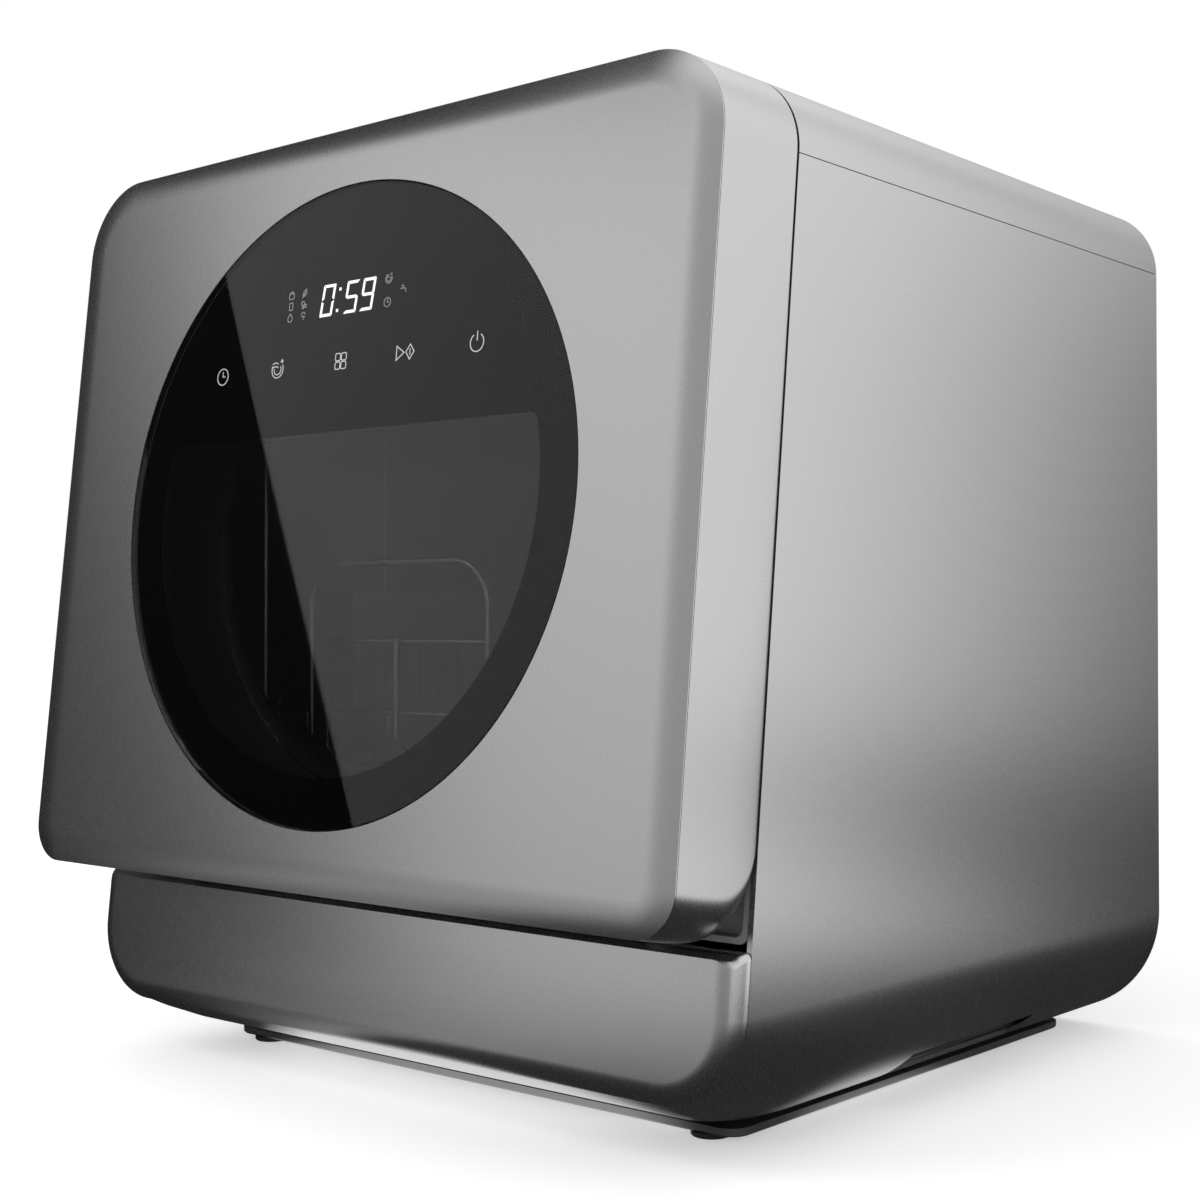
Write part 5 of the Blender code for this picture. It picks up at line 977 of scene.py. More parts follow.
def front_frame():
    """A dish-shaped frame round the tub's mouth, its rim level with the casing's front edge."""
    outer, inner = frame_outline(0.0), frame_outline(frame_rim)
    rings = [
        on_front(outer, frame_back_ahead),
        on_front(outer, -fit_gap),
        on_front(inner, -fit_gap),
        on_front(inner, -frame_floor_depth),
        on_front(opening_outline(), -frame_floor_depth),
        on_front(opening_outline(), frame_back_ahead),
    ]
    frame = loft("front_frame", rings, joined=True)
    slot_low = (-latch_slot_width / 2, latch_z - latch_slot_fall)
    slot_high = (latch_slot_width / 2, latch_z + latch_slot_rise)
    slot = rounded_rectangle(slot_low, slot_high, (overrun,) * 4, small_corner_steps)
    cut(frame, front_prism("frame_latch_slot", slot, frame_back_ahead - overrun, overrun))
    return finish(frame, "grey_plastic")


def tub_gasket():
    seat, crown = fit_gap - frame_floor_depth, door_gap - fit_gap
    profile = (
        (gasket_half_width, seat),
        (gasket_half_width, -gasket_shoulder),
        (gasket_half_width / 2, crown),
        (-gasket_half_width / 2, crown),
        (-gasket_half_width, -gasket_shoulder),
        (-gasket_half_width, seat),
    )
    rings = [on_front(opening_outline(gasket_offset + across), ahead) for across, ahead in profile]
    return finish(loft("tub_gasket", rings, joined=True), "rubber")


def tub_outline(margin, chamfer=0.0):
    half = tub_half_width + margin - chamfer
    low = (-half, tub_floor - margin + chamfer)
    corner = tub_corner + margin - chamfer
    return rounded_rectangle(low, (half, tub_ceiling + margin - chamfer), (corner,) * 4)


def wash_tub():
    """A deep-drawn steel tub with a raised lip at its mouth, ribs in its sides and a well in its floor."""
    flange_low = (-tub_flange_half_width, tub_flange_bottom)
    flange_high = (tub_flange_half_width, tub_flange_top)
    flange = rounded_rectangle(flange_low, flange_high, (tub_flange_corner,) * 4)
    back_ahead = tub_front_ahead - tub_wall
    inside_ahead = tub_front_ahead - tub_flange_thickness
    inner_rear_y = tub_rear_y - tub_wall
    rings = [
        at_y(tub_outline(tub_wall, tub_rear_chamfer), tub_rear_y),
        at_y(tub_outline(tub_wall), tub_rear_y - tub_rear_chamfer),
        on_front(tub_outline(tub_wall), inside_ahead),
        on_front(flange, back_ahead),
        on_front(flange, tub_front_ahead),
        on_front(opening_outline(), tub_front_ahead),
        on_front(opening_outline(), back_ahead),
        on_front(tub_outline(0.0), inside_ahead),
        at_y(tub_outline(0.0), inner_rear_y - tub_rear_chamfer),
        at_y(tub_outline(0.0, tub_rear_chamfer), inner_rear_y),
    ]
    tub = loft("wash_tub", rings)
    well = stadium(0.0, sump_front_y, sump_rear_y, sump_radius)
    well_rings = [at_z(well, z) for z in (tub_outer_floor - overrun, tub_floor + overrun)]
    cut(tub, loft("tub_well", well_rings))
    vent_radius = fan_intake_ring + fan_intake_radius
    cut(tub, rod("tub_vent", vent_radius, tub_rear_chamfer, (fan_x, tub_rear_y, fan_z), "Y"))
    for side in (-1, 1):
        leg = (side * heater_leg_spacing / 2, heater_leg_y, tub_floor)
        cut(tub, rod("heater_hole", heater_radius + 2 * fit_gap, tub_corner, leg, sides=tube_sides))
    foot_hole = (0.0, riser_y(), tub_floor)
    cut(tub, rod("riser_hole", riser_radius + 2 * fit_gap, tub_corner, foot_hole, sides=tube_sides))
    for side in (-1, 1):
        for place_y in side_rib_places_y:
            fuse(tub, tub_rib(side, place_y))
    return finish(tub, "steel_sheet")


def tub_rib(side, place_y):
    """An upright rib pressed a little way into the tub from its side wall."""
    low_z = tub_floor + tub_corner
    wall_x = tub_half_width + tub_wall / 2
    crest_x = tub_half_width - side_rib_height
    section = (
        (side * wall_x, place_y - side_rib_width),
        (side * crest_x, place_y - side_rib_width / 3),
        (side * crest_x, place_y + side_rib_width / 3),
        (side * wall_x, place_y + side_rib_width),
    )
    return loft("tub_rib", [at_z(section, low_z), at_z(section, side_rib_top_z)])


def filter_plate():
    bottom = tub_floor + fit_gap
    radius = sump_radius + filter_plate_lap
    rings = []
    for z, inset in (
        (bottom, 0.0),
        (bottom + filter_plate_thickness / 2, 0.0),
        (bottom + filter_plate_thickness, filter_plate_thickness),
    ):
        rings.append(at_z(stadium(0.0, sump_front_y, sump_rear_y, radius - inset, foot_steps * 2), z))
    plate = loft("filter_plate", rings)
    cut(plate, rod("post_hole", post_radius + fit_gap, tub_corner, (0.0, sump_rear_y, tub_floor)))
    cut(plate, rod("cup_hole", filter_cup_radius + fit_gap, tub_corner, (0.0, sump_front_y, tub_floor)))
    return finish(plate, "steel_sheet")


def filter_cup():
    """A lift-out cup that twists to lock, hung by its lip on the filter plate."""
    seat = tub_floor + 2 * fit_gap + filter_plate_thickness
    lip_top = seat + filter_cup_lip_thickness
    radius = filter_cup_radius - fit_gap
    bore = radius - filter_cup_wall
    profile = (
        (radius - filter_cup_wall, filter_cup_floor),
        (radius, filter_cup_floor + filter_cup_wall),
        (radius, seat),
        (radius + filter_cup_lip, seat),
        (radius + filter_cup_lip, lip_top),
        (bore, lip_top),
        (bore, filter_cup_floor + 2 * filter_cup_wall),
        (bore - filter_cup_wall, filter_cup_floor + filter_cup_wall),
    )
    cup = turned("filter_cup", profile, (0.0, sump_front_y, 0.0))
    grip_low = (-radius, sump_front_y - filter_grip_thickness / 2, lip_top - filter_cup_lip_thickness / 2)
    grip_high = (radius, sump_front_y + filter_grip_thickness / 2, lip_top + filter_grip_height)
    return finish(fuse(cup, block("filter_grip", grip_low, grip_high)), "grey_plastic")


def spray_post():
    """The hollow post that feeds the spray arm and carries it."""
    foot_z = sump_floor + fit_gap
    profile = (
        (post_foot_radius, foot_z),
        (post_foot_radius, foot_z + post_foot_height),
        (post_radius, foot_z + post_foot_height),
        (post_radius, post_top),
        (post_bore, post_top),
        (post_bore, foot_z),
    )
    return finish(turned("spray_post", profile, (0.0, sump_rear_y, 0.0), ring=True), "grey_plastic")


def spray_arm():
    """Two swept blades on a hub, with jets along their tops."""
    middle_z = arm_bottom + arm_height / 2
    rings = []
    for station in range(arm_stations + 1):
        share = 2 * station / arm_stations - 1
        width = arm_root_width + (arm_tip_width - arm_root_width) * abs(share)
        height = arm_height * (1 - abs(share) ** arm_taper_power / 2)
        sweep = arm_sweep * share * abs(share)
        section = circle(1.0, sides=tube_sides)
        rings.append(
            [
                (arm_reach * share, sump_rear_y + sweep + y * width / 2, middle_z + z * height / 2)
                for y, z in section
            ]
        )
    arm = loft("spray_arm", rings)
    hub_length = arm_hub_top - arm_hub_bottom
    hub_middle = (0.0, sump_rear_y, (arm_hub_top + arm_hub_bottom) / 2)
    fuse(arm, rod("arm_hub", arm_hub_radius, hub_length, hub_middle))
    bore_depth = post_top + arm_running_gap - arm_hub_bottom
    bore_middle = (0.0, sump_rear_y, arm_hub_bottom + (bore_depth - overrun) / 2)
    cut(arm, rod("arm_bore", post_radius + arm_running_gap, bore_depth + overrun, bore_middle))
    for side in (-1, 1):
        for share in jet_places_shares:
            jet_y = sump_rear_y + side * arm_sweep * share ** 2
            place = (side * arm_reach * share, jet_y, arm_bottom + arm_height)
            cut(arm, rod("arm_jet", jet_radius, arm_height, place, sides=wire_sides))
    return finish(arm, "grey_plastic")


def heating_element():
    """A loop of tubular heater just above the tub's floor, with two legs down through it."""
    z = tub_floor + fit_gap + heater_radius
    leg_x = heater_leg_spacing / 2
    corners = (
        (-leg_x, heater_leg_y, heater_leg_bottom),
        (-leg_x, heater_leg_y, z),
        (-leg_x, heater_rear_y, z),
        (-heater_half_width, heater_rear_y, z),
        (-heater_half_width, heater_front_y, z),
        (heater_half_width, heater_front_y, z),
        (heater_half_width, heater_rear_y, z),
        (leg_x, heater_rear_y, z),
        (leg_x, heater_leg_y, z),
        (leg_x, heater_leg_y, heater_leg_bottom),
    )
    half = (heater_leg_bend, heater_turn_bend, heater_bend, heater_bend)
    return finish(tube("heating_element", bent(corners, half + half[::-1]), heater_radius), "steel_sheet")


def riser_y():
    """Depth at which the upright tube clears the chamfer at the rear of the tub."""
    return tub_rear_y - tub_wall - tub_rear_chamfer - riser_radius - riser_wall_gap


def riser_tube():
    """A feed tube up the rear wall and along the ceiling to a fixed spray head."""
    ceiling_z = tub_ceiling - fit_gap - spray_head_height / 2
    corners = (
        (0.0, riser_y(), riser_foot_z),
        (0.0, riser_y(), ceiling_z),
        (0.0, spray_head_y, ceiling_z),
    )
    riser = tube("riser_tube", bent(corners, riser_bend), riser_radius)
    low, high = -spray_head_height / 2, spray_head_height / 2
    head_radius = spray_head_radius
    profile = (
        (head_radius / 2, low), (head_radius, low / 2),
        (head_radius, high / 2), (head_radius * spray_head_top_share, high),
    )
    head = turned("spray_head", profile, (0.0, spray_head_y, ceiling_z))
    return finish(fuse(riser, head), "grey_plastic")


def spout(name, x, radius, bore, colour):
    """A turned spout through the floor of the rear bay, with a flange behind it."""
    wall_y = rear_panel_inner_y - bay_depth - bay_wall
    profile = (
        (radius + spout_flange, wall_y - fit_gap - spout_flange_thickness),
        (radius + spout_flange, wall_y - fit_gap),
        (radius, wall_y - fit_gap),
        (radius, wall_y + bay_wall + spout_stand),
        (bore, wall_y + bay_wall + spout_stand),
        (bore, wall_y - fit_gap - spout_flange_thickness),
    )
    return finish(turned(name, profile, (x, 0.0, spout_z), "Y", ring=True), colour)


def cap_pocket_block(name, margin, sink):
    """The box behind the fill port in which the cap's barrel turns. A positive sink leaves its floor."""
    half = cap_pocket_width / 2 + (cap_pocket_wall if sink <= 0 else 0.0) + margin
    centre_y = fill_y + cap_hinge_offset
    reach = cap_pocket_reach + (0.0 if sink > 0 else fill_rim_wall) + margin
    top = overall_height - (fill_sink if sink == 0 else -overrun)
    low = (fill_x - half, fill_y + fill_rim_radius / 2, overall_height - cap_pocket_depth + sink)
    return block(name, low, (fill_x + half, centre_y + reach, top))


def fill_funnel():
    """A round dish let into the top cover, with a neck to the tank and a pocket for the cap's hinge."""
    top = overall_height - fill_sink
    lip_z = overall_height - funnel_lip_drop
    floor_z = overall_height - funnel_floor_drop
    foot_z = tank_top - neck_depth / 2
    lip_radius = fill_rim_radius - fill_rim_wall
    outside = (
        (neck_radius, foot_z),
        (neck_radius, floor_z - fill_rim_wall),
        (fill_rim_radius, floor_z - fill_rim_wall),
        (fill_rim_radius, top),
    )
    hollow = (
        (neck_bore, foot_z - overrun),
        (neck_bore, floor_z - fit_gap),
        (lip_radius - fill_rim_wall, floor_z),
        (lip_radius - fill_rim_wall, lip_z),
        (lip_radius, lip_z),
        (lip_radius, top + overrun),
    )
    centre, sides = (fill_x, fill_y, 0.0), round_sides
    funnel = turned("fill_funnel", outside, centre, sides=sides)
    fuse(funnel, cap_pocket_block("cap_pocket", 0.0, 0.0))
    cut(funnel, turned("funnel_hollow", hollow, centre, sides=sides))
    cut(funnel, cap_pocket_block("cap_pocket_hollow", 0.0, cap_pocket_floor))
    stub_hole = (fill_x, fill_y + cap_hinge_offset, overall_height - cap_hinge_drop)
    hole_length = cap_pocket_width + 2 * cap_stub_length + 2 * fit_gap
    cut(funnel, rod("cap_stub_hole", cap_stub_radius + fit_gap, hole_length, stub_hole, "X", tube_sides))
    return finish(funnel, "grey_plastic")


def fill_cap():
    """A round cap with a hinge barrel at its rear and a scoop cut into its front to pull it by."""
    top = overall_height - fill_sink
    bottom = top - cap_thickness
    radius = fill_rim_radius - fill_rim_wall - cap_running_gap
    profile = (
        (radius, bottom),
        (radius, top - fit_gap),
        (radius - fit_gap, top),
    )
    cap = turned("fill_cap", profile, (fill_x, fill_y, 0.0), sides=round_sides)
    hinge_point = Vector((fill_x, fill_y + cap_hinge_offset, overall_height - cap_hinge_drop))
    half = cap_barrel_width / 2
    low = (fill_x - half, fill_y + radius - overrun, bottom)
    high = (fill_x + half, hinge_point.y, top)
    fuse(cap, block("cap_tab", low, high))
    fuse(cap, rod("cap_barrel", cap_barrel_radius, cap_barrel_width, hinge_point, "X", tube_sides * 2))
    stub_length = cap_barrel_width + 2 * cap_stub_length
    fuse(cap, rod("cap_stubs", cap_stub_radius, stub_length, hinge_point, "X", tube_sides * 2))
    scoop_y = fill_y - radius
    scoop_low = (fill_x - cap_pull_width / 2, scoop_y - overrun, top - cap_pull_height)
    scoop_high = (fill_x + cap_pull_width / 2, scoop_y + cap_pull_depth, top + overrun)
    cut(cap, block("cap_scoop", scoop_low, scoop_high))
    return finish(cap, "grey_plastic")


def fan_wheel():
    """A hub and disc with backward-curved blades, running on the motor's shaft."""
    hub_front = tub_rear_y + fit_gap + fan_wall + fan_motor_length + fan_running_gap
    disc_back = hub_front + fan_hub_length - fan_running_gap
    disc_front = disc_back - fan_disc_thickness
    profile = (
        (fan_shaft_radius + fan_running_gap, hub_front),
        (fan_hub_radius, hub_front),
        (fan_hub_radius, disc_front),
        (fan_disc_radius, disc_front),
        (fan_disc_radius, disc_back),
        (fan_shaft_radius + fan_running_gap, disc_back),
    )
    wheel = turned("fan_wheel", profile, (fan_x, 0.0, fan_z), "Y", turned_sides, ring=True)
    form = bmesh.new()
    turn = math.radians(fan_blade_turn_degrees)
    for index in range(fan_blades):
        start = 2 * math.pi * index / fan_blades
        rings = []
        for step in range(fan_blade_steps + 1):
            share = step / fan_blade_steps
            radius = fan_blade_root + (fan_blade_tip - fan_blade_root) * share
            angle = start + turn * share ** 2
            across = Vector((-math.sin(angle), 0.0, math.cos(angle))) * fan_blade_thickness / 2
            middle = Vector((fan_x + radius * math.cos(angle), 0.0, fan_z + radius * math.sin(angle)))
            front = Vector((0.0, hub_front, 0.0))
            back = Vector((0.0, disc_front + fan_disc_thickness / 2, 0.0))
            left, right = middle - across, middle + across
            rings.append([left + front, right + front, right + back, left + back])
        add_loft(form, rings)
    return finish(fuse(wheel, solid("fan_blades", form)), "grey_plastic")


def door_outline(inset, bottom_z=None):
    bottom = door_bottom if bottom_z is None else bottom_z
    lower, upper = door_bottom_corner - inset, top_corner_radius - inset
    low = (inset - half_width, bottom + inset if bottom_z is None else bottom)
    return rounded_rectangle(low, (half_width - inset, overall_height - inset), (lower, lower, upper, upper))


def door_underside(inset):
    """From the heel at the rear to the crease: distance ahead and height, moved inwards by the inset."""
    radius = heel_radius - inset
    centre_ahead, centre_z = door_gap + heel_radius, door_low + heel_radius
    for step in range(heel_steps + 1):
        angle = math.pi / 2 * (1 - step / heel_steps)
        yield centre_ahead - radius * math.sin(angle), centre_z - radius * math.cos(angle)
    reach = door_crease_ahead - fit_gap - centre_ahead
    for step in range(1, belly_steps + 1):
        share = step / belly_steps
        rise = (door_bottom - door_low) * share ** belly_power
        yield centre_ahead + reach * share, door_low + rise + inset


def door_frame():
    """The door's deep band, open in front and behind, its lower rear edge rounded to clear the cabinet."""
    outer = list(door_underside(0.0))
    inner = list(door_underside(door_wall))
    rings = [on_front(door_outline(0.0, z), ahead) for ahead, z in outer]
    rings += [on_front(door_outline(door_wall, z), ahead) for ahead, z in reversed(inner)]
    rings.append(on_front(door_outline(door_wall, outer[0][1] + door_wall), outer[0][0]))
    frame = loft("door_frame", rings, joined=True)
    for side in (-1, 1):
        cut(frame, hinge_slot(side, "frame_slot"))
    return finish(frame, "silver_shell")


def hinge_slot(side, name):
    """The notch, open to the rear and below, in which the cabinet's hinge tongue swings."""
    half = hinge_slot_width / 2
    reach = hinge_eye_radius + 2 * fit_gap
    outline = (
        (-overrun, door_low - overrun),
        (hinge_ahead + reach, door_low - overrun),
        (hinge_ahead + reach, hinge_z + reach),
        (-overrun, hinge_z + reach),
    )
    return side_prism(side_name(side) + "_" + name, outline, side * (hinge_x - half), side * (hinge_x + half))


def door_front_panel():
    """The pillowed face: a crisp crease round its edge and a flat middle with a round hole for the glass."""
    rings = [on_front(door_outline(0.0), door_crease_ahead)]
    rings += [
        on_front(door_outline(inset), door_crease_ahead + height)
        for inset, height in pillow_profile(pillow_steps)
    ]
    panel = loft("door_front_panel", rings)
    hole = front_prism(
        "glass_hole", glass_outline(fit_gap), door_crease_ahead - overrun, door_face_ahead + overrun
    )
    return finish(cut(panel, hole), "silver_shell")


def glass_outline(margin):
    return circle(glass_radius + margin, (0.0, glass_centre_z), glass_sides, math.cos(front_tilt))


def door_glass():
    face = door_face_ahead - glass_sink
    back = face - glass_thickness
    rings = [
        on_front(glass_outline(0.0), back),
        on_front(glass_outline(0.0), face - glass_edge),
        on_front(glass_outline(-glass_edge), face),
    ]
    return finish(loft("door_glass", rings), "black_glass")


def carrier_back():
    """How far ahead of the seam the rear face of the glass carrier lies."""
    return door_face_ahead - glass_sink - glass_thickness - fit_gap - carrier_thickness


def display_outline(margin):
    low = (-display_width / 2 - margin, display_low_z - margin)
    high = (display_width / 2 + margin, display_high_z + margin)
    return rounded_rectangle(low, high, (window_corner,) * 4, small_corner_steps)


def glass_carrier():
    """The dark ring behind the glass, open at the window and where the display sits."""
    back, face = carrier_back(), carrier_back() + carrier_thickness
    outline = circle(carrier_radius, (0.0, glass_centre_z), glass_sides, math.cos(front_tilt))
    carrier = front_prism("glass_carrier", outline, back, face)
    window = clipped_circle(window_radius, window_top_z, window_corner)
    cut(carrier, front_prism("carrier_window", window, back - overrun, face + overrun))
    cut(carrier, front_prism("carrier_display", display_outline(fit_gap), back - overrun, face + overrun))
    return finish(carrier, "dark_trim")


def liner_outline(inset):
    gap = door_wall + seam_gap + inset
    bottom = door_low + heel_radius + door_wall + liner_bottom_rise + inset
    corner = door_bottom_corner - door_wall - inset
    upper = top_corner_radius - gap
    return rounded_rectangle((gap - half_width, bottom), (half_width - gap, overall_height - gap),
                             (corner, corner, upper, upper))


def cup_outline(margin):
    half_x, half_z = cup_width / 2 + margin, cup_height / 2 + margin
    low, high = (cup_centre_x - half_x, cup_centre_z - half_z), (cup_centre_x + half_x, cup_centre_z + half_z)
    return rounded_rectangle(low, high, (cup_corner + margin,) * 4, bend_steps)


def door_liner():
    """The tray that closes the door towards the tub, with openings for the window and the detergent cup."""
    plate_face = door_gap + liner_wall
    rings = [
        on_front(liner_outline(liner_wall), plate_face),
        on_front(liner_outline(liner_wall), door_gap + liner_rim),
        on_front(liner_outline(0.0), door_gap + liner_rim),
        on_front(liner_outline(0.0), door_gap),
    ]
    liner = loft("door_liner", rings)
    margin = liner_window_margin
    window = clipped_circle(window_radius + margin, window_top_z + margin, window_corner)
    cut(liner, front_prism("liner_opening", window, -overrun, plate_face + overrun))
    cup_hole = cup_outline(cup_wall + fit_gap)
    cut(liner, front_prism("cup_opening", cup_hole, -overrun, plate_face + overrun))
    return finish(liner, "grey_plastic")


def liner_window():
    """The inner pane, lapping the liner's opening all round."""
    reach = liner_window_margin + inner_pane_lap
    outline = clipped_circle(window_radius + reach, window_top_z + reach, window_corner + inner_pane_lap)
    back = door_gap + liner_wall + fit_gap
    return finish(front_prism("liner_window", outline, back, back + inner_pane_thickness), "clear_pane")


def detergent_cup():
    """A cup let into the liner, with a flange towards the tub and two guides for its sliding lid."""
    seat = door_gap - fit_gap
    face = seat - cup_flange_thickness
    rings = [
        on_front(cup_outline(cup_wall), cup_depth + cup_wall),
        on_front(cup_outline(cup_wall), seat),
        on_front(cup_outline(cup_wall + cup_flange), seat),
        on_front(cup_outline(cup_wall + cup_flange), face),
        on_front(cup_outline(0.0), face),
        on_front(cup_outline(0.0), cup_depth),
    ]
    cup = loft("detergent_cup", rings)
    for side in (-1, 1):
        edge = cup_centre_z + side * (cup_height / 2 + cup_wall + cup_flange / 2)
        low = (lid_low_x() - lid_travel, min(edge, edge + side * cup_flange / 2))
        high = (cup_centre_x + cup_width / 2 + cup_wall, max(edge, edge + side * cup_flange / 2))
        guide = rounded_rectangle(low, high, (fit_gap,) * 4, bevel_steps)
        fuse(cup, front_prism("lid_guide", guide, face - lid_guide_height, face + cup_flange_thickness / 2))
    return finish(cup, "grey_plastic")


def lid_low_x():
    """The left edge of the closed lid."""
    return cup_centre_x - cup_width / 2 - cup_wall


def detergent_lid():
    """A flat lid between the cup's guides, with a rib to push it by."""
    face = door_gap - fit_gap - cup_flange_thickness - fit_gap
    half_z = cup_height / 2 + cup_wall + cup_flange / 2 - fit_gap
    low = (lid_low_x(), cup_centre_z - half_z)
    high = (cup_centre_x + cup_width / 2 + cup_wall, cup_centre_z + half_z)
    outline = rounded_rectangle(low, high, (cup_wall,) * 4, small_corner_steps)
    lid = front_prism("detergent_lid", outline, face - lid_thickness, face)
    rib_low = (cup_centre_x + cup_width / 4, low[1] + cup_flange)
    rib_high = (cup_centre_x + cup_width / 4 + lid_rib_width, high[1] - cup_flange)
    rib = rounded_rectangle(rib_low, rib_high, (fit_gap,) * 4, bevel_steps)
    rib_back = face - lid_thickness - lid_rib_height
    fuse(lid, front_prism("lid_rib", rib, rib_back, face - lid_thickness / 2))
    return finish(lid, "grey_plastic")


def rail_top_z():
    """Height of the rails, just under the lowest wires of the rack."""
    return rack_floor_z - wire_radius - fit_gap


def tub_side_x(z):
    """Half the tub's inner width at height z, on its rounded lower corners."""
    return tub_half_width - tub_corner + math.sqrt(tub_corner ** 2 - (tub_floor + tub_corner - z) ** 2)


def rack_rail(side):
    """An angle on the tub's wall on which the rack's outer wires slide."""
    top, low = rail_top_z(), rail_low_z
    low_x, high_x = tub_side_x(low) - 2 * fit_gap, tub_side_x(top) - 2 * fit_gap
    front = front_y(rail_low_z, tub_front_ahead) + tub_flange_thickness + rail_front_inset
    back = tub_rear_y - tub_wall - tub_rear_chamfer - rail_rear_gap
    section = (
        (low_x, low),
        (high_x, top),
        (high_x - rail_width, top),
        (high_x - rail_width, top - rail_wall),
        (high_x - rail_wall, top - rail_wall),
        (low_x - rail_wall, low),
    )
    rings = [at_y([(side * x, z) for x, z in section], y) for y in (front, back)]
    return finish(loft("rack_rail_" + side_name(side), rings), "grey_plastic")


def wire_step():
    """How far apart the middles of two crossing wires lie, so that they bite into each other."""
    return wire_radius * (2 - wire_overlap_share)


def rack_upper_floor_z():
    """Height of the wires that cross the rack's floor wires."""
    return rack_floor_z + wire_step()


def dish_rack():
    """A wire rack: a rim, a floor that stands on the rails, a tall hoop in front and two rows of tines."""
    floor_z, upper_z, rim_z = rack_floor_z, rack_upper_floor_z(), rack_rim_z
    half, rear, front = rack_half_width, rack_rear_y, rack_front_y
    inner, step = half - wire_step(), wire_step()
    rim = ((-half, front, rim_z), (half, front, rim_z), (half, rear, rim_z), (-half, rear, rim_z))
    paths = [(bent(rim, rack_bend, closed=True), True)]
    for index in range(rack_floor_wires):
        x = (inner - rack_bend / 2) * (2 * index / (rack_floor_wires - 1) - 1)
        corners = (
            (x, front + step, rim_z + wire_radius),
            (x, front + step, rim_z - rack_bend),
            (x, rack_floor_front_y, floor_z),
            (x, rear - step, floor_z),
            (x, rear - step, rim_z + wire_radius),
        )
        paths.append((bent(corners, rack_bend / 2, steps=rack_bend_steps), False))
    for y in rack_cross_wires_y:
        corners = ((-inner, y, rim_z + wire_radius), (-inner, y, upper_z), (inner, y, upper_z))
        corners += ((inner, y, rim_z + wire_radius),)
        paths.append((bent(corners, rack_bend / 2, steps=rack_bend_steps), False))
    hoop_y, hoop_foot_z = front - step, rim_z - rack_bend
    hoop = ((hoop_left, hoop_y, hoop_foot_z), (hoop_left, hoop_y, hoop_top_z))
    hoop += ((hoop_right, hoop_y, hoop_top_z), (hoop_right, hoop_y, hoop_foot_z))
    paths.append((bent(hoop, hoop_bend), False))
    bar = ((hoop_left - wire_radius, front, hoop_bar_z), (hoop_right + wire_radius, front, hoop_bar_z))
    paths.append((bar, False))
    middle_x = (hoop_left + hoop_right) / 2
    paths.append((((middle_x, hoop_y, hoop_foot_z), (middle_x, hoop_y, hoop_bar_z + wire_radius)), False))
    for row_x in tine_rows_x:
        for y in tine_places_y:
            tine = ((row_x - tine_half_width, y, upper_z), (row_x - tine_half_width, y, tine_top_z))
            tine += ((row_x + tine_half_width, y, tine_top_z), (row_x + tine_half_width, y, upper_z))
            paths.append((bent(tine, tine_bend, steps=rack_bend_steps), False))
        for reach in (-tine_half_width - step, tine_half_width + step):
            ends = (tine_rail_front_y, tine_places_y[-1] + 2 * wire_radius)
            paths.append((tuple((row_x + reach, y, upper_z + step) for y in ends), False))
    return finish(wire_frame("dish_rack", paths, wire_radius), "steel_wire")


def cutlery_basket():
    """A slotted basket that stands on the rack's floor behind the hoop."""
    floor_z = rack_upper_floor_z() + wire_radius + fit_gap
    left, right = basket_left, basket_right

    def wall_ring(inset, z, floor_shift=0.0):
        low = (left + inset, basket_front_y + inset + floor_shift)
        high = (right - inset, basket_rear_y - inset + floor_shift)
        corners = (basket_corner - inset,) * 4
        return at_z(rounded_rectangle(low, high, corners, basket_corner_steps), z)

    rings = [
        wall_ring(0.0, floor_z, basket_floor_y_shift),
        wall_ring(0.0, rack_rim_z),
        wall_ring(0.0, basket_top_z),
        wall_ring(basket_wall, basket_top_z),
        wall_ring(basket_wall, rack_rim_z),
        wall_ring(basket_wall, floor_z + basket_wall, basket_floor_y_shift),
    ]
    basket = loft("cutlery_basket", rings)
    form = bmesh.new()
    pitch = (right - left - 2 * basket_corner) / basket_slots
    for index in range(basket_slots):
        centre = left + basket_corner + pitch * (index + half_share)
        low = (centre - basket_slot_width / 2, basket_slot_low_z + basket_corner * 2)
        high = (centre + basket_slot_width / 2, basket_slot_high_z)
        slot = rounded_rectangle(low, high, (basket_slot_width / 2,) * 4, slot_steps)
        slot_rear_y = basket_rear_y + basket_floor_y_shift + overrun
        add_loft(form, [at_y(slot, basket_front_y - overrun), at_y(slot, slot_rear_y)])
    return finish(cut(basket, solid("basket_slots", form)), "grey_plastic")


def shelf_hinge():
    """X and height of the shelf's wire next to the wall."""
    return (tub_half_width - side_rib_height - shelf_wall_gap, shelf_z)


def cup_shelf():
    """A flat wire shelf by the tub's right wall."""
    hinge_x_place, z = shelf_hinge()
    overlap = shelf_wire_radius * wire_overlap_share
    outer_x = hinge_x_place - shelf_reach
    corners = (
        (hinge_x_place, shelf_front_y, z),
        (outer_x, shelf_front_y, z),
        (outer_x, shelf_rear_y, z),
        (hinge_x_place, shelf_rear_y, z),
    )
    paths = [(bent(corners, shelf_bend, closed=True), True)]
    level = z + 2 * shelf_wire_radius - overlap
    for index in range(shelf_wires):
        y = shelf_front_y + (shelf_rear_y - shelf_front_y) * (index + 1) / (shelf_wires + 1)
        ends = (outer_x - shelf_wire_radius, hinge_x_place - shelf_wire_radius)
        paths.append((tuple((x, y, level) for x in ends), False))
    return finish(wire_frame("cup_shelf", paths, shelf_wire_radius), "steel_wire")


# Surfaces
bump_strength = 0.6
grain_detail = 3.0
noise_middle = 0.5
even, brushed = (1.0, 1.0, 1.0), (0.05, 1.0, 1.0)


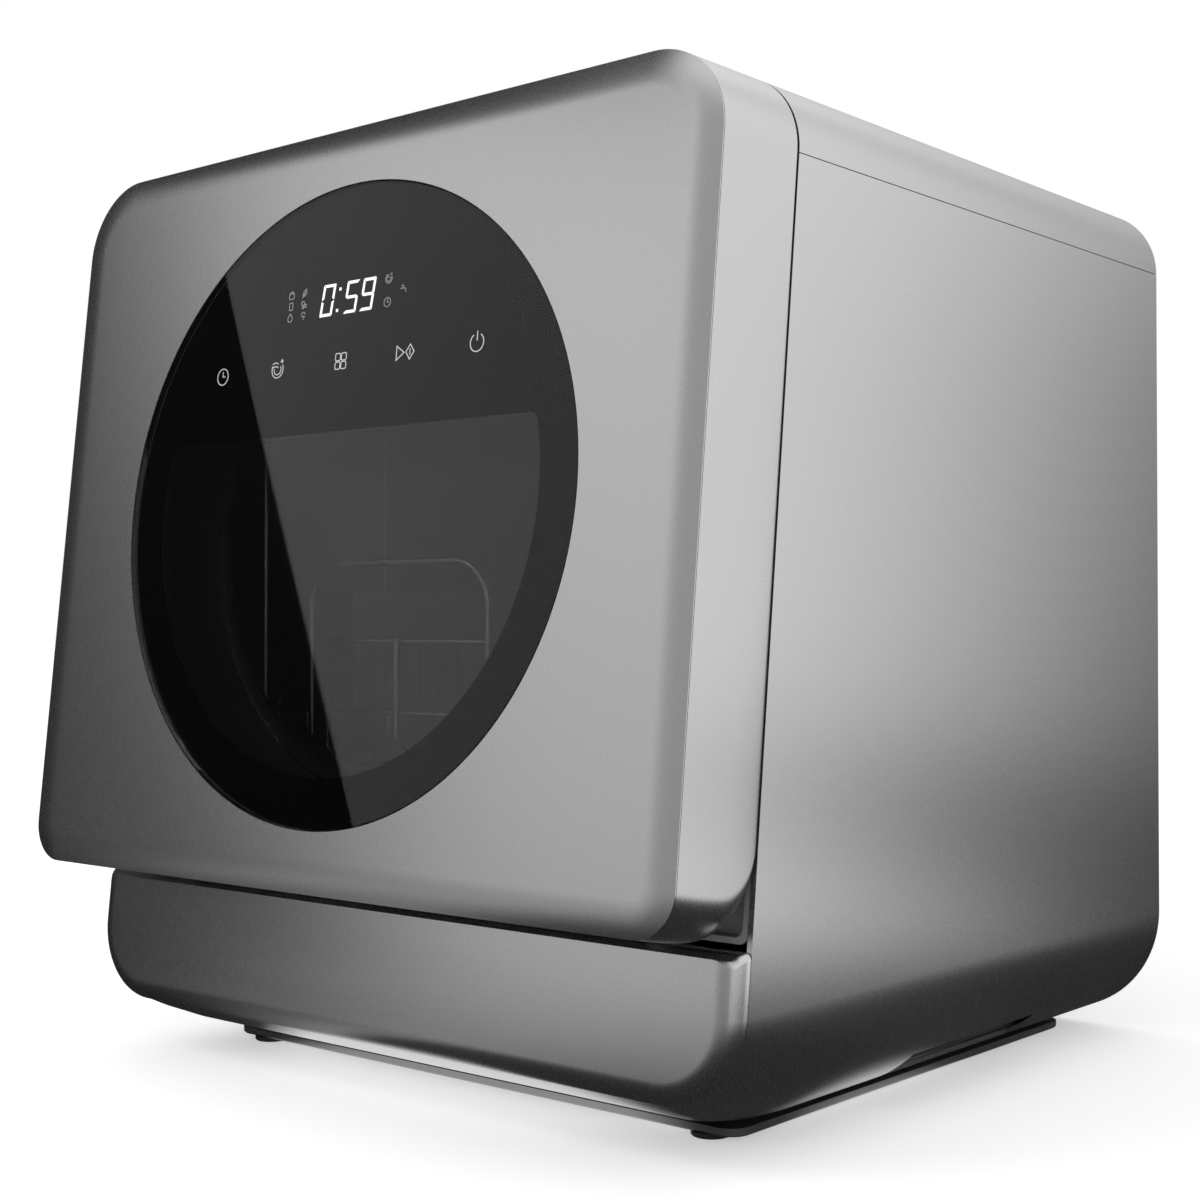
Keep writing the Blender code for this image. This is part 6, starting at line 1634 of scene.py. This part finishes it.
def surface_grain_group():
    """Fine unevenness in a surface: a slightly varied colour and roughness, and a height for the bump."""
    group = bpy.data.node_groups.new("Surface grain", "ShaderNodeTree")
    inputs = (
        ("Colour", "NodeSocketColor"),
        ("Colour Change", "NodeSocketFloat"),
        ("Roughness", "NodeSocketFloat"),
        ("Roughness Change", "NodeSocketFloat"),
        ("Grains per Metre", "NodeSocketFloat"),
        ("Stretch", "NodeSocketVector"),
    )
    for name, kind in inputs:
        group.interface.new_socket(name, in_out="INPUT", socket_type=kind)
    outputs = (("Colour", "NodeSocketColor"), ("Roughness", "NodeSocketFloat"), ("Height", "NodeSocketFloat"))
    for name, kind in outputs:
        group.interface.new_socket(name, in_out="OUTPUT", socket_type=kind)
    nodes, links = group.nodes, group.links
    entry, leave = nodes.new("NodeGroupInput"), nodes.new("NodeGroupOutput")
    place = nodes.new("ShaderNodeTexCoord")
    stretch = nodes.new("ShaderNodeVectorMath")
    stretch.operation = "MULTIPLY"
    noise = nodes.new("ShaderNodeTexNoise")
    noise.inputs["Detail"].default_value = grain_detail
    links.new(place.outputs["Object"], stretch.inputs[0])
    links.new(entry.outputs["Stretch"], stretch.inputs[1])
    links.new(stretch.outputs["Vector"], noise.inputs["Vector"])
    links.new(entry.outputs["Grains per Metre"], noise.inputs["Scale"])

    def math_node(operation, first, second):
        node = nodes.new("ShaderNodeMath")
        node.operation = operation
        for socket, value in zip(node.inputs, (first, second)):
            if isinstance(value, (int, float)):
                socket.default_value = value
            else:
                links.new(value, socket)
        return node.outputs[0]

    swing = math_node("SUBTRACT", noise.outputs[0], noise_middle)
    rough_swing = math_node("MULTIPLY", swing, entry.outputs["Roughness Change"])
    links.new(math_node("ADD", entry.outputs["Roughness"], rough_swing), leave.inputs["Roughness"])
    factor = math_node("ADD", math_node("MULTIPLY", swing, entry.outputs["Colour Change"]), 1.0)
    tint = nodes.new("ShaderNodeVectorMath")
    tint.operation = "SCALE"
    links.new(entry.outputs["Colour"], tint.inputs[0])
    links.new(factor, tint.inputs["Scale"])
    links.new(tint.outputs["Vector"], leave.inputs["Colour"])
    links.new(noise.outputs[0], leave.inputs["Height"])
    return group


grain_group = surface_grain_group()


def surface(name, colour, change, roughness, rough_change, grains, stretch, bump, metallic=0.0, sockets=()):
    """A finish with a fine grain of its own."""
    material = bpy.data.materials.new(name)
    material.use_nodes = True
    nodes, links = material.node_tree.nodes, material.node_tree.links
    shader = nodes["Principled BSDF"]
    grain = nodes.new("ShaderNodeGroup")
    grain.node_tree = grain_group
    grain.inputs["Colour"].default_value = (*colour, 1.0)
    grain.inputs["Colour Change"].default_value = change
    grain.inputs["Roughness"].default_value = roughness
    grain.inputs["Roughness Change"].default_value = rough_change
    grain.inputs["Grains per Metre"].default_value = grains
    grain.inputs["Stretch"].default_value = stretch
    shader.inputs["Metallic"].default_value = metallic
    links.new(grain.outputs["Colour"], shader.inputs["Base Color"])
    links.new(grain.outputs["Roughness"], shader.inputs["Roughness"])
    if bump:
        relief = nodes.new("ShaderNodeBump")
        relief.inputs["Strength"].default_value = bump_strength
        relief.inputs["Distance"].default_value = bump
        links.new(grain.outputs["Height"], relief.inputs["Height"])
        links.new(relief.outputs["Normal"], shader.inputs["Normal"])
    for socket, value in sockets:
        shader.inputs[socket].default_value = value
    return material


# Each finish: its material, colour and the change in it, roughness and the change in it, grains per metre,
# their stretch, how high they stand, how metallic it is, and other sockets that it sets
surfaces = {
    "silver_shell": surface("silver_paint", (0.60, 0.60, 0.60), 0.02, 0.27, 0.03,
                            2600.0, even, 0.0000006, 1.0),
    "dark_trim": surface("black_moulding", (0.030, 0.030, 0.031), 0.3, 0.48, 0.12, 1500.0, even, 0.00003),
    "steel_sheet": surface("drawn_steel", (0.66, 0.66, 0.65), 0.10, 0.34, 0.16,
                           900.0, brushed, 0.000004, 1.0),
    "steel_wire": surface("polished_wire", (0.60, 0.60, 0.61), 0.04, 0.20, 0.08,
                          1600.0, even, 0.000002, 1.0),
    "grey_base": surface("satin_grey_base", (0.30, 0.30, 0.305), 0.04, 0.30, 0.05,
                         1800.0, even, 0.000002, 0.9),
    "grey_plastic": surface("grey_moulding", (0.20, 0.20, 0.21), 0.15, 0.46, 0.10, 1500.0, even, 0.00002),
    "white_plastic": surface("white_moulding", (0.72, 0.72, 0.70), 0.06, 0.42, 0.08, 1200.0, even, 0.00002),
    "rubber": surface("black_rubber", (0.020, 0.020, 0.020), 0.4, 0.72, 0.14, 1100.0, even, 0.00004),
    "circuit_board": surface("green_board", (0.02, 0.15, 0.07), 0.5, 0.40, 0.15, 300.0, even, 0.00002),
    "translucent_tank": surface("milky_tank", (0.62, 0.67, 0.69), 0.06, 0.34, 0.10, 120.0, even, 0.0001,
                                sockets=(("Transmission Weight", 0.35),)),
    "clear_pane": surface("clear_pane_glass", (0.90, 0.92, 0.92), 0.02, 0.02, 0.02, 60.0, even, 0.0,
                          sockets=(("Transmission Weight", 1.0), ("IOR", 1.25))),
    "window_film": surface("window_film", (0.95, 0.96, 0.96), 0.02, 0.02, 0.02, 60.0, even, 0.0,
                           sockets=(("Transmission Weight", 1.0), ("IOR", 1.62))),
    "black_glass": surface("smoked_glass", (0.46, 0.465, 0.465), 0.02, 0.012, 0.02, 40.0, even, 0.0,
                           sockets=(("Transmission Weight", 1.0), ("IOR", 1.33))),
    "black_print": surface("black_print", (0.0015, 0.0015, 0.0015), 0.3, 0.55, 0.1, 900.0, even, 0.0,
                           sockets=(("Specular IOR Level", 0.05),)),
}


def lit(name, strength):
    """A white material that glows, for the display."""
    material = bpy.data.materials.new(name)
    material.use_nodes = True
    shader = material.node_tree.nodes["Principled BSDF"]
    shader.inputs["Base Color"].default_value = light_cover_colour
    shader.inputs["Roughness"].default_value = light_cover_roughness
    shader.inputs["Emission Color"].default_value = white
    shader.inputs["Emission Strength"].default_value = strength
    return material


for name, strength in light_strengths.items():
    surfaces[name] = lit(name, strength)

bodies_of = {node: body for body, nodes in frame["record"]["behaviour"]["bodies"].items() for node in nodes}
slots_of = {part["node"]: part["material_slot"] for part in frame["record"]["subparts"]}


def settle(piece):
    """Apply the cuts and joins to the mesh and remove their helpers."""
    if not piece.modifiers:
        return
    helpers = [modifier.object for modifier in piece.modifiers if modifier.type == "BOOLEAN"]
    bpy.context.view_layer.update()
    mesh = bpy.data.meshes.new_from_object(piece.evaluated_get(bpy.context.evaluated_depsgraph_get()))
    piece.modifiers.clear()
    piece.data = mesh
    for helper in helpers:
        bpy.data.objects.remove(helper)
    smooth(mesh)


def dress(piece, surface_name):
    piece.data.materials.clear()
    piece.data.materials.append(surfaces[surface_name])


def finish(piece, surface_name):
    """Dress a piece that stands for the CAD node of the same name."""
    settle(piece)
    node = piece.name.split(".")[0]
    piece.name = "shown_" + node
    piece.data.name = piece.name
    dress(piece, surface_name)
    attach(piece, bodies_of[node])
    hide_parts(node)
    return piece


def ride_only(piece, body, surface_name):
    """Dress a piece that no CAD node stands for, such as a print, a film or the lit marks."""
    settle(piece)
    dress(piece, surface_name)
    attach(piece, body)
    return piece


def light_up(piece, surface_name):
    return ride_only(piece, "door", surface_name)


def dress_the_rest():
    """Give the CAD nodes that are shown as they are their finishes."""
    for node, piece in frame["nodes"].items():
        if not piece.hide_render:
            dress(piece, slots_of[node])


# Display and touch icons on the glass

def arc(centre, radius, first_degrees, last_degrees, steps=arc_steps):
    points = []
    for step in range(steps + 1):
        angle = math.radians(first_degrees + (last_degrees - first_degrees) * step / steps)
        points.append((centre[0] + radius * math.cos(angle), centre[1] + radius * math.sin(angle)))
    return points


def offset_line(points, distance, closed):
    """The same line moved sideways by a distance, mitred at its corners."""
    moved = []
    count = len(points)
    for index, point in enumerate(points):
        before = points[index - 1] if closed or index else None
        after = points[(index + 1) % count] if closed or index < count - 1 else None
        normals = []
        for first, second in ((before, point), (point, after)):
            if first is None or second is None:
                continue
            run = Vector(second) - Vector(first)
            normals.append(Vector((-run.y, run.x)).normalized())
        middle = sum(normals, Vector((0.0, 0.0))).normalized()
        reach = distance / max(middle.dot(normals[0]), mitre_limit)
        moved.append(tuple(Vector(point) + middle * reach))
    return moved


def add_stroke(form, points, width, closed, back, face):
    """A flat printed line of even width, as a thin closed solid."""
    left = offset_line(points, width / 2, closed)
    right = offset_line(points, -width / 2, closed)
    if closed:
        rings = [on_front(left, back), on_front(left, face), on_front(right, face), on_front(right, back)]
        add_loft(form, rings, joined=True)
    else:
        outline = left + right[::-1]
        add_loft(form, [on_front(outline, back), on_front(outline, face)])


def add_patch(form, outline, back, face):
    add_loft(form, [on_front(outline, back), on_front(outline, face)])


def digit_segments(width, height, stroke, gap):
    """Outlines of the seven bars of a digit, from its lower left corner."""
    middle, half = height / 2, stroke / 2
    inner = stroke + gap
    return {
        "top": (
            (gap, height), (width - gap, height),
            (width - inner, height - stroke), (inner, height - stroke),
        ),
        "bottom": ((gap, 0.0), (inner, stroke), (width - inner, stroke), (width - gap, 0.0)),
        "upper_left": (
            (0.0, height - gap), (stroke, height - inner),
            (stroke, middle + half + gap), (0.0, middle + gap),
        ),
        "lower_left": ((0.0, gap), (0.0, middle - gap), (stroke, middle - half - gap), (stroke, inner)),
        "upper_right": (
            (width, height - gap), (width, middle + gap),
            (width - stroke, middle + half + gap), (width - stroke, height - inner),
        ),
        "lower_right": (
            (width, gap), (width - stroke, inner),
            (width - stroke, middle - half - gap), (width, middle - gap),
        ),
        "middle": (
            (gap, middle), (stroke, middle + half), (width - stroke, middle + half),
            (width - gap, middle), (width - stroke, middle - half), (stroke, middle - half),
        ),
    }


digit_bars = {
    "0": ("top", "bottom", "upper_left", "lower_left", "upper_right", "lower_right"),
    "5": ("top", "upper_left", "middle", "lower_right", "bottom"),
    "9": ("top", "upper_left", "upper_right", "middle", "lower_right", "bottom"),
}


def display_digits(back, face):
    """The time left, in leaning seven-bar digits."""
    form = bmesh.new()
    bars = digit_segments(digit_width, digit_height, digit_stroke, digit_gap)
    for text, left in digit_places:
        for bar in digit_bars[text]:
            outline = [(left + x + digit_lean * z, digit_low_z + z) for x, z in bars[bar]]
            add_patch(form, outline, back, face)
    for height_share in colon_shares:
        z = digit_height * height_share
        middle = (colon_x + digit_lean * z, digit_low_z + z)
        half = digit_stroke / 2
        corners = ((-half, -half), (half, -half), (half, half), (-half, half))
        square = [(middle[0] + x, middle[1] + z) for x, z in corners]
        add_patch(form, square, back, face)
    return light_up(solid("display_digits", form), "lit_digits")


def ring_line(x, z, radius):
    return True, (x, z, radius, 0.0, ring_end, ring_steps)


def box_line(left, bottom, right, top, corner):
    """A closed box with round corners, as four arcs."""
    centres = (
        (left + corner, bottom + corner), (right - corner, bottom + corner),
        (right - corner, top - corner), (left + corner, top - corner),
    )
    return (True, *(
        (x, z, corner, quarter_turn * turn, quarter_turn * (turn + 1), box_steps)
        for turn, (x, z) in enumerate(centres, 2)
    ))


# Each icon's lines, in shares of its radius. A line says whether it closes, and then its points and arcs.
# An arc has its centre, radius, first and last degree and, where it needs fewer than usual, its steps.
icon_lines = {
    "clock": (ring_line(0.0, 0.0, 1.0), (False, (0.0, 0.62), (0.0, 0.0), (0.465, 0.0))),
    "power": ((False, (0.0, 0.0, 1.0, 122.0, 418.0)), (False, (0.0, 1.25), (0.0, 0.2))),
    "grid": tuple(
        box_line(x - 0.42, z - 0.42, x + 0.42, z + 0.42, 0.189)
        for x in (-0.5, 0.5) for z in (-0.5, 0.5)
    ),
    "start": (
        (True, (-1.35, -0.8), (-0.15, 0.0), (-1.35, 0.8)),
        (True, (0.15, 0.0), (0.8, -0.85), (1.45, 0.0), (0.8, 0.85)),
        (False, (0.8, -0.35), (0.8, 0.35)),
    ),
    "steam": (
        (False, (0.0, 0.0, 1.0, 150.0, 390.0)), (False, (0.0, 0.0, 0.62, 170.0, 395.0)),
        (False, (-0.95, 0.25), (-0.35, 0.41), (0.1, 0.23)),
        (False, (-0.95, 0.7), (-0.35, 0.86), (0.1, 0.68)),
        (False, (0.46, 0.95), (0.98, 0.95)), (False, (0.72, 0.69), (0.72, 1.21)),
    ),
    "pot": (box_line(-0.8, -0.8, 0.8, 0.45, 0.3), (False, (-0.8, 0.45), (0.0, 1.0), (0.8, 0.45))),
    "leaf": (
        (True, (-0.6, -0.3), (-0.3, 0.5), (0.5, 1.0), (0.6, 0.1), (0.0, -0.6)),
        (False, (-0.7, -1.0), (0.3, 0.5)),
    ),
    "glass": (box_line(-0.5, -0.8, 0.6, 0.9, 0.2),),
    "bubbles": (ring_line(-0.35, 0.35, 0.5), ring_line(0.5, -0.25, 0.38), ring_line(-0.3, -0.6, 0.24)),
    "drop": ((True, (0.0, -0.15, 0.75, 150.0, 390.0), (0.0, 1.0)),),
    "spray": ((False, (0.0, 0.1, 0.75, 20.0, 160.0)), (False, (-0.7, 0.0), (0.5, 0.0), (0.0, -0.8))),
    "tap": (
        (False, (-1.0, 0.0), (0.3, 0.0), (0.3, -0.5, 0.5, 90.0, 0.0, tap_steps), (0.8, -0.9)),
        (False, (-0.2, 0.0), (-0.2, 0.6)), (False, (-0.65, 0.6), (0.25, 0.6)),
    ),
}


def icon_path(items, centre, radius):
    """One line of an icon: its points, and its arcs' points, at the icon's place and size."""
    points = []
    for item in items:
        points += [item] if len(item) == 2 else arc(item[:2], *item[2:])
    return [(centre[0] + radius * x, centre[1] + radius * z) for x, z in points]


def panel_icons(name, places, radius, width, light, back, face):
    """Icons of one size and brightness, as one piece."""
    form = bmesh.new()
    for icon, x, z in places:
        for closed, *items in icon_lines[icon]:
            add_stroke(form, icon_path(items, (x, z), radius), width, closed, back, face)
    return light_up(solid(name, form), light)


def glass_print():
    """The black print on the rear of the glass, open over the window."""
    face = door_face_ahead - glass_sink - glass_thickness - print_gap
    back = face - print_thickness
    outline = circle(glass_radius - glass_edge, (0.0, glass_centre_z), glass_sides, math.cos(front_tilt))
    printed = front_prism("glass_print", outline, back, face)
    window = clipped_circle(window_radius, window_top_z, window_corner)
    cut(printed, front_prism("print_window", window, back - overrun, face + overrun))
    return ride_only(printed, "door", "black_print")


def window_film():
    """The clear film on the rear of the glass, in the opening of the black print."""
    face = door_face_ahead - glass_sink - glass_thickness - print_gap
    outline = clipped_circle(window_radius - print_gap, window_top_z - print_gap, window_corner)
    film = front_prism("window_film", outline, face - print_thickness, face)
    return ride_only(film, "door", "window_film")


# Stage: floor, background, cards, lamps and camera

def emission_nodes(material, strength):
    material.use_nodes = True
    nodes, links = material.node_tree.nodes, material.node_tree.links
    nodes.clear()
    leave = nodes.new("ShaderNodeOutputMaterial")
    glow = nodes.new("ShaderNodeEmission")
    glow.inputs["Color"].default_value = white
    glow.inputs["Strength"].default_value = strength
    return nodes, links, leave, glow


def seen_directly(nodes, links):
    """1 for what the camera, a mirror or glass shows, 0 for what lights a matt surface."""
    path = nodes.new("ShaderNodeLightPath")
    total = path.outputs["Is Camera Ray"]
    for name in ("Is Glossy Ray", "Is Transmission Ray"):
        higher = nodes.new("ShaderNodeMath")
        higher.operation = "MAXIMUM"
        links.new(total, higher.inputs[0])
        links.new(path.outputs[name], higher.inputs[1])
        total = higher.outputs[0]
    return total


def white_background():
    world = bpy.data.worlds.new("studio")
    bpy.context.scene.world = world
    world.use_nodes = True
    nodes, links = world.node_tree.nodes, world.node_tree.links
    nodes.clear()
    leave = nodes.new("ShaderNodeOutputWorld")
    shown, around = nodes.new("ShaderNodeBackground"), nodes.new("ShaderNodeBackground")
    shown.inputs["Color"].default_value = white
    shown.inputs["Strength"].default_value = 1.0
    around.inputs["Color"].default_value = white
    around.inputs["Strength"].default_value = room_light
    blend = nodes.new("ShaderNodeMixShader")
    links.new(seen_directly(nodes, links), blend.inputs["Fac"])
    links.new(around.outputs[0], blend.inputs[1])
    links.new(shown.outputs[0], blend.inputs[2])
    links.new(blend.outputs[0], leave.inputs["Surface"])


def floor():
    """A white floor that melts into the background and keeps the machine's shadow."""
    form = bmesh.new()
    bmesh.ops.create_grid(form, x_segments=1, y_segments=1, size=floor_size)
    plate = solid("floor", form)
    material = bpy.data.materials.new("white_floor")
    nodes, links, leave, glow = emission_nodes(material, floor_glow)
    matt = nodes.new("ShaderNodeBsdfDiffuse")
    matt.inputs["Color"].default_value = floor_colour
    both = nodes.new("ShaderNodeAddShader")
    blend = nodes.new("ShaderNodeMixShader")
    links.new(matt.outputs[0], both.inputs[0])
    links.new(glow.outputs[0], both.inputs[1])
    links.new(seen_directly(nodes, links), blend.inputs["Fac"])
    links.new(matt.outputs[0], blend.inputs[1])
    links.new(both.outputs[0], blend.inputs[2])
    links.new(blend.outputs[0], leave.inputs["Surface"])
    plate.data.materials.append(material)


def between(first, second, share):
    return first + (second - first) * share


def card(name, corners, levels):
    """A curved card round the machine that only gloss shows: a painted reflection, bright or dark."""
    form = bmesh.new()
    rows, brightness = [], []
    low_left, low_right, high_right, high_left = (corner + (level,) for corner, level in zip(corners, levels))
    for row in range(card_steps + 1):
        line = []
        for column in range(card_steps + 1):
            low = [between(a, b, column / card_steps) for a, b in zip(low_left, low_right)]
            high = [between(a, b, column / card_steps) for a, b in zip(high_left, high_right)]
            azimuth, elevation, level = (between(a, b, row / card_steps) for a, b in zip(low, high))
            azimuth, elevation = math.radians(azimuth), math.radians(elevation)
            line.append(form.verts.new((
                card_distance * math.cos(azimuth) * math.cos(elevation),
                card_distance * math.sin(azimuth) * math.cos(elevation),
                card_centre_z + card_distance * math.sin(elevation),
            )))
            brightness.append(level)
        rows.append(line)
    for first, second in zip(rows, rows[1:]):
        for index in range(card_steps):
            form.faces.new((first[index], first[index + 1], second[index + 1], second[index]))
    stage_card(solid(name, form), brightness)


def stage_card(piece, brightness):
    """Make the card glow by the brightness at each of its points, which paints the reflection seen in it."""
    glow_levels = piece.data.attributes.new("brightness", "FLOAT", "POINT")
    glow_levels.data.foreach_set("value", brightness)
    material = bpy.data.materials.new(piece.name)
    nodes, links, leave, glow = emission_nodes(material, 1.0)
    level = nodes.new("ShaderNodeAttribute")
    level.attribute_name = "brightness"
    links.new(level.outputs["Fac"], glow.inputs["Strength"])
    links.new(glow.outputs[0], leave.inputs["Surface"])
    piece.data.materials.append(material)
    piece.visible_camera = False
    piece.visible_diffuse = False
    piece.visible_shadow = False


def sheet_level(azimuth):
    """How bright the painted floor reflection is near the machine and further out, in one direction."""
    for (first, *low), (second, *high) in zip(sheet_levels, sheet_levels[1:]):
        if azimuth <= second:
            share = (azimuth - first) / (second - first)
            return [between(a, b, share) for a, b in zip(low, high)]
    return list(sheet_levels[-1][1:])


def floor_sheet():
    """A sheet on the floor round the machine that only gloss shows: a painted reflection of the floor, with
    painted shade near the machine.
    """
    form = bmesh.new()
    first, last = sheet_levels[0][0], sheet_levels[-1][0]
    rings, brightness = [], []
    for reach, place in (
        (sheet_hole, 0), (sheet_under, 0), (sheet_near, 1),
        (sheet_near_end, 1), (sheet_far, 2), (card_distance, 2),
    ):
        ring = []
        for step in range(sheet_steps + 1):
            azimuth = between(first, last, step / sheet_steps)
            angle = math.radians(azimuth)
            ring.append(form.verts.new((reach * math.cos(angle), reach * math.sin(angle), sheet_height)))
            brightness.append((sheet_under_level, *sheet_level(azimuth))[place])
        rings.append(ring)
    for inner, outer in zip(rings, rings[1:]):
        for index in range(sheet_steps):
            form.faces.new((inner[index], outer[index], outer[index + 1], inner[index + 1]))
    stage_card(solid("floor_sheet", form), brightness)


def lamp(name, place, target, size, power):
    light = bpy.data.lights.new(name, "AREA")
    light.size = size
    light.energy = power
    holder = bpy.data.objects.new(name, light)
    holder.location = place
    holder.rotation_euler = (Vector(target) - Vector(place)).to_track_quat("-Z", "Y").to_euler()
    holder.visible_glossy = False
    bpy.context.scene.collection.objects.link(holder)


def camera():
    view = bpy.data.cameras.new("camera")
    view.lens = camera_lens
    view.sensor_width = camera_sensor
    holder = bpy.data.objects.new("camera", view)
    holder.location = camera_place
    pitch, turn = math.radians(level_degrees + camera_pitch_degrees), math.radians(camera_turn_degrees)
    holder.rotation_euler = (pitch, 0.0, turn)
    bpy.context.scene.collection.objects.link(holder)
    bpy.context.scene.camera = holder


# The whole picture

def show_casing():
    top_cover()
    underbody_pan()
    rear_panel()
    base_plate()
    for side in (-1, 1):
        side_panel(side)
        foot(side, front_foot_y, "foot_front_" + side_name(side))
        foot(side, rear_foot_y, "foot_rear_" + side_name(side))
    lower_front_panel()
    front_frame()
    tub_gasket()
    fill_funnel()
    fill_cap()
    for values in (
        ("drain_spout", drain_x, drain_spout_radius, drain_spout_bore, "grey_plastic"),
        ("cord_gland", gland_x, gland_radius, gland_bore, "dark_trim"),
    ):
        spout(*values)


def show_tub():
    wash_tub()
    filter_plate()
    filter_cup()
    spray_post()
    spray_arm()
    heating_element()
    riser_tube()
    for side in (-1, 1):
        rack_rail(side)
    dish_rack()
    cutlery_basket()
    cup_shelf()
    fan_wheel()


def show_door():
    door_frame()
    door_front_panel()
    door_glass()
    glass_carrier()
    glass_print()
    window_film()
    door_liner()
    liner_window()
    detergent_cup()
    detergent_lid()
    light_gap = print_gap / 3
    face = door_face_ahead - glass_sink - glass_thickness - light_gap
    back = face - light_gap
    display_digits(back, face)
    for values in (
        ("touch_icons", touch_icon_places, touch_icon_radius, touch_icon_stroke, "lit_icons"),
        ("display_marks", mark_places, mark_radius, mark_stroke, "lit_marks"),
    ):
        panel_icons(*values, back, face)


show_casing()
show_tub()
show_door()
dress_the_rest()
white_background()
floor()
for values in cards:
    card(*values)
floor_sheet()
lamp("key_lamp", key_place, key_target, key_size, key_power)
camera()

bpy.context.scene.view_settings.view_transform = "Standard"
